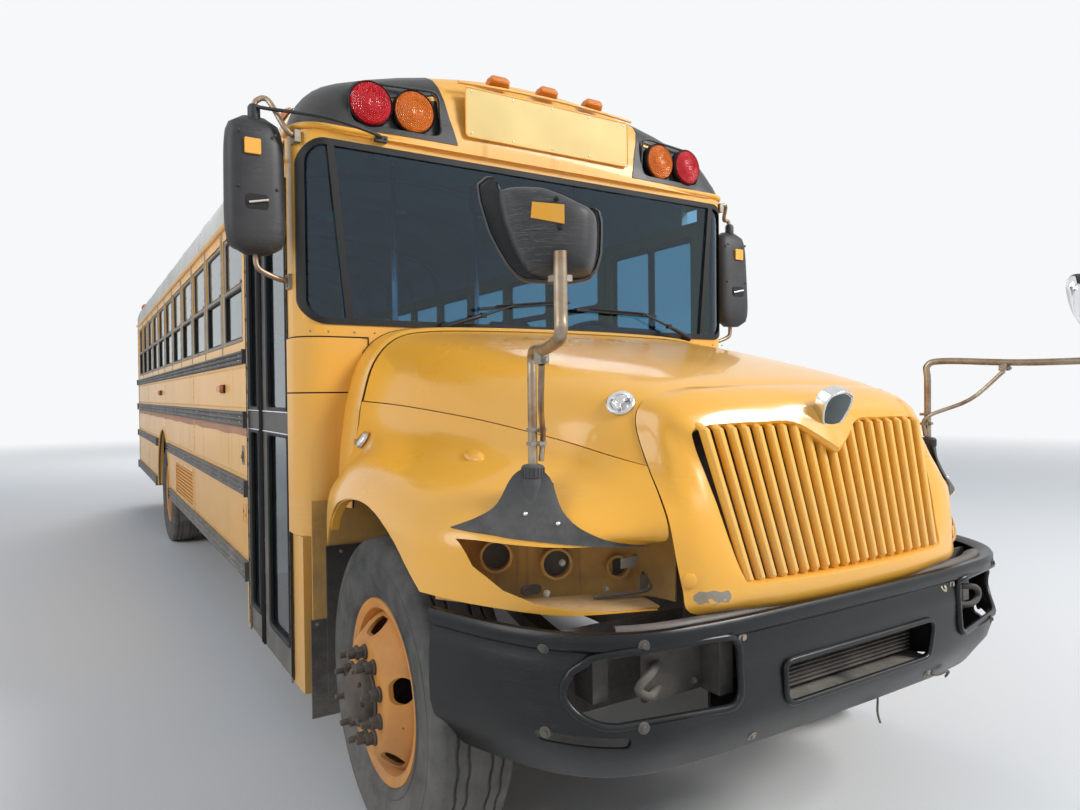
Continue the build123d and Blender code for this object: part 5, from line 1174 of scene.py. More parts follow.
def build_lamp_buckets(sizes):
    """The lamps' buckets, one of them empty, and the lamp in the other."""
    for name, side in SIDES:
        form = Form("bucket yellow")
        back = flow_grid(bucket_rows(side, 0.115), 2, 2)
        form.shell(back, side * 0.006)
        form.piece(f"lamp_bucket_{name}", "hood", "bus_yellow",
                   replaces=("headlamp_pods",) if side < 0 else ())
        rims = Form("bucket yellow")
        for x, z, radius, ahead in BUCKET_HOLES:
            normal = Vector((side * .42, -.9, 0)).normalized()
            center = Vector((side * x, COWL_Y - ahead, z))
            rims.use("bucket yellow").hoop(
                [(-.03, radius), (.004, radius), (.004, radius + .008), (-.03, radius + .008)],
                center, normal, 32)
            # A black disc closes each hole a little way in: painted shade standing for the dark
            # inside of the hole.
            rims.use("frame black").turned([(-.028, radius), (-.024, radius)], center, normal, 32)
        rims.piece(f"lamp_rims_{name}", "hood", "bus_yellow", bevel=0.001)
        floor_form = Form("bucket yellow")
        lower = []
        for x, ahead in ((1.12, 1.29), (1.05, 1.385), (.94, 1.47), (.80, 1.535), (.66, 1.565)):
            z = .962 if x > 1.0 else .940
            lower.append([Vector((side * x, COWL_Y - ahead + d, z + r)) for d, r in
                          ((.003, -.004), (.03, .001), (.08, .006), (.14, .010))])
        floor_form.shell(flow_grid(lower, 2, 4), side * -0.005)
        floor_form.piece(f"lamp_tray_{name}", "hood", "bus_yellow")
    loose = Form("frame black")
    loose.stack(rounded(.062, .026, .012, 5), at_y(COWL_Y - 1.335, -1, -.935, .972),
                ((1, 0), (1, .012), (.9, .015)))
    loose.use("dull zinc").slab((-.700, COWL_Y - 1.48, 1.045), (.055, .004, .03))
    loose.slab((-.640, COWL_Y - 1.47, .975), (.03, .004, .05))
    for x, z in ((-.70, 1.045), (-.905, 1.065), (-.655, 1.05), (-.955, .99), (-.76, .975)):
        loose.bolt((x, COWL_Y - 1.455, z), (-.2, -1, 0), .012, .008)
    loose.use("frame black").pipe(flow([
        (-.60, COWL_Y - 1.42, .99), (-.64, COWL_Y - 1.50, .968), (-.72, COWL_Y - 1.48, .958),
        (-.80, COWL_Y - 1.45, .955)], 5), .005, 8)
    loose.piece("lamp_bucket_hardware", "hood", "bus_yellow", bevel=0.001)
    lamp = Form("clear lens")
    rows = []
    for x, ahead in ((1.118, 1.265), (1.08, 1.34), (1.03, 1.395), (.95, 1.455), (.87, 1.50),
                     (.78, 1.538), (.68, 1.572)):
        low = .945 if x < 1.0 else .945 + (x - 1.0) * .9
        high = 1.100 if x < .9 else 1.100 + (x - .9) * .10
        rows.append([Vector((x, COWL_Y - ahead + .010, low + (high - low) * t))
                     for t in (0, .33, .67, 1)])
    lamp.use("clear lens").shell(flow_grid(rows, 3, 3), 0.005)
    for x, z, radius, ahead in ((1.003, 1.030, .052, 1.34), (.82, 1.020, .058, 1.45)):
        normal = Vector((.25, -.95, 0)).normalized()
        center = Vector((x, COWL_Y - ahead, z))
        lamp.use("bright metal").hoop(
            [(-.070, .018), (-.03, radius * .8), (.0, radius), (.0, radius + .003),
             (-.034, radius * .8 + .003), (-.074, .018)], center, normal, 36)
        lamp.turned([(-.07, .012), (-.03, .010), (-.022, .002)], center, normal, 16)
    lamp.piece("headlamp_left", "hood", "lens_clear", replaces=("headlamp",))


# Cross-view mirrors


# The skirt in the camera's view: its foot and upper edge on the fender, and its rise there
SKIRT_FOOT = (
    (452, 529), (470, 533), (490, 536), (508, 539), (528, 541.5), (548, 543.5), (572, 545.5),
    (606, 547), (647, 546.3),
)
SKIRT_TOP = (
    (452, 528.5), (478, 520.5), (498, 513), (514, 508), (532, 507), (550, 510), (562, 520),
    (590, 536), (647, 545.8),
)
SKIRT_RISE = (0, .004, .020, .085, .105, .085, .020, .004, 0)
# The head seen from ahead, as (outward, up): its rim and, inside that, its shell
HEAD_RIM = (
    (.1085, .1096), (.1268, .0971), (.1228, .0657), (.1142, .0343), (.1028, -.0029),
    (.0857, -.0371), (.0657, -.0714), (.0457, -.0942), (.0286, -.1028), (-.0057, -.1056),
    (-.0485, -.1068), (-.0857, -.1011), (-.0999, -.0942), (-.1142, -.0771), (-.1228, -.0485),
    (-.1250, -.0086), (-.1250, .0200), (-.1199, .0400), (-.1085, .0457), (-.0742, .0457),
    (-.0457, .0600), (-.0057, .0742), (.0286, .0771), (.0514, .0759), (.0800, .0700),
    (.0868, .0857), (.0914, .1028), (.0982, .1091),
)
HEAD_SHELL = (
    (.0790, .0690), (.0771, .0485), (.0685, .0086), (.0514, -.0371), (.0343, -.0714),
    (.0200, -.0885), (-.0057, -.0954), (-.0485, -.0971), (-.0828, -.0925), (-.0959, -.0857),
    (-.1039, -.0657), (-.1085, -.0371), (-.1096, -.0029), (-.1085, .0200), (-.0999, .0325),
    (-.0771, .0417), (-.0457, .0560), (-.0057, .0702), (.0286, .0731), (.0542, .0731),
)


def even(points, count):
    """A closed line's points, spread evenly along it from its first."""
    closed = [*points, points[0]]
    lengths = [0.0]
    for a, b in zip(closed, closed[1:]):
        lengths.append(lengths[-1] + hypot(b[0] - a[0], b[1] - a[1]))
    out, j = [], 0
    for i in range(count):
        want = lengths[-1] * i / count
        while lengths[j + 1] < want:
            j += 1
        t = (want - lengths[j]) / (lengths[j + 1] - lengths[j])
        out.append((closed[j][0] + (closed[j + 1][0] - closed[j][0]) * t,
                    closed[j][1] + (closed[j + 1][1] - closed[j][1]) * t))
    return out


def seen_on_fender():
    """A function that finds what the camera sees on the right fender."""
    return seen_on(mirrored(hood_rows(), -1))


def seen_on(rows):
    """A function that finds where the camera sees a sheet at a point of its view."""
    width = len(rows[0])
    points = [p for row in rows for p in row]
    faces = [(i * width + j, i * width + j + 1, (i + 1) * width + j + 1, (i + 1) * width + j)
             for i in range(len(rows) - 1) for j in range(width - 1)]
    tree = BVHTree.FromPolygons(points, faces)
    right, top, back = camera_axes()
    focus = CAMERA_LENS / SENSOR_WIDTH * VIEW_WIDTH

    def find(u, v):
        ray = right * (u - VIEW_WIDTH / 2) + top * (VIEW_HEIGHT / 2 - v) - back * focus
        place, normal = tree.ray_cast(Vector(CAMERA_PLACE), ray.normalized())[:2]
        return place, (normal if normal.dot(ray) < 0 else -normal)

    return find


def build_cross_mirrors(sizes):
    """Flared feet on the fenders, worn tubes with their braces, and scooped heads."""
    find = seen_on_fender()
    lines = [flow([(u, v, 0) for u, v in line], 4) for line in (SKIRT_FOOT, SKIRT_TOP)]
    lift = flow([(rise, 0, 0) for rise in SKIRT_RISE], 4)
    skirt = []
    for k in range(13):
        t = k / 12
        row = []
        for low, high, rise in zip(*lines, lift):
            spot = low.lerp(high, t)
            place, normal = find(spot.x, spot.y)
            row.append(place + normal * .005 + Vector((0, 0, max(0, rise.x) * t ** 2.2)))
        skirt.append(row)
    for name, side in SIDES:
        foot = Form("mirror skirt")
        neck = Vector((side * .940, COWL_Y - 1.366, 1.286))
        rows = mirrored(skirt, -side)
        foot.use("mirror skirt").shell(rows, -side * .004)
        foot.turned([(-.15, .064), (-.11, .050), (-.07, .040), (-.03, .033), (0, .030),
                     (.004, .026)], neck, (0, 0, 1), 32)
        foot.turned([(.002, .031), (.030, .031), (.035, .028), (.038, .020)], neck, (0, 0, 1), 32)
        for k in range(20):
            angle = 2 * pi * k / 20
            foot.slab(neck + Vector((.0305 * cos(angle), .0305 * sin(angle), .016)),
                      (.004, .004, .026), Matrix.Rotation(angle, 3, "Z"))
        foot.slab(neck + Vector((side * -.042, -.010, -.036)), (.030, .012, .040))
        foot.use("bright metal").dome(neck + Vector((side * -.046, -.017, -.032)), (0, -1, 0),
                                      .007, .005, 12)
        for j, k in ((15, 6), (22, 6)):
            p = rows[k][j]
            foot.dome(p + Vector((0, -.004, .002)), (0, -.8, .6), .007, .006, 12)
        foot.piece(f"mirror_foot_{name}", "hood", "mirror_black", smooth=50)
        center = Vector((side * 1.205, -5.490, 1.846))
        outer = Vector((side * .848, .530, 0))
        front = Vector((side * .530, -.848, 0))
        end = center - outer * .037 + Vector((0, 0, -.060)) + front * .084
        arm = Form("tube metal")
        top = neck + Vector((0, 0, .329))
        turn = end - Vector((0, 0, .165))
        reach = turn - top
        path = flow([
            neck + Vector((0, 0, .01)), neck + Vector((0, 0, .12)), neck + Vector((0, 0, .27)),
            top, top + reach * .10 + Vector((0, 0, .016)), top + reach * .5, top + reach * .90,
            turn + Vector((0, 0, .012)), end - Vector((0, 0, .12)), end - Vector((0, 0, .05)), end,
        ], 5)
        arm.use("tube metal").pipe(path, .0130, 16)
        hold = top + reach * .42 + Vector((0, 0, -.030))
        arm.pipe(flow([neck + Vector((side * -.024, -.004, .045)),
                       neck + Vector((side * -.026, -.012, .120)),
                       (neck + hold) / 2 + Vector((0, -.020, .04)), hold], 5), .0080, 12)
        for z in (.094, .132):
            arm.use("dull zinc").slab(neck + Vector((side * -.012, -.002, z)), (.050, .028, .010))
            arm.bolt(neck + Vector((side * -.012, -.018, z)), (0, -1, 0), .010, .007)
        arm.slab(hold + Vector((0, 0, .014)), (.024, .030, .028))
        arm.bolt(hold + Vector((0, -.018, .010)), (0, -1, 0), .011, .008)
        arm.use("dull zinc").slab(end - front * .012 - Vector((0, 0, .050)), (.036, .030, .012))
        arm.piece(f"mirror_tube_{name}", "hood", "mirror_black", bevel=0.0012)
        cross_head(name, center, outer, front)


def cross_head(name, center, outer, front):
    """The head: a scooped shell with a broad rim and a tall wing, its glass to the driver."""
    form = Form("mirror black")
    count = 72
    rim_line, shell_line = even(HEAD_RIM, count), even(HEAD_SHELL, count)

    def at(u, v, w):
        return center + outer * u + Vector((0, 0, v)) + front * w

    def loop(line, scale, w, bend=0.0):
        return [at(u * scale, v * scale, w - bend * (u / .125) ** 2) for u, v in line]

    form.use("mirror black").rings([
        loop(rim_line, .93, -.020, .03), loop(rim_line, 1.0, -.020, .03),
        loop(rim_line, 1.02, -.012, .03), loop(rim_line, 1.02, .004, .03),
        loop(rim_line, .985, .012, .03), loop(rim_line, .965, .009, .03),
        loop(rim_line, .94, .012, .03), loop(rim_line, .90, .010, .03)])
    form.rings([
        loop(shell_line, 1.06, -.004, .02), loop(shell_line, 1.04, .012, .02),
        loop(shell_line, 1.01, .036, .02), loop(shell_line, .96, .056, .02),
        loop(shell_line, .88, .070, .015), loop(shell_line, .74, .078, .010),
        loop(shell_line, .50, .082, .006), loop(shell_line, .22, .083)])
    form.use("seal rubber").rings([loop(rim_line, s, w, .03) for s, w in
                                   ((.97, -.016), (.97, -.026), (.94, -.027))])
    form.use("mirror silver").rings([loop(rim_line, s, w, b) for s, w, b in
                                     ((.945, -.020, .03), (.935, -.028, .03), (.60, -.050, .02),
                                      (.20, -.060, .0))])
    patch = [(.015, .034), (-.046, .028), (-.046, -.008), (.018, .004)]
    form.use("amber square").rings([[at(u, v, w) for u, v in patch] for w in (.072, .0845)])
    for u, v in ((-.031, .040), (-.037, -.015), (.020, -.062)):
        form.use("seal rubber").dome(at(u, v, .0815 if v > -.05 else .066), front, .0055, .004, 12)
    form.piece(f"cross_mirror_{name}", "hood", "mirror_black", smooth=50,
               replaces=("fender_mirrors",))


# Road mirrors


def build_road_mirrors(sizes):
    """The mirrors beside the screen, on their arms."""
    for name, side in SIDES:
        middle_z = 2.380 if side < 0 else 2.190
        x = side * 1.3605
        y = COWL_Y + 0.115
        head = Form("mirror black")
        rings = []
        for i in range(19):
            t = i / 18 * 2 - 1
            lean = .012 * t
            ease = (1 - abs(t) ** 5.5) ** .45 if abs(t) < 1 else 0
            half = .1215 * (.42 + .58 * ease) * (1.0 - .035 * t)
            front = .060 * (.35 + .65 * ease)
            ring_points = []
            for k in range(24):
                angle = 2 * pi * k / 24
                u, v = cos(angle), sin(angle)
                u = (abs(u) ** .55) * (1 if u >= 0 else -1)
                v = (abs(v) ** .75) * (1 if v >= 0 else -1)
                depth = front if v < 0 else .030
                reach = half * (1 if v > 0 else .96)
                ring_points.append(Vector((x + u * reach, y + v * depth + lean,
                                           middle_z + t * .2815)))
            rings.append(ring_points)
        head.use("mirror black").rings(rings)
        front_y = y - .0615
        for u, z, w, h in ((-.018, .145, .062, .062), (.018, -.175, .070, .062)):
            head.use("amber square").rings([
                [Vector((x + side * -u + a, front_y - d, middle_z + z + b))
                 for a, b in rounded(w, h, .004, 2)] for d in (-.016, .0022)])
        head.use("seal rubber").rings([
            [Vector((x + a, y + .030 + d, middle_z + b)) for a, b in rounded(.218, .525, .05, 5)]
            for d in (-.004, .006)])
        for low, high in ((-.255, .055), (.075, .250)):
            head.use("mirror silver").stack(
                rounded(.205, high - low, .028, 5),
                at_y(y + .0365, 1, x, middle_z + (low + high) / 2),
                ((1, 0), (.985, .0025), (.4, .0035)))
        recess = [Vector((x + side * .004 + a, front_y + .006, middle_z - .078 + b))
                  for a, b in rounded(.088, .060, .016, 4)]
        head.use("seal rubber").rings([recess, [p + Vector((0, -.010, 0)) for p in recess]])
        head.use("bright metal").pipe([
            Vector((x - .038, front_y - .008, middle_z - .085)),
            Vector((x + .038, front_y - .008, middle_z - .068))], .006, 10)
        for u, z in ((-.07, .20), (.07, .20), (-.075, -.02), (.075, -.02), (0, -.24)):
            head.use("mirror black").dome((x + u, front_y + .003, middle_z + z), (0, -1, 0),
                                          .007, .004, 10)
        head.piece(f"road_mirror_{name}", "bus_body", "mirror_black", smooth=50,
                   replaces=("road_mirrors",))
        arms = Form("tube metal")
        top = middle_z + .2815
        arms.use("tube metal").pipe(flow([
            (side * (HALF - .03), COWL_Y + .060, DRIP_Z + .050),
            (side * (HALF + .03), COWL_Y + .040, DRIP_Z + .070),
            (x - side * .055, y - .010, top + .075), (x - side * .012, y, top + .070),
            (x, y, top + .035), (x, y, top - .030)], 6), .0115, 14)
        arms.pipe(flow([
            (side * (HALF - .01), y + .02, middle_z - .380),
            (side * (HALF + .05), y + .01, middle_z - .372),
            (x - side * .02, y, middle_z - .345), (x, y, middle_z - .315),
            (x, y, middle_z - .250)], 6), .0115, 14)
        if side < 0:
            arms.use("mirror black").pipe(flow([
                (-.866, COWL_Y - .004, 2.618), (-.895, COWL_Y - .036, 2.627),
                (-1.10, COWL_Y - .046, 2.655), (x + .045, y - .050, 2.688),
                (x, y - .006, top + .045)], 6), .0075, 12)
            arms.slab((-.866, COWL_Y - .010, 2.618), (.052, .030, .026))
            for dx in (-.016, .016):
                arms.bolt((-.866 + dx, COWL_Y - .025, 2.618), (0, -1, 0), .007, .006)
        arms.use("dull zinc").slab((side * (HALF - .012), COWL_Y + .060, DRIP_Z + .050),
                                   (.024, .07, .05))
        arms.slab((side * (HALF + .006), y + .02, middle_z - .380), (.014, .06, .06))
        for dz in (-.018, .018):
            arms.bolt((side * (HALF + .013), y + .02, middle_z - .380 + dz), (side, 0, 0),
                      .010, .007)
        arms.use("mirror black").turned([(-.028, .020), (-.02, .025), (.05, .025), (.062, .018)],
                                        (x, y, top - .012), (0, 0, 1), 20)
        arms.piece(f"mirror_arms_{name}", "bus_body", "mirror_black", bevel=.001)


# Front bumper

# Plan of the bumper's face, as (side, ahead of the cowl)
BUMPER_PLAN = (
    (0, 1.727), (.158, 1.727), (.344, 1.725), (.502, 1.722), (.633, 1.712), (.755, 1.696),
    (.854, 1.662), (.938, 1.610), (1.009, 1.535), (1.070, 1.435), (1.124, 1.305), (1.169, 1.170),
)
BUMPER_SECTION = (
    (-.045, .905), (-.020, .919), (-.004, .918), (.003, .908), (.003, .884), (-.003, .874),
    (-.012, .868), (-.012, .858), (-.005, .845), (0, .80), (.001, .72), (-.002, .66),
    (-.014, .62), (-.045, .575), (-.075, .530), (-.082, .522),
)


def bumper_rows():
    """The bumper's right half: one row for each height, a point for each plan station."""
    plan = flow([(x, ahead, 0) for x, ahead in BUMPER_PLAN], 5)
    rows = []
    for out, z in BUMPER_SECTION:
        row = []
        for i, point in enumerate(plan):
            after = plan[min(i + 1, len(plan) - 1)]
            before = plan[max(i - 1, 0)]
            along = (after - before).normalized()
            normal = Vector((-along.y, along.x))
            if normal.y < 0:
                normal = -normal
            if i == 0:
                normal = Vector((0, 1))
            row.append(Vector((point.x + normal.x * out, COWL_Y - (point.y + normal.y * out), z)))
        rows.append(row)
    return rows


def bumper_point(x, z, out=0.0):
    """A point on the bumper's face at a side and height, and the way it faces."""
    side = 1 if x >= 0 else -1
    rows = bumper_rows()
    best = min(range(len(BUMPER_SECTION)), key=lambda k: abs(BUMPER_SECTION[k][1] - z))
    row = rows[best]
    for a, b in zip(row, row[1:]):
        if a.x <= abs(x) <= b.x:
            t = (abs(x) - a.x) / (b.x - a.x)
            point = a.lerp(b, t)
            along = (b - a).normalized()
            normal = Vector((-along.y, along.x, 0))
            if normal.y > 0:
                normal = -normal
            point = Vector((side * point.x, point.y, z))
            normal = Vector((side * abs(normal.x), normal.y, 0))
            return point + normal * out, normal
    return Vector((x, row[-1].y, z)), Vector((side, 0, 0))


BRACKET_Y = COWL_Y - 1.600

# The bumper's bolts where the camera sees them, with their finishes
BUMPER_BOLTS_SEEN = (
    (543.3, 648.8, "frame black"), (644.0, 646.1, "frame black"), (742.3, 638.0, "dull zinc"),
    (644.0, 728.4, "frame black"), (751.9, 736.0, "dull zinc"), (545.2, 732.2, "frame black"),
    (943.6, 587.5, "dull zinc"),
)
FOG_OUTLINE = (
    (.520, .688), (.900, .688), (.955, .712), (.985, .760), (.975, .815), (.930, .858),
    (.860, .876), (.520, .876),
)


def corner_loop(points, radius, steps=4):
    """A closed outline with each corner rounded off."""
    out = []
    count = len(points)
    for i in range(count):
        before, here, after = (Vector(points[i - 1]), Vector(points[i]),
                               Vector(points[(i + 1) % count]))
        a, b = before - here, after - here
        r = min(radius, a.length * .45, b.length * .45)
        start, end = here + a.normalized() * r, here + b.normalized() * r
        for k in range(steps + 1):
            t = k / steps
            p = start * (1 - t) ** 2 + here * 2 * t * (1 - t) + end * t * t
            out.append((p.x, p.y))
    return out


def build_front_bumper(sizes):
    """The steel bumper with its openings, brackets, bolts and tabs."""
    rows = bumper_rows()
    full = both_halves(rows)
    face = Form("bumper black")
    face.shell(full, 0.010)
    bumper = face.piece("bumper_face", "bus_body", "bumper_black", replaces=("front_bumper",))
    intake = corner_loop(((-.342, .650), (.342, .650), (.360, .772), (-.360, .772)), .035)
    fog = corner_loop(FOG_OUTLINE, .05)
    cutter = Form("bumper black")
    cutter.prism(intake, at_y(COWL_Y - 1.50), .40)
    for side in (-1, 1):
        cutter.prism(flipped(fog, side), at_y(COWL_Y - 1.30), .55)
        slot = corner_loop(((.84, .628), (1.02, .640), (1.03, .668), (.84, .658)), .014)
        cutter.prism(flipped(slot, side), at_y(COWL_Y - 1.25), .60)
    carve(bumper, cutter)
    rims = Form("bumper black")
    rims.pipe([bumper_point(u, v, .004)[0] for u, v in intake], .009, 10, closed=True)
    for side in (-1, 1):
        rims.pipe([bumper_point(u, v, .002)[0] for u, v in flipped(fog, side)], .011, 10,
                  closed=True)
    rims.piece("bumper_rims", "bus_body", "bumper_black", smooth=60)
    # The paler strip round the bumper's top edge, here called faded, is a painted highlight with
    # real scratches and dust on it.
    faded = Form("bumper faded")
    band = []
    for z, out in ((.882, .0042), (.900, .0042), (.9095, .0036), (.9198, -.004), (.9202, -.020),
                   (.9075, -.044)):
        row = []
        for x in range(-17, 18):
            place, normal = bumper_point(x * .05, .90, 0)
            place = place + normal * (out - .003)
            row.append(Vector((place.x, place.y, z)))
        band.append(row)
    faded.shell(flow_grid(band, 1, 2), -.0015)
    faded.piece("bumper_band", "bus_body", "bumper_black")
    back = Form("frame black")
    # A black rubber sheet closes the intake behind its fins: painted shade standing for the dark
    # inside of the pocket.
    back.use("seal rubber").prism(
        corner_loop(((-.50, .590), (.50, .590), (.50, .790), (-.50, .790)), .01),
        at_y(COWL_Y - 1.580), .010)
    # A dark sheet at the left end and the intake's dark floor: more painted shade that closes the
    # openings.
    back.use("frame black").prism([(.95, .66), (1.15, .66), (1.15, .89), (.95, .89)],
                                  at_y(COWL_Y - 1.20), .010)
    back.slab((0, COWL_Y - 1.640, .640), (.736, .130, .006))
    for k in range(9):
        z = .662 + k * .0125
        back.prism([(-.33, z), (.33, z), (.33, z + .004), (-.33, z + .004)],
                   at_y(COWL_Y - 1.62), .045)
    back.hoop([(-.006, .040), (.006, .040), (.006, .052), (-.006, .052)],
              (.10, COWL_Y - 1.645, .712), (0, 1, 0), 32)
    back.hoop([(-.006, .012), (.006, .012), (.006, .024), (-.006, .024)],
              (.10, COWL_Y - 1.645, .712), (0, 1, 0), 24)
    for side in (-1, 1):
        # The intake's black side walls and the dark sheets behind the fog openings: painted shade
        # inside the openings.
        back.use("seal rubber").prism(
            [(COWL_Y - 1.570, .590), (COWL_Y - 1.570, .790), (COWL_Y - 1.712, .790),
             (COWL_Y - 1.712, .655), (COWL_Y - 1.650, .640), (COWL_Y - 1.600, .590)],
            at_x(.368, side), .008)
        back.use("frame black").prism(
            [(side * .50, .66), (side * 1.00, .66), (side * 1.00, .89), (side * .50, .89)],
            at_y(COWL_Y - 1.47), .010)
        plate = corner_loop(((.55, .705), (.76, .705), (.76, .862), (.55, .862)), .012)
        back.prism(flipped(plate, side), at_y(BRACKET_Y), .008)
        back.slab((side * .53, COWL_Y - 1.56, .78), (.05, .24, .15))
        back.slab((side * .86, COWL_Y - 1.50, .78), (.05, .12, .13))
        for x, z in ((.58, .84), (.73, .84), (.58, .73), (.73, .73)):
            back.use("dull zinc").bolt((side * x, COWL_Y - 1.608, z), (0, -1, 0), .012, .009)
        back.use("frame black").pipe(flow([
            (side * .70, BRACKET_Y, .80), (side * .76, COWL_Y - 1.645, .80),
            (side * .80, COWL_Y - 1.640, .765), (side * .76, COWL_Y - 1.635, .735),
            (side * .70, BRACKET_Y, .735)], 5), .011, 12)
    back.piece("bumper_brackets_and_painted_shade", "bus_body", "bumper_black", bevel=.002)
    bolts = Form("bright metal")
    find = seen_on(full)
    for u, v, finish in BUMPER_BOLTS_SEEN:
        point, normal = find(u, v)
        for way in (1,) if point.x > 0 else (1, -1):
            turn = Vector((way, 1, 1))
            bolts.use(finish).turned([(-.002, .0155), (.0015, .0155), (.0025, .013)],
                                     point * turn, normal * turn, 24)
            bolts.bolt(point * turn, normal * turn, .0125, .0075)
    bolts.piece("bumper_bolts", "bus_body", "bumper_black", bevel=.0008)
    tabs = Form("sash grey")
    for x in (-.06, .10):
        tabs.use("sash grey").slab((x, COWL_Y - 1.665, .905), (.075, .05, .016))
    for side in (-1, 1):
        tabs.use("frame black").slab((side * .43, COWL_Y - 1.540, .800), (.014, .12, .20))
        tabs.slab((side * .43, COWL_Y - 1.57, .76), (.09, .06, .12))
    tabs.use("frame black").pipe(flow([
        (.20, BRACKET_Y, .60), (.205, COWL_Y - 1.63, .53), (.20, COWL_Y - 1.635, .47),
        (.215, COWL_Y - 1.635, .43)], 5), .004, 6)
    tabs.pipe(flow([(.46, BRACKET_Y, .60), (.47, COWL_Y - 1.66, .545),
                    (.53, COWL_Y - 1.68, .55), (.55, COWL_Y - 1.66, .52)], 5), .0045, 6)
    tabs.piece("bumper_tabs", "bus_body", "bumper_black", bevel=.001)


# Front cap and windscreen surround

CAP_LOW_Z = 2.622
CAP_REACH = 0.330
CROWN_R = 3.077
SHOULDER_R = .299
CAP_RINGS = (
    (0, CAP_REACH, 0), (0, .240, 0), (.004, .185, .001), (.020, .125, .006), (.052, .070, .022),
    (.100, .030, .055), (.165, .009, .098), (.250, .000, .140),
)


def roof_line(steps=14, low_z=CAP_LOW_Z, out=0.0):
    """The cabin's outline from wall to wall over the crown, as (x, z), moved out by `out`."""
    bend_x = HALF - SHOULDER_R
    crown_z = ROOF_Z - CROWN_R
    bend_z = crown_z + sqrt((CROWN_R - SHOULDER_R) ** 2 - bend_x ** 2)
    tilt = atan2(bend_x, bend_z - crown_z)
    start = acos(max(0.0, (low_z - bend_z) / SHOULDER_R))
    rise = max(0.0, bend_z - low_z)
    wall = [(HALF + out, low_z + rise * i / 3) for i in range(3) if rise]
    half = steps // 2
    bend = [start + (tilt - start) * i / half for i in range(half)]
    crown = [tilt * (1 - i / half) for i in range(half + 1)]
    line = wall + [(bend_x + (SHOULDER_R + out) * sin(a), bend_z + (SHOULDER_R + out) * cos(a))
                   for a in bend]
    line += [((CROWN_R + out) * sin(a), crown_z + (CROWN_R + out) * cos(a)) for a in crown]
    return line + [(-x, z) for x, z in reversed(line[:-1])]


def outward(line, i, middle_z):
    """Which way the cabin's outline faces at one of its points."""
    (x, z), (ax, az), (bx, bz) = line[i], line[max(i - 1, 0)], line[min(i + 1, len(line) - 1)]
    normal = Vector((bz - az, 0, ax - bx)).normalized()
    return -normal if normal.dot(Vector((x, 0, z - middle_z))) < 0 else normal


def cap_rows(lift=0.0):
    """Rings of the cap, from the roof forward and in over its face."""
    line = roof_line()
    rows = []
    for inset, depth, tight in CAP_RINGS:
        row = []
        for i, (x, z) in enumerate(line):
            normal = outward(line, i, 2.4)
            high = min(1.0, max(0.0, (z - CAP_LOW_Z) / .22))
            high = high * high * (3 - 2 * high)
            draw = (tight * (1 - high) * .85 + inset * high) - lift
            row.append(Vector((x - normal.x * draw, COWL_Y + depth - (lift if inset > .1 else 0),
                               max(z - normal.z * draw, CAP_LOW_Z))))
        rows.append(row)
    last = rows[-1]
    foot = CAP_LOW_Z - .004
    for t in (.2, .4, .6, .8, 1):
        row = []
        for p in last:
            z = p.z + (foot - p.z) * t
            near = min(1.0, (p.z - z) / .15)
            row.append(Vector((p.x, COWL_Y - lift - .022 * (1 - (1 - near) ** 2), z)))
        rows.append(row)
    return rows


BLACK_AREA = (
    (.505, 2.648), (.605, 3.030), (.75, 3.10), (1.30, 3.10), (1.30, 2.648),
)


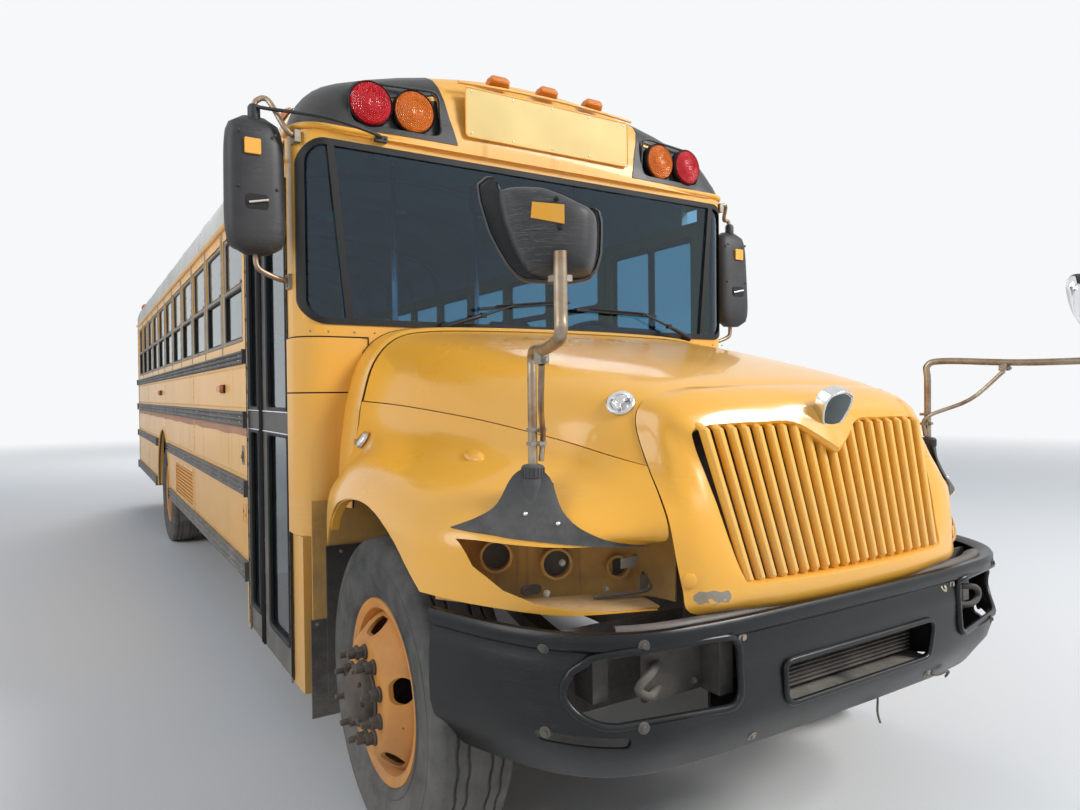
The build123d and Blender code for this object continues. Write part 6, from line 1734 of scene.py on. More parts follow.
def build_front_cap(sizes):
    """The cap over the screen, its black areas, beads and markers."""
    cap = Form("body yellow")
    rows = cap_rows()
    cap.shell(rows, -0.008)
    shell = cap.piece("cap_shell", "bus_body", "bus_yellow", replaces=("front_cap",), smooth=50)
    pocket = corner_loop(((.578, 2.672), (.995, 2.672), (.995, 2.775), (.965, 2.852),
                          (.590, 2.876)), .045)

    def pockets(*sides):
        """What the lamps' pockets take out."""
        cutter = Form("cap black")
        for side in sides:
            cutter.prism(flipped(pocket, side), at_y(COWL_Y + .020), .10)
        return cutter

    carve(shell, pockets(-1, 1))
    for name, side in SIDES:
        black = Form("cap black")
        black.shell(cap_rows(.0035), -0.005)
        piece = black.piece(f"cap_black_{name}", "bus_body", "bus_yellow", smooth=50)
        keep = Form("cap black")
        keep.prism(flipped(BLACK_AREA, side), at_y(COWL_Y + .185), .35)
        carve(piece, keep, "INTERSECT")
        carve(piece, pockets(side))
    back = Form("cap black")
    plate = corner_loop(((.565, 2.660), (1.005, 2.660), (1.005, 2.78), (.975, 2.862),
                         (.58, 2.888)), .045)
    for side in (-1, 1):
        back.prism(flipped(plate, side), at_y(COWL_Y + .024), -.008)
        back.pipe([(u, COWL_Y - .0060 + max(0, abs(u) - .75) * .05, v)
                   for u, v in flipped(pocket, side)], .006, 8, closed=True)
    back.piece("cap_pockets", "bus_body", "bus_yellow", smooth=60)
    trim = Form("body yellow")
    path = corner_path(.004)
    trim.pipe([(x, y, CAP_LOW_Z + .012) for x, y in path], .013, 12)
    lid = [(x, COWL_Y - .024 + .006 * abs(x), 2.955 - .018 * (x / .5) ** 2)
           for x in (i / 24 - .50 for i in range(25))]
    trim.pipe(lid, .007, 10)
    trim.piece("cap_beads", "bus_body", "bus_yellow", smooth=60)
    signs()
    markers = Form("marker amber")
    for x in (-.274, 0, .274):
        z = 3.000 - .075 * x * x
        y = COWL_Y - .002
        normal = Vector((0, -.90, .44)).normalized()
        across = Vector((1, 0, 0))
        up = normal.cross(across)
        if up.z < 0:
            up = -up
        center = Vector((x, y, z))
        for s, low, high in ((1.0, -.03, .004), (.86, .002, .014)):
            markers.stack(
                rounded(.120, .046, .0225, 5),
                lambda u, v, w: center + across * u + up * v + normal * w,
                ((s, low), (s, (low + high) / 2), (s * .86, high * .9), (s * .45, high)))
    for side in (-1, 1):
        for y, z in ((COWL_Y + .480, 2.822), (5.15, 2.80)):
            x = 1.143 if z > 2.81 else 1.152
            normal = Vector((side * .80, 0, .60)).normalized()
            for finish, size, low, high in (("cap black", .052, -.012, .004),
                                            ("marker amber", .044, .002, .026)):
                markers.use(finish).turned(
                    [(low, size), (high * .6, size * .96), (high, size * .45)],
                    (side * x, y, z), normal, 24)
    markers.piece("roof_markers", "bus_body", "lens_amber", smooth=60)


def corner_path(out=0.0, reach=0.195, steps=8):
    """Plan line round the cabin's front, a little outside it."""
    radius = .120 + out
    center_y = COWL_Y + .120
    right = [(-(HALF + out), COWL_Y + reach)]
    for i in range(steps + 1):
        angle = pi / 2 * i / steps
        right.append((-(HALF - .120) - radius * cos(angle), center_y - radius * sin(angle)))
    return right + [(-x, y) for x, y in reversed(right)]


def signs():
    """Blank sign boards over the windscreen and the rear door."""
    form = Form("sign yellow")
    for y, way in ((COWL_Y - .026, -1), (REAR_Y + .001, 1)):
        form.use("sign yellow").prism(rounded_at(.926, .215, .012, 0, 2.808), at_y(y, way), .007)
        edge = rounded_at(.935, .224, .014, 0, 2.808)
        form.use("body yellow").pipe([(u, y + way * .006, v) for u, v in edge], .0045, 8, True)
        for u in (-.44, -.22, 0, .22, .44):
            for v in (2.712, 2.904):
                form.use("bright metal").dome((u, y + way * .008, v), (0, way, 0), .005, .003, 8)
    form.piece("sign_boards", "bus_body", "bus_yellow", smooth=50, replaces=("sign_panels",))


def rounded_at(width, height, radius, u, v, steps=4):
    return moved(rounded(width, height, radius, steps), u, v)


def lamp(form, center, normal, radius, lens, deep=.030):
    """A round lamp: dark bezel, stepped rim and a domed lens with ring ribs."""
    form.use("seal rubber").turned(
        [(-.012, radius * 1.06), (.010, radius * 1.07), (.016, radius * 1.02), (.010, radius)],
        center, normal, 48)
    profile = [(.004, radius * .985), (.016, radius * .97)]
    for i in range(9):
        t = (i + 1) / 10
        r = radius * (1 - t * .92)
        rise = .016 + deep * .55 * (1 - (1 - t) ** 2)
        profile += [(rise + .0012, r + radius * .035), (rise - .0006, r)]
    form.use(lens).turned(profile, center, normal, 48)


SIDE_LAMP_Z = 1.565


def build_lamps(sizes):
    """Warning, tail and side lamps."""
    for color, x, nodes in (("red", .907, ("lamps_red",)), ("amber", .709, ("lamps_amber",))):
        form = Form(f"{color} lens")
        for side in (-1, 1):
            lamp(form, (side * x, COWL_Y + .004, 2.765), (side * .05, -1, 0), .092,
                 f"{color} lens")
            lamp(form, (side * x, REAR_Y - .004, 2.757), (0, 1, 0), .090, f"{color} lens")
        if color == "red":
            for side in (-1, 1):
                lamp(form, (side * 1.010, REAR_Y, 1.560), (0, 1, 0), .088, "red lens")
                lamp(form, (side * 1.010, REAR_Y, 1.250), (0, 1, 0), .070, "red lens")
        else:
            for side in (-1, 1):
                for y in (COWL_Y + 1.860, REAR_Y - 3.340):
                    for finish, w, h, low, high in (("seal rubber", .150, .052, 0, .012),
                                                    ("amber lens", .136, .040, .010, .032)):
                        form.use(finish).stack(
                            rounded(w, h, .012, 4), at_x(HALF, side, y, SIDE_LAMP_Z),
                            ((1, low), (1, high * .7), (.9, high), (.4, high + .002)))
        form.piece(f"lamps_{color}_lenses", "bus_body", f"lens_{color}", smooth=50,
                   replaces=nodes)
    tails = Form("amber lens")
    for side in (-1, 1):
        lamp(tails, (side * 1.010, REAR_Y, 1.380), (0, 1, 0), .055, "amber lens")
        lamp(tails, (side * .800, REAR_Y, 1.300), (0, 1, 0), .050, "clear lens")
        tails.use("red lens").prism(rounded_at(.09, .045, .01, side * 1.03, .80),
                                    at_y(REAR_Y, 1), .012)
    tails.piece("tail_lamps", "bus_body", "lens_amber", smooth=50)


def build_screen(sizes):
    """Wipers, their arms, the cowl's skins and the dark line round the hood."""
    wipers = Form("wiper black")
    for pivot, elbow, start, end in (
        ((-.586, 1.822), (-.222, 1.937), (-.413, 1.911), (.092, 1.967)),
        ((.877, 1.815), (.566, 1.928), (.651, 1.925), (.133, 1.935)),
    ):
        foot = Vector((pivot[0], COWL_Y - .020, pivot[1]))
        wipers.use("wiper black").turned(
            [(-.02, .021), (.020, .021), (.026, .018), (.032, .008)], foot, (0, -1, .1), 24)
        foot += Vector((0, -.026, 0))
        head = Vector((elbow[0], COWL_Y - .046, elbow[1]))
        arm = [foot.lerp(head, t) + Vector((0, -.012 * sin(pi * t), 0)) for t in
               (0, .1, .3, .5, .52, .75, 1)]
        wipers.pipe(arm, (.012, .0115, .0105, .0095, .0065, .0055, .005), 10)
        wipers.slab(arm[3], (.026, .020, .022))
        wipers.slab(head + Vector((0, .006, 0)), (.036, .016, .014))
        first = Vector((start[0], COWL_Y - .030, start[1]))
        last = Vector((end[0], COWL_Y - .030, end[1]))
        blade = [first.lerp(last, t / 12) + Vector((0, -.004 - .006 * sin(pi * t / 12), 0))
                 for t in range(13)]
        wipers.strip(blade, [(-.006, -.004), (.006, -.004), (.006, .004), (-.006, .004)], (0, 0, 1))
        wipers.pipe([p + Vector((0, -.010, .008)) for p in blade[2:11]], .0035, 6)
        wipers.use("seal rubber").strip([p + Vector((0, .010, -.004)) for p in blade],
                                        [(-.003, -.004), (.010, -.004), (.010, .006),
                                         (-.003, .006)], (0, 0, 1))
    wipers.piece("wipers", "bus_body", "seal_rubber", smooth=50)
    panels = Form("body yellow")
    for low, high, reach in ((.935, 1.527, .192), (1.533, 1.760, .192)):
        for side in (-1, 1):
            path = corner_path(.0035, reach)
            half = [(x, y) for x, y in path if side * x > .96]
            if side > 0:
                half.reverse()
            rows = [[Vector((x, y, z)) for x, y in half] for z in (low, high)]
            inner = Vector((side * .96, COWL_Y - .0035, 0))
            rows = [[*row, Vector((inner.x, inner.y, row[0].z))] for row in rows]
            panels.use("body yellow").shell(rows, -side * .003)
    for side in (-1, 1):
        for z in (1.530, 1.7635):
            half = [(x, y) for x, y in corner_path(.001) if side * x > .96]
            half.insert(0 if abs(half[0][0]) < abs(half[-1][0]) else len(half),
                        (side * .93, COWL_Y - .003))
            panels.use("seal rubber").pipe([(x, y, z) for x, y in half], .003, 6)
        for z in (1.545, 1.745, 1.515, 1.24, .96):
            panels.use("bright metal").dome((side * (HALF + .0035), COWL_Y + .178, z),
                                            (side, 0, 0), .0055, .003)
        panels.use("seal rubber").pipe([(side * .93, COWL_Y - .003, z) for z in (1.7635, 1.62)],
                                       .002, 6)
        for x in (1.175, 1.10, .99, .90, .80, .69, .40, .25, .10):
            panels.use("dull zinc").dome((side * x, COWL_Y - .001, 1.785), (0, -1, 0), .005, .003)
    panels.piece("cowl_skins", "bus_body", "bus_yellow", smooth=50)
    collar = Form("body yellow")
    first = [Vector((x, COWL_Y, z)) for x, _, z in HOOD_ROWS[0]]
    line = flow([*first[:7], *(Vector((x, COWL_Y, z)) for x, z in
                               ((1.034, 1.30), (1.043, 1.18), (1.050, 1.06)))], 4)
    loop = both_halves([line])[0]
    grown = []
    for reach, ahead in ((.026, 0.0), (.025, .060), (.020, .115), (.006, .141), (-.004, .143),
                         (-.012, .060)):
        row = []
        for i, p in enumerate(loop):
            along = (loop[min(i + 1, len(loop) - 1)] - loop[max(i - 1, 0)]).normalized()
            out = Vector((-along.z, 0, along.x))
            if out.z < 0 and abs(p.x) < .9:
                out = -out
            if p.x > .5 and out.x < 0 or p.x < -.5 and out.x > 0:
                out = -out
            row.append(p + out * reach + Vector((0, -ahead, 0)))
        grown.append(row)
    collar.use("body yellow").shell(flow_grid(grown[:4], 1, 3), .004)
    # The black rubber strip between the collar and the hood is a painted shadow line: it stands for
    # the thin shade in the gap there.
    collar.use("seal rubber").shell(
        [[q + Vector((0, .006, 0)) for q in row] for row in grown[3:5]], .006)
    collar.pipe([p + Vector((0, -.004, 0)) for p in grown[0]], .0028, 6)
    collar.piece("cowl_collar", "bus_body", "bus_yellow", smooth=50)
    liners = Form("bucket yellow")
    for side in (-1, 1):
        liners.use("bucket yellow").slab((side * .955, COWL_Y - .050, .830), (.480, .008, .520))
        liners.use("mud flap").slab((side * .955, COWL_Y - .056, .405), (.500, .010, .400))
        for x in (.74, .90, 1.06, 1.18):
            liners.use("dull zinc").bolt((side * x, COWL_Y - .060, .588), (0, -1, 0), .010, .007)
    liners.piece("wheel_liners", "bus_body", "seal_rubber", bevel=.002)


# Wheels

TIRE_WALL = (
    (.104, .296), (.108, .306), (.119, .318), (.126, .330), (.127, .338), (.123, .343),
    (.129, .362), (.1355, .392), (.1375, .420), (.1370, .436), (.1385, .438), (.1385, .446),
    (.1360, .448), (.1330, .466), (.1280, .482), (.1240, .490), (.1190, .500), (.1130, .5075),
)
TREAD = (
    (.1040, .5120, 0), (.0850, .5138, 0), (.0800, .5142, 1), (.0785, .0, 2), (.0700, .0, 2),
    (.0685, .5146, 1), (.0560, .5148, 0), (.0430, TREAD_R, 1), (.0415, .0, 2), (.0330, .0, 2),
    (.0315, TREAD_R, 1), (.0120, TREAD_R, 0),
)


def tire(form, x, axle_y, sizes):
    """One tire: round walls, ribbed tread with wavy grooves and cut shoulders."""
    blocks = sizes.tread_blocks
    steps = blocks * 4
    half = [(u, r, 0) for u, r in TIRE_WALL] + list(TREAD)
    profile = half + [(-u, r, k) for u, r, k in reversed(half)]
    rings = []
    for i in range(steps):
        angle = 2 * pi * i / steps
        wave = .0022 if i % 8 < 4 else -.0022
        ring_points = []
        for u, r, kind in profile:
            radius = r
            shift = wave if kind else 0.0
            if kind == 2:
                radius = TREAD_R - sizes.groove_depth
            if not kind and abs(u) > .1 and r > .498:
                radius = r - (.0045 if i % 4 == 0 else 0.0)
            ring_points.append(Vector((x + u + shift, axle_y - radius * cos(angle),
                                       AXLE_Z + radius * sin(angle))))
        rings.append(ring_points)
    form.rings(rings, closed=True)


def rim(form, x, axle_y):
    """The drop-centre rim that carries a tire."""
    form.use("rim paint").hoop([
        (-.117, .296), (-.116, .306), (-.110, .309), (-.104, .303), (-.102, .288), (-.088, .282),
        (-.060, .268), (.060, .268), (.088, .282), (.102, .288), (.104, .303), (.110, .309),
        (.116, .306), (.117, .296), (.108, .274), (.064, .258), (-.064, .258), (-.108, .274),
    ], (x, axle_y, AXLE_Z), (1, 0, 0), 72)


def wheel_disc(form, x, axle_y, disc):
    """The dished disc of a wheel; disc is the side that it bulges to."""
    form.use("rim paint").hoop([
        (disc * .062, .258), (disc * .080, .2575), (disc * .112, .238), (disc * .140, .214),
        (disc * .158, .197), (disc * .166, .186), (disc * .168, .176), (disc * .168, .104),
        (disc * .155, .104), (disc * .155, .178), (disc * .148, .192), (disc * .100, .234),
        (disc * .062, .248),
    ], (x, axle_y, AXLE_Z), (1, 0, 0), 72)


def hand_holes(axle_y, x, count, radius):
    """Cutters for the oval hand holes in a wheel's disc."""
    form = Form("rim paint")
    for i in range(count):
        angle = 2 * pi * (i + .25) / count
        out = Vector((0, cos(angle), sin(angle)))
        flat = Vector((0, -sin(angle), cos(angle)))
        center = Vector((x, axle_y, AXLE_Z)) + out * radius
        outline = rounded(.082, .050, .0245, 5)
        form.rings([[center + Vector((w, 0, 0)) + flat * u + out * v for u, v in outline]
                    for w in (-.16, .16)])
    return form


def hub_pieces(form, side, axle_y, face_x, end_x, long_studs):
    """Hub, its cap and the ten studs with their nuts."""
    form.use("hub black").turned([
        (0, .112), (.006, .112), (.010, .104), (.030, .100), (.038, .094),
        (end_x - face_x - .045, .088), (end_x - face_x - .038, .092),
        (end_x - face_x - .022, .092), (end_x - face_x - .016, .082),
        (end_x - face_x - .004, .070), (end_x - face_x, .046),
    ], (side * face_x, axle_y, AXLE_Z), (side, 0, 0), 40)
    for i in range(8):
        angle = 2 * pi * i / 8
        form.bolt((side * (end_x - .016), axle_y + .080 * cos(angle), AXLE_Z + .080 * sin(angle)),
                  (side, 0, 0), .012, .008)
    for i in range(10):
        angle = 2 * pi * (i + .5) / 10
        y, z = axle_y + .1429 * cos(angle), AXLE_Z + .1429 * sin(angle)
        at = Vector((side * face_x, y, z))
        form.use("hub black").turned([(-.002, .0250), (.007, .0250), (.009, .0225)], at,
                                     (side, 0, 0), 20)
        axis = Vector((side, 0, 0))
        across, up = Vector((0, 1, 0)), Vector((0, 0, 1))
        form.rings([ring(at + axis * w, r, 6, across, up, angle)
                    for w, r in ((.006, .0200), (.031, .0200), (.034, .0175))])
        form.turned([(.02, .0105), (long_studs, .0105), (long_studs + .003, .0085)], at,
                    (side, 0, 0), 12)


# Each axle: its place, its discs as (name, side, way), where its hand holes are cut, its hub's
# flange, face and bore, and its drum's place, depth and bore with its shaft's radius and length
AXLES = (
    ("front", FRONT_AXLE_Y, (("front", FRONT_WHEEL_X, 1),), 1.140,
     (1.188, 1.245, .060), (.945, .12, .040, .086, .240)),
    ("rear", REAR_AXLE_Y, (("rear_inner", DUAL_X[0], 1), ("rear_outer", DUAL_X[1], -1)), .900,
     (.900, 1.030, .045), (.665, .16, .050, .090, .235)),
)


def build_wheels(sizes):
    """Treaded tyres, rims, discs and hubs of all four wheels."""
    for name, side in SIDES:
        for axle, y, discs, holes_x, hub_sizes, (drum_x, depth, bore, shaft, length) in AXLES:
            body = f"{axle}_wheel_{name}"
            tread, wheel = Form("tire rubber"), Form("rim paint")
            for place, x, way in discs:
                tire(tread, side * x, y, sizes)
                rim(wheel, side * x, y)
                disc = Form("rim paint")
                wheel_disc(disc, side * x, y, side * way)
                piece = disc.piece(f"disc_{place}_{name}", body, "wheel_paint", smooth=40)
                carve(piece, hand_holes(y, side * holes_x, 5, .222))
            tread.piece(f"tire_tread_{axle}_{name}", body, "tire_rubber",
                        replaces=(f"tire_{axle}_{name}",), smooth=38)
            wheel.piece(f"rim_{axle}_{name}", body, "wheel_paint",
                        replaces=(f"wheel_{axle}_{name}",), smooth=40)
            hub = Form("hub black")
            hub_pieces(hub, side, y, *hub_sizes)
            place, along = (side * drum_x, y, AXLE_Z), (side, 0, 0)
            hub.hoop([(0, bore), (0, .200), (depth, .200), (depth, .185), (.01, .185),
                      (.01, bore)], place, along, 40)
            hub.turned([(0, shaft), (length, shaft)], place, along, 32)
            hub.piece(f"hub_{axle}_{name}", body, "wheel_paint", smooth=40)


# Rivets, seams and fittings of the body's sides

RAIL_HEIGHTS = ((1.695, 1.767), (1.351, 1.435), (.981, 1.063), (.529, .627))
RAIL_BREAKS = ((0, 0), (0, 0), (-.520, .520), (-.640, .640))
WINDOW_LOW_Z = 1.817
WINDOW_MID_Z = 2.133
WINDOW_HIGH_Z = 2.460
WALL_END_Y = 5.380
ARCH_Z = .600
SIDE_ARCH_R = .580
DRIVER_WINDOW = (-3.400, .800, 1.700)
RIBBED = (
    (.000, -.004), (.000, .010), (.004, .020), (.013, .0225), (.020, .019), (.0235, .011),
    (.030, .0105), (.034, .018), (.042, .0225), (.050, .018), (.054, .0105), (.0605, .011),
    (.064, .019), (.071, .0225), (.080, .020), (.084, .010), (.084, -.004),
)


def rivets(form, start, end, normal, sizes, count=0):
    """A row of round heads from one point to another."""
    start, end = Vector(start), Vector(end)
    count = count or max(2, int((end - start).length / sizes.rivet_pitch))
    for i in range(count):
        form.dome(start.lerp(end, (i + .5) / count), normal, sizes.rivet_radius, .0042, 6)


def in_arch(y, z, room=0.0):
    return hypot(y - REAR_AXLE_Y, z - ARCH_Z) < SIDE_ARCH_R + room or (
        abs(y - REAR_AXLE_Y) < SIDE_ARCH_R + room and z < ARCH_Z)


def rail_spans(index, side):
    start = DOOR_END_Y + .004 if side < 0 else DOOR_Y + .020
    low, high = RAIL_BREAKS[index]
    if low == high:
        return ((start, WALL_END_Y),)
    return ((start, REAR_AXLE_Y + low), (REAR_AXLE_Y + high, WALL_END_Y))


def build_rub_rails(sizes):
    """Ribbed rails with end caps and the heads of their screws, one piece a side."""
    for name, side in SIDES:
        form = Form("trim black")
        for index, (low, high) in enumerate(RAIL_HEIGHTS):
            scale = (high - low) / .084
            section = [(u * scale, v) for u, v in RIBBED]
            for start, end in rail_spans(index, side):
                path = [(side * HALF, start + .010 + (end - start - .020) * i / 8, low)
                        for i in range(9)]
                form.use("trim black").rings([
                    [Vector((p[0] + side * v, p[1], p[2] + u)) for u, v in section] for p in path])
                for y in (start + .006, end - .006):
                    form.slab((side * (HALF + .011), y, (low + high) / 2),
                              (.030, .012, high - low + .006))
                steps = max(2, int((end - start) / .34))
                for i in range(steps):
                    y = start + (i + .5) * (end - start) / steps
                    for z in (low + (high - low) * .30, low + (high - low) * .68):
                        form.use("bright metal").dome((side * (HALF + .0108), y, z),
                                                      (side, 0, 0), .0050, .0030, 6)
        form.piece(f"rub_rails_{name}", "bus_body", "rail_black", smooth=40,
                   replaces=("rub_rails",))


def panel_seams():
    """Where two skin panels of a side meet, as places along the bus."""
    return [post_y(i) for i in (3, 6, 9)]


def build_side_skins(sizes):
    """Rivet rows, lap seams, the faded strip, louvres, latch box and the panels' edges."""
    for name, side in SIDES:
        form = Form("body yellow")
        start = DOOR_END_Y + .010 if side < 0 else DOOR_Y + .015
        out = side * HALF
        bands = ((.640, .970), (1.075, 1.340), (1.446, 1.684))
        for low, high in bands:
            for y in panel_seams():
                if in_arch(y, low, .03) or in_arch(y, high, .03):
                    continue
                form.use("body yellow").prism(
                    [(y - .030, low), (y + .002, low), (y + .002, high), (y - .030, high)],
                    at_x(HALF - .001, side), .0022)
                for dy in (-.021, -.008):
                    rivets(form, (out + side * .0012, y + dy, low + .008),
                           (out + side * .0012, y + dy, high - .008), (side, 0, 0), sizes)
        rows = ((1.676, .075), (1.456, .075), (1.086, .09), (.642, .09))
        for z, pitch in rows:
            count = int((WALL_END_Y - start) / pitch)
            for i in range(count):
                y = start + (i + .5) * pitch
                if not in_arch(y, z, .04):
                    form.use("body yellow").dome((out, y, z), (side, 0, 0), sizes.rivet_radius,
                                                 .0042, 6)
        form.use("faded red")
        for i in range(24):
            y = start + .02 + i * (WALL_END_Y - start - .04) / 24
            end = start + .02 + (i + 1) * (WALL_END_Y - start - .04) / 24
            wave = .006 * sin(i * 2.3)
            form.prism([(y, 1.300 + wave), (end, 1.300 + .006 * sin((i + 1) * 2.3)),
                        (end, 1.352), (y, 1.352)], at_x(HALF - .0008, side), .0016)
        angle_low = -atan2(ARCH_Z - .530, SIDE_ARCH_R)
        lip = []
        for i in range(41):
            angle = angle_low + (pi - 2 * angle_low) * i / 40
            lip.append((out, REAR_AXLE_Y + (SIDE_ARCH_R + .004) * cos(angle),
                        max(.532, ARCH_Z + (SIDE_ARCH_R + .004) * sin(angle))))
        form.use("body yellow").pipe(lip, .0085, 8)
        form.use("trim black").pipe([(x - side * .012, y, z) for x, y, z in lip], .0065, 8)
        for i in range(2, 39, 2):
            x, y, z = lip[i]
            away = (Vector((x, y, z)) - Vector((out, REAR_AXLE_Y, ARCH_Z))).normalized()
            form.use("body yellow").dome(Vector((x, y, z)) + away * .026, (side, 0, 0),
                                         sizes.rivet_radius, .0042, 6)
        for y in (WALL_END_Y - .012, WALL_END_Y - .028):
            rivets(form, (out, y, .66), (out, y, 2.44), (side, 0, 0), sizes)
        edges = ((DOOR_END_Y + .026, .66), (DOOR_END_Y + .046, .66)) if side < 0 else (
            (DOOR_Y + .012, .66),)
        for y, low in edges:
            rivets(form, (out, y, low), (out, y, 2.46), (side, 0, 0), sizes)
        form.use("seal rubber").pipe([(out + side * .0006, WALL_END_Y, .56),
                                      (out + side * .0006, WALL_END_Y, 2.50)], .0035, 6)
        if side < 0:
            vent(form)
            latch_box(form, -2.410, 1.195)
            for y, z, w, h in ((-2.43, .875, .085, .100), (-2.36, .600, .16, .05)):
                edge = [Vector((-(HALF + .0012), y + a, z + b))
                        for a, b in rounded(w, h, .008, 3)]
                form.use("body yellow").pipe(edge, .0022, 6, closed=True)
            for y, z in ((-2.40, .885), (-2.46, .87)):
                form.use("dull zinc").dome((-(HALF + .001), y, z), (-1, 0, 0), .009, .005, 10)
        else:
            for y, z, w, h in ((-2.10, .82, .62, .40), (2.86, .80, .56, .36), (.62, .82, .50, .36)):
                edge = [Vector((HALF + .0012, y + a, z + b)) for a, b in rounded(w, h, .03, 4)]
                form.use("body yellow").prism(moved(rounded(w, h, .03, 4), y, z),
                                              at_x(HALF - .001), .0030)
                form.use("seal rubber").pipe(edge, .0028, 6, closed=True)
                form.use("dull zinc").bolt((HALF + .002, y + w * .38, z), (1, 0, 0), .016, .010)
                for dz in (-h * .32, h * .32):
                    form.turned([(-.03, .007), (.03, .007)], (HALF + .006, y - w / 2, z + dz),
                                (0, 0, 1), 10)
        form.piece(f"side_skin_{name}", "bus_body", "bus_yellow", smooth=40)


def vent(form):
    """Frame, blades and screws round the louvred opening in the right skirt."""
    middle_y, middle_z, width, height = .265, .790, 1.150, .260
    border = moved(rounded(width + .07, height + .07, .012, 3), middle_y, middle_z)
    hole = moved(rounded(width + .004, height + .004, .004, 3), middle_y, middle_z)
    rings = []
    for outline, lift in ((border, -.004), (border, .0032), (hole, .0045), (hole, -.004)):
        rings.append([Vector((-(HALF + lift), y, z)) for y, z in outline])
    form.use("body yellow").rings(rings, closed=True)
    for i in range(9):
        z = middle_z - height / 2 + (i + .5) * height / 9
        blade = ((-.018, -.006), (-.004, -.011), (.0045, -.009), (-.004, -.0075), (-.018, .000))
        form.rings([[Vector((-(HALF + u), y, z + v + .006)) for u, v in blade]
                    for y in (middle_y - width / 2 + .002, middle_y + width / 2 - .002)])
    for dy in (-.56, -.28, 0, .28, .56):
        for dz in (-.147, .147):
            form.use("dull zinc").dome((-(HALF + .003), middle_y + dy * 1.04, middle_z + dz),
                                       (-1, 0, 0), .007, .004, 8)


def latch_box(form, y, z):
    """A pale recessed plate with its lock, by the door's rear edge."""
    form.use("dull zinc").prism(moved(rounded(.062, .105, .008, 3), y, z), at_x(HALF - .001, -1),
                                .004)
    form.use("seal rubber").prism(moved(rounded(.040, .060, .006, 3), y, z - .008),
                                  at_x(HALF + .002, -1), .0022)
    form.use("dull zinc").turned([(-.002, .012), (.008, .012), (.010, .009)],
                                 (-(HALF + .003), y, z - .008), (-1, 0, 0), 16)
    form.slab((-(HALF + .012), y, z - .008), (.004, .004, .018))


def post_y(i):
    """The middle of a window post."""
    return WINDOW_Y - .049 + i * WINDOW_PITCH


def build_windows(sizes):
    """Posts, split sashes with their gaskets and finger latches, sills and the driver's window."""
    for name, side in SIDES:
        posts = Form("body yellow")
        frames = Form("sash grey")
        out = side * HALF
        for i in range(WINDOW_COUNT + 1):
            y = post_y(i)
            outline = [(y - .042, 0), (y - .030, .006), (y - .012, .0085), (y + .012, .0085),
                       (y + .030, .006), (y + .042, 0)]
            rings = [[Vector((out + side * (v - .003), u, z)) for u, v in outline]
                     for z in (1.772, 2.20, 2.512)]
            posts.use("sash grey" if 0 < i < WINDOW_COUNT else "body yellow").rings(rings)
            face = out + side * .0035
            for dy in (-.026, .026):
                rivets(posts, (face, y + dy, 1.80), (face, y + dy, 2.49), (side, 0, 0), sizes, 8)
        end_y = WINDOW_Y + (WINDOW_COUNT - 1) * WINDOW_PITCH + WINDOW_WIDTH
        posts.use("body yellow").strip(
            [(out, WINDOW_Y - .05 + (end_y - WINDOW_Y + .10) * i / 12, 1.770) for i in range(13)],
            [(0, -.003), (.003, side * -.010), (.034, side * -.006), (.040, -.003)]
            if side < 0 else [(0, .003), (.003, -.010), (.034, -.006), (.040, .003)], (0, 0, 1))
        posts.piece(f"window_posts_{name}", "bus_body", "bus_yellow", smooth=35)
        for i in range(WINDOW_COUNT):
            y = WINDOW_Y + WINDOW_WIDTH / 2 + i * WINDOW_PITCH
            for low, high, depth in ((WINDOW_LOW_Z, WINDOW_MID_Z + .010, .004),
                                     (WINDOW_MID_Z - .010, WINDOW_HIGH_Z, -.004)):
                sash(frames, side, y, low, high, WINDOW_WIDTH, depth)
            for dy in (-.235, .235):
                frames.use("dull zinc").slab((out - side * .006, y + dy, WINDOW_MID_Z + .020),
                                             (.010, .034, .016))
        if side > 0:
            front, width, sill = DRIVER_WINDOW
            reach = width / 2 + .005
            for start in (front, front + width - reach):
                sash(frames, side, start + reach / 2, sill, WINDOW_HIGH_Z, reach, .002)
        frames.piece(f"window_sashes_{name}", "bus_body", "sash_paint", smooth=40,
                     replaces=("window_frames",))


def sash(form, side, y, low, high, width, depth):
    """One sash: a moulded frame with the rubber that holds its pane."""
    outline = rounded(width - .004, high - low - .004, .022, 4)
    middle = (low + high) / 2
    out = HALF - .004 + depth
    section = ((.000, -.024), (.000, -.002), (.003, .001), (.017, .001), (.021, -.003),
               (.0225, -.012), (.0225, -.024))

    def loop(inset, lift):
        a = (width - .004 - 2 * inset) / (width - .004)
        b = (high - low - .004 - 2 * inset) / (high - low - .004)
        return [Vector((side * (out + lift), y + u * a, middle + v * b)) for u, v in outline]

    form.use("sash grey").rings([loop(u, v) for u, v in section], closed=True)
    rubber = ((.0215, -.018), (.0215, -.005), (.026, -.0035), (.031, -.009), (.031, -.018))
    form.use("seal rubber").rings([loop(u, v) for u, v in rubber], closed=True)


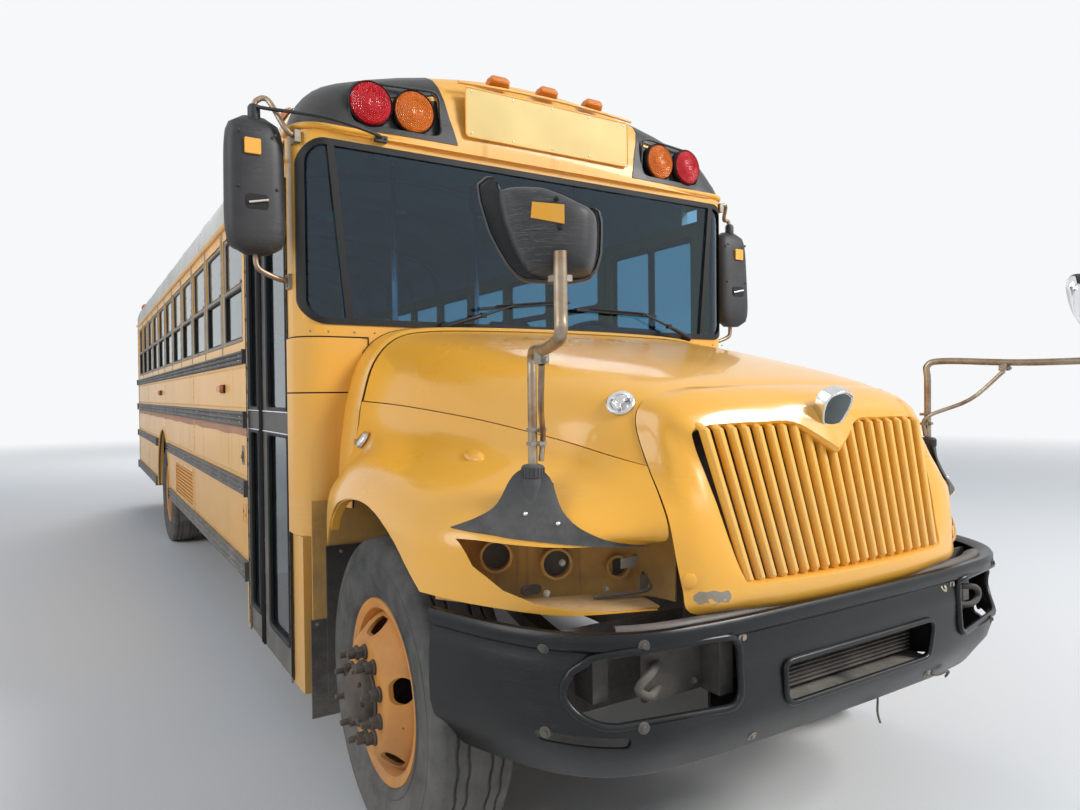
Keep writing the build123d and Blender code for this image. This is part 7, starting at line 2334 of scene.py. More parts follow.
def leaf_face(form, y_start, y_end, panes):
    """Skins, rails and the rubber round both panes of a door leaf."""
    x = -(HALF - .006)
    for low, high, start, end in panes:
        middle_y, middle_z = (start + end) / 2, (low + high) / 2
        outline = rounded(end - start, high - low, .030, 5)
        width, tall = end - start, high - low

        def loop(grow, lift):
            a, b = (width + 2 * grow) / width, (tall + 2 * grow) / tall
            return [Vector((x - lift, middle_y + u * a, middle_z + v * b)) for u, v in outline]

        form.use("seal rubber").rings([
            loop(.010, -.003), loop(.009, .004), loop(.004, .0065), loop(-.004, .006),
            loop(-.011, .001), loop(-.011, -.012), loop(-.002, -.014)], closed=True)
    for z in (1.349, 1.445):
        form.use("bright metal").pipe(
            [(x - .0035, y_start + .012, z), (x - .0035, y_end - .012, z)], .0042, 8)
    form.use("trim black").prism(
        [(y_start + .014, 1.356), (y_end - .014, 1.356), (y_end - .014, 1.438),
         (y_start + .014, 1.438)], at_x(HALF - .0062, -1), .0016)
    for y in (y_start + .016, y_end - .016):
        for i in range(14):
            form.use("trim black").dome((x - .0002, y, .34 + i * .155), (-1, 0, 0), .0050, .0030, 6)


def build_doors(sizes):
    """Both leaves' trim, their meeting seals, the push plates and the long hinges' knuckles."""
    leaves = (
        ("front", -3.444, -2.885, (-3.399, -3.010), -3.447),
        ("rear", -2.875, -2.556, (-2.800, -2.591), -2.553),
    )
    for name, start, end, pane, hinge_y in leaves:
        form = Form("trim black")
        panes = ((.412, 1.341, *pane), (1.453, 2.376, *pane))
        leaf_face(form, start, end, panes)
        x = -(HALF - .006)
        edge = end + .0006 if name == "front" else start - .0006
        way = 1 if name == "front" else -1
        seal = ((-.004, -.003), (-.006, .006), (-.002, .013), (.003, .010), (.0045, .003),
                (.003, -.003))
        form.use("seal rubber").rings([
            [Vector((x - v, edge - way * (.012 - u), z)) for u, v in seal] for z in (.286, 2.440)])
        for z in (.285, 2.441):
            form.use("seal rubber").slab((x + .014, (start + end) / 2, z), (.026, end - start - .02,
                                                                          .006))
        for i in range(17):
            z = .325 + i * .128
            form.use("dull zinc").turned([(-.055, .0046), (.055, .0046)],
                                         (-(HALF - .0005), hinge_y, z), (0, 0, 1), 8)
        inner = x + .036
        form.use("bright metal").pipe(flow([
            (inner, pane[0] + .02, 1.05), (inner + .028, pane[0] + .022, 1.075),
            (inner + .030, pane[0] + .024, 1.22), (inner + .028, pane[0] + .022, 1.34),
            (inner, pane[0] + .02, 1.365)], 4), .0105, 10)
        form.piece(f"door_trim_{name}", f"door_{name}", "frame_black", smooth=45)
    header = Form("body yellow")
    header.use("body yellow").prism(
        [(DOOR_Y - .02, 2.456), (DOOR_END_Y + .05, 2.456), (DOOR_END_Y + .05, 2.530),
         (DOOR_Y - .02, 2.530)], at_x(HALF - .001, -1), .0026)
    rivets(header, (-(HALF + .0016), DOOR_Y, 2.518), (-(HALF + .0016), DOOR_END_Y + .03, 2.518),
           (-1, 0, 0), sizes)
    header.use("seal rubber").pipe([(-(HALF + .002), DOOR_Y - .008, z) for z in (.30, 1.2, 2.452)]
                                   + [(-(HALF + .002), DOOR_END_Y + .008, 2.452)]
                                   + [(-(HALF + .002), DOOR_END_Y + .008, z) for z in (1.2, .30)],
                                   .0040, 8)
    header.piece("door_surround", "bus_body", "bus_yellow", smooth=40)


STOP_ARM_Z = 1.565


def build_stop_arm(sizes):
    """The blank octagon with its pale border, two lamps and the bracket that carries it."""
    face_x = HALF + .052
    middle = Vector((face_x, -2.190, STOP_ARM_Z))
    form = Form("stop red")
    corner = .450 / 2 / cos(pi / 8)

    def octagon(scale, x):
        return [Vector((x, middle.y + corner * scale * cos(pi / 8 + i * pi / 4),
                        middle.z + corner * scale * sin(pi / 8 + i * pi / 4))) for i in range(8)]

    form.use("sign border").rings([octagon(.985, face_x - .0088), octagon(1.0, face_x - .006),
                                   octagon(1.0, face_x + .006), octagon(.985, face_x + .0088)])
    for way in (-1, 1):
        form.use("stop red").rings([octagon(.93, face_x + way * .0080),
                                    octagon(.93, face_x + way * .0096)])
        for dz in (-.142, .142):
            lamp(form, middle + Vector((way * .0085, 0, dz)), (way, 0, 0), .042, "red lens")
    for dz in (-.07, .07):
        form.use("dull zinc").slab((face_x + .0105, -2.395, STOP_ARM_Z + dz), (.004, .060, .030))
        for dy in (-.018, .018):
            form.bolt((face_x + .012, -2.395 + dy, STOP_ARM_Z + dz), (1, 0, 0), .008, .006)
    form.piece("stop_arm_face", "stop_arm", "sign_red", smooth=40)
    base = Form("dull zinc")
    base.use("frame black").prism(moved(rounded(.075, .330, .010, 3), -2.490, STOP_ARM_Z),
                                  at_x(HALF - .001), .0045)
    for dz in (-.140, .140):
        base.use("dull zinc").bolt((HALF + .004, -2.505, STOP_ARM_Z + dz), (1, 0, 0), .011, .008)
    base.use("frame black").prism(moved(rounded(.10, .12, .012, 3), -2.660, STOP_ARM_Z),
                                  at_x(HALF - .001), .055)
    base.use("seal rubber").pipe(flow([(HALF + .02, -2.61, 1.55), (HALF + .022, -2.57, 1.535),
                                       (HALF + .012, -2.53, 1.54), (HALF + .004, -2.505, 1.56)], 4),
                                 .007, 8)
    base.piece("stop_arm_base", "bus_body", "frame_black", bevel=.0012, smooth=40)


# Roof and rear

HATCHES_Y = (-.750, 2.950)


# Heights of the hatches' lids and of the rubbers round them
HATCH_TOP_Z, HATCH_SEAL_Z = 3.1235, 3.0895


def build_roof(sizes):
    """Lapped roof sheets with rivet rows, drip rails and the hatches' curbs."""
    start, end = COWL_Y + CAP_REACH, REAR_Y - .120
    laps = [start + (end - start) * i / 7 for i in range(1, 7)]
    form = Form("roof white")

    def clear(x, y):
        return all(abs(x) > .335 or abs(y - hatch) > .335 for hatch in HATCHES_Y)

    line = roof_line(14, DRIP_Z + .020)
    count = len(line)
    for y in laps:
        section = []
        for lift, dy in ((-.002, -.020), (.0022, -.019), (.0024, .018), (-.002, .020)):
            section.append([Vector((x, y + dy, z)) + outward(line, i, 2.2) * lift
                            for i, (x, z) in enumerate(line)])
        form.rings([[row[i] for row in section] for i in range(count)])
        for i in range(count - 1):
            for t in (.25, .75):
                p = Vector((line[i][0], y, line[i][1])).lerp(
                    Vector((line[i + 1][0], y, line[i + 1][1])), t)
                along = Vector((line[i + 1][0] - line[i][0], 0, line[i + 1][1] - line[i][1]))
                normal = Vector((-along.z, 0, along.x))
                normal = (normal if normal.z > 0 else -normal).normalized()
                for dy in (-.010, .010):
                    form.dome(p + normal * .0022 + Vector((0, dy, 0)), normal,
                              sizes.rivet_radius * .9, .0035, 6)
    count = int((end - start) / .10)
    for side in (-1, 1):
        for k in range(count):
            form.dome((side * (HALF - .0005), start + (k + .5) * (end - start) / count,
                       DRIP_Z + .062), (side, 0, .08), sizes.rivet_radius, .0040, 6)
    form.piece("roof_laps", "bus_body", "roof_white", smooth=45)
    drip = Form("body yellow")
    profile = ((-.004, -.018), (.010, -.018), (.020, -.010), (.024, .004), (.020, .008),
               (.012, -.004), (.004, -.008), (.002, .012), (-.004, .012))
    for side in (-1, 1):
        path = [Vector((side * HALF, COWL_Y + .20 + (end - COWL_Y - .20) * i / 10, DRIP_Z))
                for i in range(11)]
        drip.use("body yellow").rings([
            [p + Vector((side * u, 0, v)) for u, v in profile] for p in path])
        for z in (2.486, 2.502):
            rivets(drip, (side * HALF, WINDOW_Y, z), (side * HALF, WALL_END_Y - .05, z),
                   (side, 0, 0), sizes, 60)
    drip.piece("drip_rails", "bus_body", "bus_yellow", smooth=40)
    for name, y in (("front", HATCHES_Y[0]), ("rear", HATCHES_Y[1])):
        lid = Form("hatch plastic")
        lid.use("hatch plastic").stack(
            rounded(.430, .430, .05, 5), at_z(HATCH_TOP_Z, 0, y),
            ((1.02, -.004), (1.0, .0), (.95, .0035), (.30, .0065)))
        rib = rounded(.030, .36, .014, 4)
        for x in (-.13, 0, .13):
            lid.rings([[Vector((x + u, y + v * s, HATCH_TOP_Z + w)) for u, v in rib]
                       for s, w in ((1, .0005), (.97, .0075))])
        lid.use("seal rubber").stack(
            rounded(.606, .606, .05, 5), at_z(HATCH_SEAL_Z, 0, y),
            ((1, 0), (1, .008), (.97, .008), (.97, 0)), closed=True)
        for x in (-.18, .18):
            for dx in (-.04, .04):
                lid.use("dull zinc").dome((x + dx, y - .288, 3.0975), (0, 0, 1), .007, .004, 8)
        lid.piece(f"hatch_trim_{name}", f"hatch_{name}", "hatch_plastic", smooth=40)
    lining = Form("headliner")
    for i in range(WINDOW_COUNT + 1):
        y = post_y(i)
        inner = roof_line(14, DRIP_Z + .01, -.052)
        if any(abs(y - hatch) < .36 for hatch in HATCHES_Y):
            continue
        rings = []
        for x, z in inner:
            inward = Vector((-x, 0, 1.9 - z)).normalized()
            rings.append([Vector((x, y + dy, z)) + inward * d
                          for dy, d in ((-.03, 0), (.03, 0), (.018, .016), (-.018, .016))])
        lining.rings(rings)
    lining.piece("ceiling_bows", "bus_body", "roof_white", smooth=40)


def gasket(form, outline, y, way, thick=.011):
    """A rubber round a rear pane, drawn as (x, z)."""
    loop = [Vector((u, y + way * .004, v)) for u, v in outline]
    form.use("seal rubber").pipe(loop, thick, 10, closed=True)


def build_rear(sizes):
    """Rear wall seams and gaskets, the exit door's handle and hinges, bumper and fittings."""
    wall = Form("body yellow")
    for side in (-1, 1):
        gasket(wall, rounded_at(.575, .575, .055, side * .740, 2.060, 6), REAR_Y, 1)
        for x, low, high in ((.375, 1.06, 2.44), (.40, .66, 1.02)):
            rivets(wall, (side * x, REAR_Y, low), (side * x, REAR_Y, high), (0, 1, 0), sizes)
        rivets(wall, (side * .44, REAR_Y, 1.70), (side * 1.08, REAR_Y, 1.70), (0, 1, 0), sizes)
        rivets(wall, (side * .40, REAR_Y, .98), (side * 1.12, REAR_Y, .98), (0, 1, 0), sizes)
        for low, high in RAIL_HEIGHTS[1:3]:
            outline = [(side * .42, low), (side * 1.12, low), (side * 1.12, high),
                       (side * .42, high)]
            wall.use("trim black").prism(outline, at_y(REAR_Y - .001, 1), .010)
            for k in range(3):
                z = low + (k + .5) * (high - low) / 3
                wall.pipe([(side * .425, REAR_Y + .010, z), (side * 1.115, REAR_Y + .010, z)],
                          .009, 8)
    rivets(wall, (-.62, REAR_Y, 2.66), (.62, REAR_Y, 2.66), (0, 1, 0), sizes)
    rivets(wall, (-.55, REAR_Y, 2.95), (.55, REAR_Y, 2.95), (0, 1, 0), sizes)
    wall.use("seal rubber").pipe([(u, REAR_Y + .001, v) for u, v in
                                  rounded_at(.700, 1.370, .012, 0, 1.760, 3)], .006, 8, closed=True)
    wall.piece("rear_wall_trim", "bus_body", "bus_yellow", smooth=40)
    door = Form("body yellow")
    for z, height in ((2.060, .520), (1.500, .330)):
        gasket(door, rounded_at(.512, height + .012, .045, 0, z, 6), EXIT_FACE_Y, 1, .010)
    door.use("body yellow").stack(rounded(.56, .20, .03, 4), at_y(EXIT_FACE_Y, 1, 0, 1.215),
                                  ((1, -.002), (.985, .0045), (.93, .0045), (.915, .0012)))
    rivets(door, (-.31, EXIT_FACE_Y, 2.40), (.31, EXIT_FACE_Y, 2.40), (0, 1, 0), sizes)
    rivets(door, (-.31, EXIT_FACE_Y, 1.10), (.31, EXIT_FACE_Y, 1.10), (0, 1, 0), sizes)
    for x in (-.318, .318):
        rivets(door, (x, EXIT_FACE_Y, 1.12), (x, EXIT_FACE_Y, 2.38), (0, 1, 0), sizes, 17)
    door.use("bright metal").pipe(flow([
        (.270, REAR_Y + .002, 1.700), (.270, REAR_Y + .034, 1.702), (.240, REAR_Y + .040, 1.704),
        (.130, REAR_Y + .040, 1.708), (.100, REAR_Y + .034, 1.708)], 4), .009, 10)
    door.use("dull zinc").prism(rounded_at(.050, .100, .012, .270, 1.705), at_y(REAR_Y + .002, 1),
                                .006)
    for z in (1.250, 1.765, 2.290):
        for dz in (-.035, .035):
            door.use("dull zinc").dome((-.318, REAR_Y + .0085, z + dz), (0, 1, 0), .007, .004, 8)
    door.piece("exit_door_trim", "exit_door", "bus_yellow", smooth=40)


def build_underbody(sizes):
    """Springs' clips, tank straps, hanger bolts and the frame's rivets that show from low down."""
    form = Form("frame black")
    for side in (-1, 1):
        for i in range(26):
            y = -3.2 + i * .32
            for z in (.915, .745):
                form.dome((side * .4325, y, z), (side, 0, 0), .011, .007, 8)
    form.piece("frame_rivets", "bus_body", "frame_black", smooth=50)
    liners = Form("mud flap")
    for side in (-1, 1):
        for y in (REAR_AXLE_Y - .700, REAR_AXLE_Y + .720):
            liners.use("dull zinc").slab((side * 1.0, y - .009, .955), (.29, .006, .034))
            for x in (.88, .96, 1.04, 1.12):
                liners.bolt((side * x, y - .012, .955), (0, -1, 0), .009, .007)
        for x in (.92, 1.00, 1.08):
            liners.use("dull zinc").bolt((side * x, COWL_Y - .066, .875), (0, -1, 0), .010, .007)
    liners.piece("flap_bolts", "bus_body", "frame_black", smooth=40)


# Inside: padded seats, dash and header

BENCH_X = (.330, 1.160)
FLOOR_Z = 1.060


def pad(form, place, width, section, channels=0, crown=.012, sag=.006):
    """A stuffed form: a section (along, up) carried across, drawn in at both ends and seams."""
    stations = [-1.0, -.985, -.95, -.88]
    inner = [-.76 + 1.52 * i / 12 for i in range(13)]
    stations = stations + inner + [-s for s in reversed(stations)]
    middle_u = sum(u for u, _ in section) / len(section)
    middle_v = sum(v for _, v in section) / len(section)
    rings = []
    for t in stations:
        draw = 1.0 - .30 * max(0.0, (abs(t) - .93) / .07) ** 2
        swell = crown * (1 - t * t)
        if channels:
            swell -= sag * abs(cos(pi * (t + 1) * channels / 2)) ** 12
        row = []
        for u, v in section:
            du, dv = u - middle_u, v - middle_v
            size = hypot(du, dv) or 1.0
            row.append(Vector(place(t * width / 2, middle_u + du * draw + du / size * swell * .35,
                                    middle_v + dv * draw + dv / size * swell)))
        rings.append(row)
    form.rings(rings)
    return rings


def pad_section(length, thick, edge=.035, crown=.012, steps=5):
    """A soft rectangle whose sides belly out, as (along, up) about its middle."""
    points = []
    for u, v in rounded(length, thick, edge, steps):
        points.append((u, v + (crown if v > 0 else -crown * .3) * (1 - (2 * u / length) ** 2)))
    return points


def tipped(angle, y, z):
    """Placement for a section turned about X by an angle and set at (y, z)."""
    c, s = cos(angle), sin(angle)
    return lambda x, u, v: (x, y + u * c - v * s, z + u * s + v * c)


def piping(form, rings, index, radius=.0042):
    """The sewn welt along a pad's edge."""
    form.pipe([rings[index][j] for j in range(len(rings[index]))], radius, 6, closed=True)


def bench_y(row):
    """Where a row of benches stands."""
    return WINDOW_Y + WINDOW_WIDTH / 2 + row * WINDOW_PITCH - .120


def build_benches(sizes):
    """One cushion and one back for each bench, on tube frames with wall brackets."""
    middle = (BENCH_X[0] + BENCH_X[1]) / 2
    width = BENCH_X[1] - BENCH_X[0] - .004
    cushion = Form("seat vinyl")
    rings = pad(cushion, tipped(-.045, 0, 0), width, pad_section(.415, .100), 0)
    for index in (3, -4):
        piping(cushion.use("seal rubber"), rings, index)
    back = Form("seat vinyl")
    section = pad_section(.500, .082, .036, .008)
    rings = pad(back, tipped(radians(81), 0, 0), width, section, 3, .008)
    for index in (3, -4):
        piping(back.use("seal rubber"), rings, index)
    kept = {}
    for name, form in (("cushion", cushion), ("back", back)):
        kept[name] = form.mesh(f"bench_{name}", 60)
    for row in range(WINDOW_COUNT):
        y = bench_y(row)
        for name, side in SIDES:
            for part, dy, z in (("cushion", .205, 1.428), ("back", .408, 1.610)):
                piece = linked(f"bench_{part}_{name}_{row + 1:02d}", kept[part])
                piece.location = (side * middle, y + dy, z)
                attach(piece, "bus_body")
                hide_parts("seats")
    legs = Form("frame black")
    for row in range(WINDOW_COUNT):
        y = bench_y(row)
        for side in (-1, 1):
            x = side * (BENCH_X[0] + .075)
            legs.use("frame black").pipe(flow([
                (x, y + .055, 1.395), (x, y + .050, 1.24), (x, y + .035, FLOOR_Z + .03),
                (x, y + .045, FLOOR_Z + .012), (x, y + .10, FLOOR_Z + .011),
                (x, y + .27, FLOOR_Z + .011), (x, y + .325, FLOOR_Z + .012),
                (x, y + .335, FLOOR_Z + .03), (x, y + .325, 1.24), (x, y + .320, 1.395)], 3),
                .0115, 8)
            for dy in (.09, .29):
                legs.use("dull zinc").slab((x, y + dy, FLOOR_Z + .0015), (.070, .050, .005))
                legs.bolt((x + side * -.024, y + dy, FLOOR_Z + .003), (0, 0, 1), .008, .006)
            legs.use("frame black").slab((side * 1.150, y + .20, 1.385), (.050, .34, .022))
            for dy in (.06, .35):
                legs.use("frame black").slab((side * middle, y + dy, 1.379), (width - .04, .026,
                                                                              .016))
    legs.piece("bench_frames", "bus_body", "frame_black", smooth=45, replaces=("seats",))
    barrier = Form("seat vinyl")
    for side, y in ((-1, -2.520), (1, -2.120)):
        barrier.use("seat vinyl").rings([
            [Vector((side * (.755 + u * s), y + w, 1.50 + v * s)) for u, v in
             rounded(.78, .62, .06, 5)] for s, w in ((.97, -.022), (1, -.012), (1, .012),
                                                     (.97, .022))])
        x = side * .375
        barrier.use("bright metal").pipe([(x, y, FLOOR_Z - .002), (x, y, 2.10), (x, y, 3.006)],
                                         .016, 14)
        barrier.turned([(-.002, .040), (.006, .040), (.012, .020)], (x, y, FLOOR_Z), (0, 0, 1), 20)
        barrier.pipe(flow([(x, y, 1.80), (x + side * .10, y, 1.838), (side * 1.0, y, 1.838),
                           (side * 1.176, y, 1.838)], 3), .014, 12)
    barrier.piece("barriers", "bus_body", "seat_vinyl", smooth=50)


def build_driver_seat(sizes):
    """The driver's cushion and back on their pedestal with its bellows."""
    x, y = .560, -2.750
    for name, dy, z, tilt, length, thick, width, seams in (
        ("cushion", .215, 1.430, -.06, .470, .125, .500, 3),
        ("back", .455, 1.690, radians(80), .560, .105, .480, 3),
        ("bolster", .500, 1.935, radians(82), .150, .085, .300, 0),
    ):
        form = Form("seat vinyl")
        rings = pad(form, lambda a, u, v, put=tipped(tilt, y + dy, z): (x + a, *put(0, u, v)[1:]),
                    width, pad_section(length, thick, .042, .014), seams, .014, .008)
        for index in (3, -4):
            piping(form.use("seal rubber"), rings, index)
        piece = form.piece(f"driver_{name}", "bus_body", "seat_vinyl", smooth=60,
                           replaces=("seats",))
    base = Form("frame black")
    base.use("frame black").slab((x, y + .22, 1.350), (.40, .40, .030))
    base.slab((x, y + .22, 1.075), (.44, .44, .032))
    for i in range(7):
        z = 1.094 + i * .034
        base.use("seal rubber").stack(
            rounded(.34, .34, .06, 4), at_z(z, x, y + .22),
            ((.90, 0), (1.0, .012), (1.0, .022), (.90, .036)))
    base.use("frame black").slab((x, y + .470, 1.46), (.06, .03, .24))
    base.use("dull zinc").pipe([(x + .26, y + .10, 1.37), (x + .27, y - .02, 1.375)], .007, 8)
    for dx in (-.06, .06):
        base.pipe([(x + dx, y + .492, 1.80), (x + dx, y + .500, 1.90)], .006, 8)
    base.piece("driver_seat_base", "bus_body", "frame_black", bevel=.003, smooth=45)


DRIVER_X = 0.560
# The binnacle's outline as (y, z), and the point that its ends shrink toward
BINNACLE = (
    (-3.560, 1.788), (-3.560, 1.845), (-3.500, 1.874), (-3.400, 1.872), (-3.372, 1.858),
    (-3.385, 1.846), (-3.345, 1.712), (-3.312, 1.690), (-3.40, 1.70), (-3.50, 1.74),
)
BINNACLE_MIDDLE = (-3.44, 1.70)
# The gauges on its face, as (across, up, radius)
GAUGES = (
    (-.070, .004, .050), (.070, .004, .050), (-.165, .022, .026), (-.165, -.036, .026),
    (.165, .022, .026), (.165, -.036, .026),
)


def build_dash(sizes):
    """Binnacle with gauges, switch rows, vents, wheel rim grips, header and inner mirror."""
    dash = Form("dash plastic")
    middle_y, middle_z = BINNACLE_MIDDLE
    dash.rings([
        [Vector((DRIVER_X + t * .285, middle_y + (y - middle_y) * s,
                 middle_z + (z - middle_z) * s)) for y, z in BINNACLE]
        for t, s in ((-1, .86), (-.94, .97), (-.80, 1.0), (0, 1.02), (.80, 1.0), (.94, .97),
                     (1, .86))])
    normal = Vector((0, .958, .286)).normalized()
    up = Vector((0, -.286, .958))
    face = Vector((DRIVER_X, -3.3655, 1.782))
    for dx, dz, radius in GAUGES:
        center = face + Vector((dx, 0, 0)) + up * dz
        dash.use("seal rubber").turned([(-.01, radius), (.007, radius), (.009, radius * .93),
                                        (.004, radius * .90)], center, normal, 28)
        dash.use("dash plastic").turned([(-.004, radius * .89), (.0045, radius * .89)],
                                        center, normal, 28)
        for k in range(9):
            angle = radians(-40 + 260 * k / 8)
            tick = Vector((cos(angle), 0, 0)) + up * sin(angle)
            dash.use("sign border").slab(center + tick * radius * .76 + normal * .0048,
                                         (.0022, .0016, .0022))
        needle = Vector((cos(2.2), 0, 0)) + up * sin(2.2)
        dash.use("red lens").pipe([center + normal * .0062, center + needle * radius * .66
                                   + normal * .0062], .0012, 6)
    for i in range(10):
        x = .90 + (i % 5) * .036
        z = 1.640 - (i // 5) * .062
        y = -3.3155 - (1.69 - z) * .1026
        dash.use("seal rubber").slab((x, y, z), (.028, .010, .046))
        dash.use("dash plastic").slab((x, y + .006, z + .006), (.020, .006, .022))
    for x in (-.58, -.22, .18, 1.02):
        dash.use("seal rubber").prism(rounded_at(.150, .070, .012, x, 1.555), at_y(-3.334, 1), .010)
        for k in range(5):
            dash.use("dash plastic").slab((x, -3.320, 1.533 + k * .011), (.136, .008, .004))
    dash.use("dash plastic").prism(rounded_at(.34, .16, .02, -.34, 1.42), at_y(-3.352, 1), .014)
    dash.use("dull zinc").slab((-.34, -3.332, 1.475), (.05, .008, .012))
    tilt = Matrix.Rotation(radians(-35), 3, "X")
    helm = Vector((DRIVER_X, -3.090, 1.790))

    def around(radius, angle, rise=0.0):
        return helm + tilt @ Vector((radius * cos(angle), radius * sin(angle), rise))

    for k in range(3):
        start = 2 * pi * k / 3 + .30
        dash.use("seal rubber").pipe([around(.225, start + i * .14) for i in range(11)], .0168, 12)
    dash.use("dash plastic").turned([(.022, .062), (.030, .060), (.038, .048), (.040, .020)],
                                    helm, tilt @ Vector((0, 0, 1)), 28)
    dash.use("seal rubber").turned([(-.30, .044), (-.06, .044), (-.035, .034)], helm,
                                   tilt @ Vector((0, 0, 1)), 24)
    for way, lift in ((1, -.07), (-1, -.09)):
        dash.pipe([helm + tilt @ Vector((way * .03, 0, lift)),
                   helm + tilt @ Vector((way * .12, .02, lift + .01)),
                   helm + tilt @ Vector((way * .185, .03, lift + .014))], [.006, .0065, .009], 8)
    dash.piece("dash_details", "bus_body", "dash_plastic", bevel=.0008, smooth=45)
    head = Form("dash plastic")
    head.use("headliner").prism(
        [(-3.600, 2.600), (-3.600, 2.870), (-3.36, 2.880), (-3.30, 2.84), (-3.36, 2.640)],
        lambda u, v, w: (-.80 + w, u, v), 1.60)
    for x in (-.62, .62):
        head.use("seal rubber").prism(rounded_at(.24, .13, .02, x, 2.75), at_y(-3.333, 1), .012)
        for k in range(7):
            head.use("dash plastic").slab((x, -3.319, 2.704 + k * .0155), (.22, .005, .007))
    head.use("dash plastic").stack(rounded(.76, .150, .04, 5), at_y(-3.430, 1, .05, 2.485),
                                   ((.96, -.020), (1, -.008), (1, .010)))
    head.use("mirror silver").stack(rounded(.74, .132, .036, 5), at_y(-3.418, 1, .05, 2.485),
                                    ((1, 0), (.99, .003)))
    for x in (-.18, .28):
        head.use("dull zinc").pipe(flow([(x, -3.440, 2.500), (x, -3.455, 2.56),
                                         (x, -3.44, 2.645)], 4), .007, 8)
    head.piece("inner_header", "bus_body", "dash_plastic", bevel=.002, smooth=45)


# Stage

CAMERA_PLACE = (-2.002, -6.764, 1.517)
CAMERA_YAW = 31.874
CAMERA_PITCH = -0.874
CAMERA_ROLL = -0.570
CAMERA_LENS = 24.918
VIEW_WIDTH, VIEW_HEIGHT = 1080, 810
SENSOR_WIDTH = 36.0
PALE = (0.93, 0.94, 0.95)


def camera_axes():
    """The directions to the right, up and back of the view."""
    yaw, pitch, roll = (radians(a) for a in (CAMERA_YAW, CAMERA_PITCH, CAMERA_ROLL))
    ahead = Vector((sin(yaw) * cos(pitch), cos(yaw) * cos(pitch), sin(pitch)))
    level = Vector((cos(yaw), -sin(yaw), 0))
    up = level.cross(ahead)
    return (level * cos(roll) + up * sin(roll), up * cos(roll) - level * sin(roll), -ahead)


def build_camera():
    """The camera that was recovered from the picture."""
    data = bpy.data.cameras.new("camera")
    data.lens = CAMERA_LENS
    data.sensor_width = SENSOR_WIDTH
    data.sensor_fit = "HORIZONTAL"
    data.clip_end = 200.0
    camera = linked("camera", data)
    turn = Matrix(camera_axes()).transposed()
    camera.matrix_world = Matrix.Translation(CAMERA_PLACE) @ turn.to_4x4()
    bpy.context.scene.camera = camera


def seen_ray(net):
    """1 for a ray that shows what it meets: straight, mirrored or through glass."""
    rays = net.node("LightPath").outputs
    return net.math("MAXIMUM", rays["Is Camera Ray"], net.math(
        "MAXIMUM", rays["Is Glossy Ray"], rays["Is Transmission Ray"]))


def floor_finish():
    """A pale floor that fades into the ground behind it."""
    material, net = fresh("pale floor")
    source = net.node("TexCoord").outputs["Object"]
    cloud = net.noise(source, 0.8, 5.0)
    tone = net.mix(net.math("MULTIPLY", cloud, 0.25), (0.80, 0.79, 0.77), (0.74, 0.73, 0.71))
    grit = net.noise(source, 60.0, 4.0)
    knock = net.node("Bump", {"Height": grit, "Distance": 0.002, "Strength": 0.4})
    shader = net.node("BsdfPrincipled", {"Base Color": tone, "Roughness": 0.9, "Normal": knock})
    away = net.node("VectorMath", {0: source}, operation="LENGTH").outputs["Value"]
    haze = net.math("MULTIPLY", net.span(away, 9.0, 24.0), seen_ray(net))
    glow = net.node("Emission", {"Color": PALE, "Strength": 1.0})
    both = net.node("MixShader", {0: haze, 1: shader.outputs[0], 2: glow.outputs[0]})
    net.node("OutputMaterial", {"Surface": both})
    return material


def build_stage(settings):
    """The floor, the sky and the lights."""
    mesh = bpy.data.meshes.new("stage_floor")
    far = 60.0
    mesh.from_pydata([(-far, -far, 0), (far, -far, 0), (far, far, 0), (-far, far, 0)], [],
                     [(0, 1, 2, 3)])
    mesh.materials.append(floor_finish())
    linked("stage_floor", mesh)
    world = bpy.data.worlds.new("pale studio")
    bpy.context.scene.world = world
    world.use_nodes = True
    net = Net(world.node_tree)
    seen = seen_ray(net)
    spot = net.node("SeparateXYZ", {"Vector": net.node("TexCoord").outputs["Generated"]})
    sky = net.mix(net.span(spot.outputs["Z"], -0.1, 0.7), (0.74, 0.77, 0.80), (0.34, 0.44, 0.58))
    tone = net.mix(seen, sky, PALE)
    glow = net.node("Background", {"Color": tone, "Strength": settings.fill_level})
    plain = net.node("Background", {"Color": PALE, "Strength": 1.0})
    both = net.node("MixShader", {0: seen, 1: glow.outputs[0], 2: plain.outputs[0]})
    net.node("OutputWorld", {"Surface": both})
    for name, place, aim, size, power in (
        ("key", (7.5, -13.0, 9.5), (0, -3.5, 1.4), 5.0, settings.key_level),
        ("side", (-10.0, -4.0, 6.5), (0, -1.0, 1.4), 7.0, settings.key_level * 0.26),
        ("back", (2.0, 14.0, 8.0), (0, 2.0, 1.4), 7.0, settings.key_level * 0.35),
    ):
        data = bpy.data.lights.new(name, "AREA")
        data.shape = "DISK"
        data.size = size
        data.energy = power
        light = linked(name, data)
        light.location = place
        light.rotation_euler = (Vector(aim) - Vector(place)).to_track_quat("-Z", "Y").to_euler()
    bpy.context.scene.view_settings.view_transform = "Standard"
    build_camera()


# Sizes that a user would change


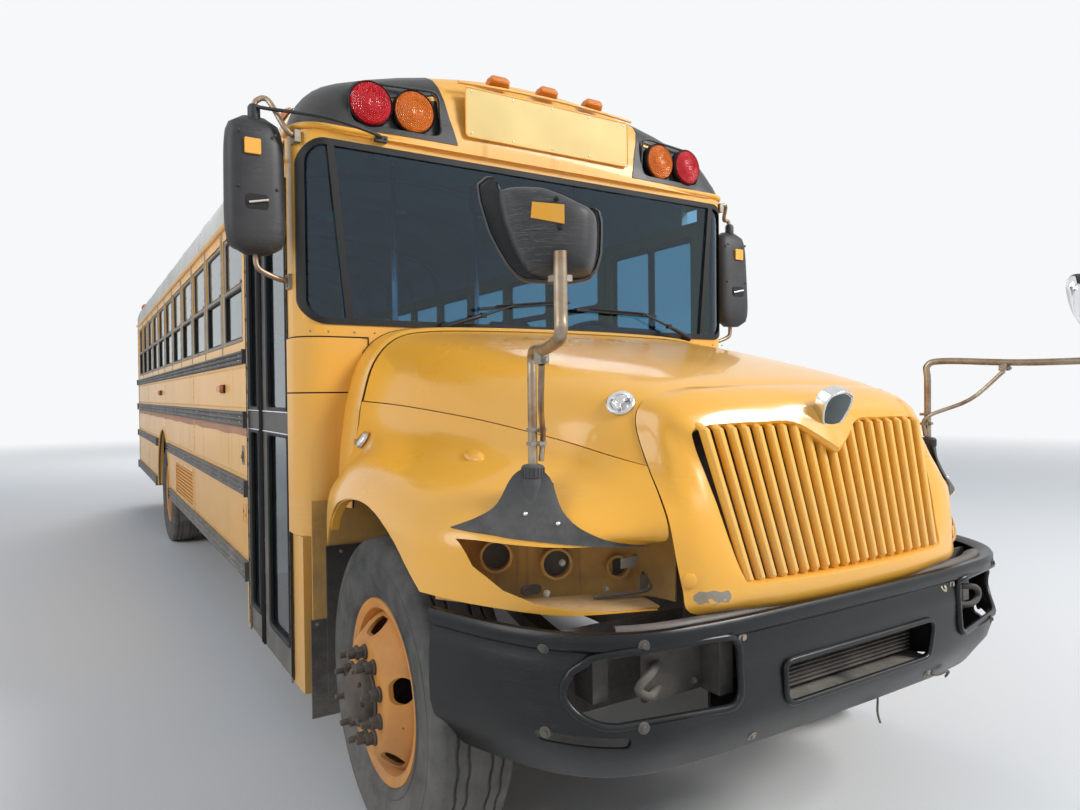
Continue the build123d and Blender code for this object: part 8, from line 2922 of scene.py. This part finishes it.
class BusSizes(bpy.types.PropertyGroup):
    """Sizes of the pieces that are laid over the frame."""

    seam_gap: FloatProperty(
        name="Seam gap", description="Half the gap between the hood's panels",
        default=0.0025, min=0.0005, max=0.01, unit="LENGTH")
    panel_skin: FloatProperty(
        name="Panel skin", description="Thickness of the hood's panels",
        default=0.006, min=0.002, max=0.012, unit="LENGTH")
    slat_count: IntProperty(
        name="Slats", description="Upright slats in the grille", default=20, min=8, max=30)
    rivet_radius: FloatProperty(
        name="Rivet radius", description="Radius of the rivets on the body's panels",
        default=0.0062, min=0.003, max=0.012, unit="LENGTH")
    rivet_pitch: FloatProperty(
        name="Rivet pitch", description="Distance between two rivets in a row",
        default=0.075, min=0.03, max=0.2, unit="LENGTH")
    groove_depth: FloatProperty(
        name="Groove depth", description="Depth of the grooves in the tires' treads",
        default=0.009, min=0.002, max=0.015, unit="LENGTH")
    tread_blocks: IntProperty(
        name="Tread blocks", description="Blocks round a tire's shoulder",
        default=64, min=24, max=90)


class StageLight(bpy.types.PropertyGroup):
    """Levels of the studio light."""

    key_level: FloatProperty(
        name="Key", description="Power of the main soft light", default=1800.0, min=0.0,
        unit="POWER")
    fill_level: FloatProperty(
        name="Fill", description="Strength of the light from all round", default=0.62, min=0.0,
        max=3.0)


def give_finishes():
    """Put each frame node's finish in its own material slot."""
    for finish, nodes in NODE_FINISHES.items():
        for node in nodes.split():
            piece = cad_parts[node]
            if not piece.data.materials:
                piece.data.materials.append(None)
            for slot in piece.material_slots:
                slot.material = coating(finish)


class BuildFinishes(bpy.types.Operator):
    """Build the shared effects and give every frame node its finish"""

    bl_idname = "school_bus.finishes"
    bl_label = "Finishes"

    def execute(self, context):
        build_effects()
        give_finishes()
        return {"FINISHED"}


class BuildStage(bpy.types.Operator):
    """Lay the floor and set the soft light and the camera"""

    bl_idname = "school_bus.stage"
    bl_label = "Stage"

    def execute(self, context):
        build_stage(context.scene.bus_light)
        return {"FINISHED"}


def build_step(name, label, text, *builders):
    """An operator that runs the given builders with the bus's sizes."""

    def execute(self, context):
        for builder in builders:
            builder(context.scene.bus_sizes)
        return {"FINISHED"}

    kind = "Build" + "".join(word.title() for word in name.split("_"))
    return type(kind, (bpy.types.Operator,), {
        "__doc__": text, "bl_idname": f"school_bus.{name}", "bl_label": label,
        "execute": execute,
    })


OPERATORS = (
    BuildFinishes,
    BuildStage,
    build_step("hood", "Hood", "Build the hood's crown, fenders, liner and fittings",
               build_hood, build_hood_fittings),
    build_step("nose", "Nose", "Build the nose panel, its slats and the blank shield", build_nose),
    build_step("lamp_buckets", "Headlamp buckets", "Build the buckets and the one headlamp",
               build_lamp_buckets),
    build_step("cross_mirrors", "Cross-view mirrors", "Build the mirrors on the fenders",
               build_cross_mirrors),
    build_step("road_mirrors", "Road mirrors", "Build the mirrors at the cabin's front corners",
               build_road_mirrors),
    build_step("front_bumper", "Front bumper", "Build the bumper, its rims, brackets and bolts",
               build_front_bumper),
    build_step("front_cap", "Front cap", "Build the cap over the windscreen and its signs",
               build_front_cap),
    build_step("lamps", "Lamps", "Build the warning, marker and tail lamps", build_lamps),
    build_step("screen", "Windscreen and cowl", "Build the wipers, cowl skins and collar",
               build_screen),
    build_step("wheels", "Wheels", "Build the tires, rims and hubs", build_wheels),
    build_step("rub_rails", "Rub rails", "Build the ribbed rails along both sides",
               build_rub_rails),
    build_step("side_skins", "Side skins", "Build the sides' seams, rivets and fittings",
               build_side_skins),
    build_step("windows", "Windows", "Build the window posts and sashes", build_windows),
    build_step("doors", "Entrance door", "Build the trim of both door leaves", build_doors),
    build_step("stop_arm", "Stop arm", "Build the blank octagon and its bracket",
               build_stop_arm),
    build_step("roof", "Roof", "Build the roof's laps, drip rails, hatches and bows", build_roof),
    build_step("rear", "Rear", "Build the rear wall's and the exit door's trim", build_rear),
    build_step("underbody", "Underbody", "Build the frame's rivets and flap bolts",
               build_underbody),
    build_step("inside", "Inside", "Build the seats, the dash, the wheel and the header",
               build_benches, build_driver_seat, build_dash),
)


class SchoolBusPanel(bpy.types.Panel):
    """Lists the bus's sizes and the steps that build it"""

    bl_idname = "VIEW3D_PT_school_bus"
    bl_label = "School Bus"
    bl_space_type = "VIEW_3D"
    bl_region_type = "UI"
    bl_category = "School Bus"

    def draw(self, context):
        layout = self.layout
        for group in (context.scene.bus_sizes, context.scene.bus_light):
            box = layout.box()
            for name in group.__annotations__:
                box.prop(group, name)
        for operator in OPERATORS:
            layout.operator(operator.bl_idname)


CLASSES = (BusSizes, StageLight, *OPERATORS, SchoolBusPanel)


def register():
    for one in CLASSES:
        bpy.utils.register_class(one)
    bpy.types.Scene.bus_sizes = PointerProperty(type=BusSizes)
    bpy.types.Scene.bus_light = PointerProperty(type=StageLight)


def unregister():
    del bpy.types.Scene.bus_light
    del bpy.types.Scene.bus_sizes
    for one in reversed(CLASSES):
        bpy.utils.unregister_class(one)


def main():
    register()
    for operator in OPERATORS:
        getattr(bpy.ops.school_bus, operator.bl_idname.split(".")[1])()


if __name__ == "__main__":
    main()
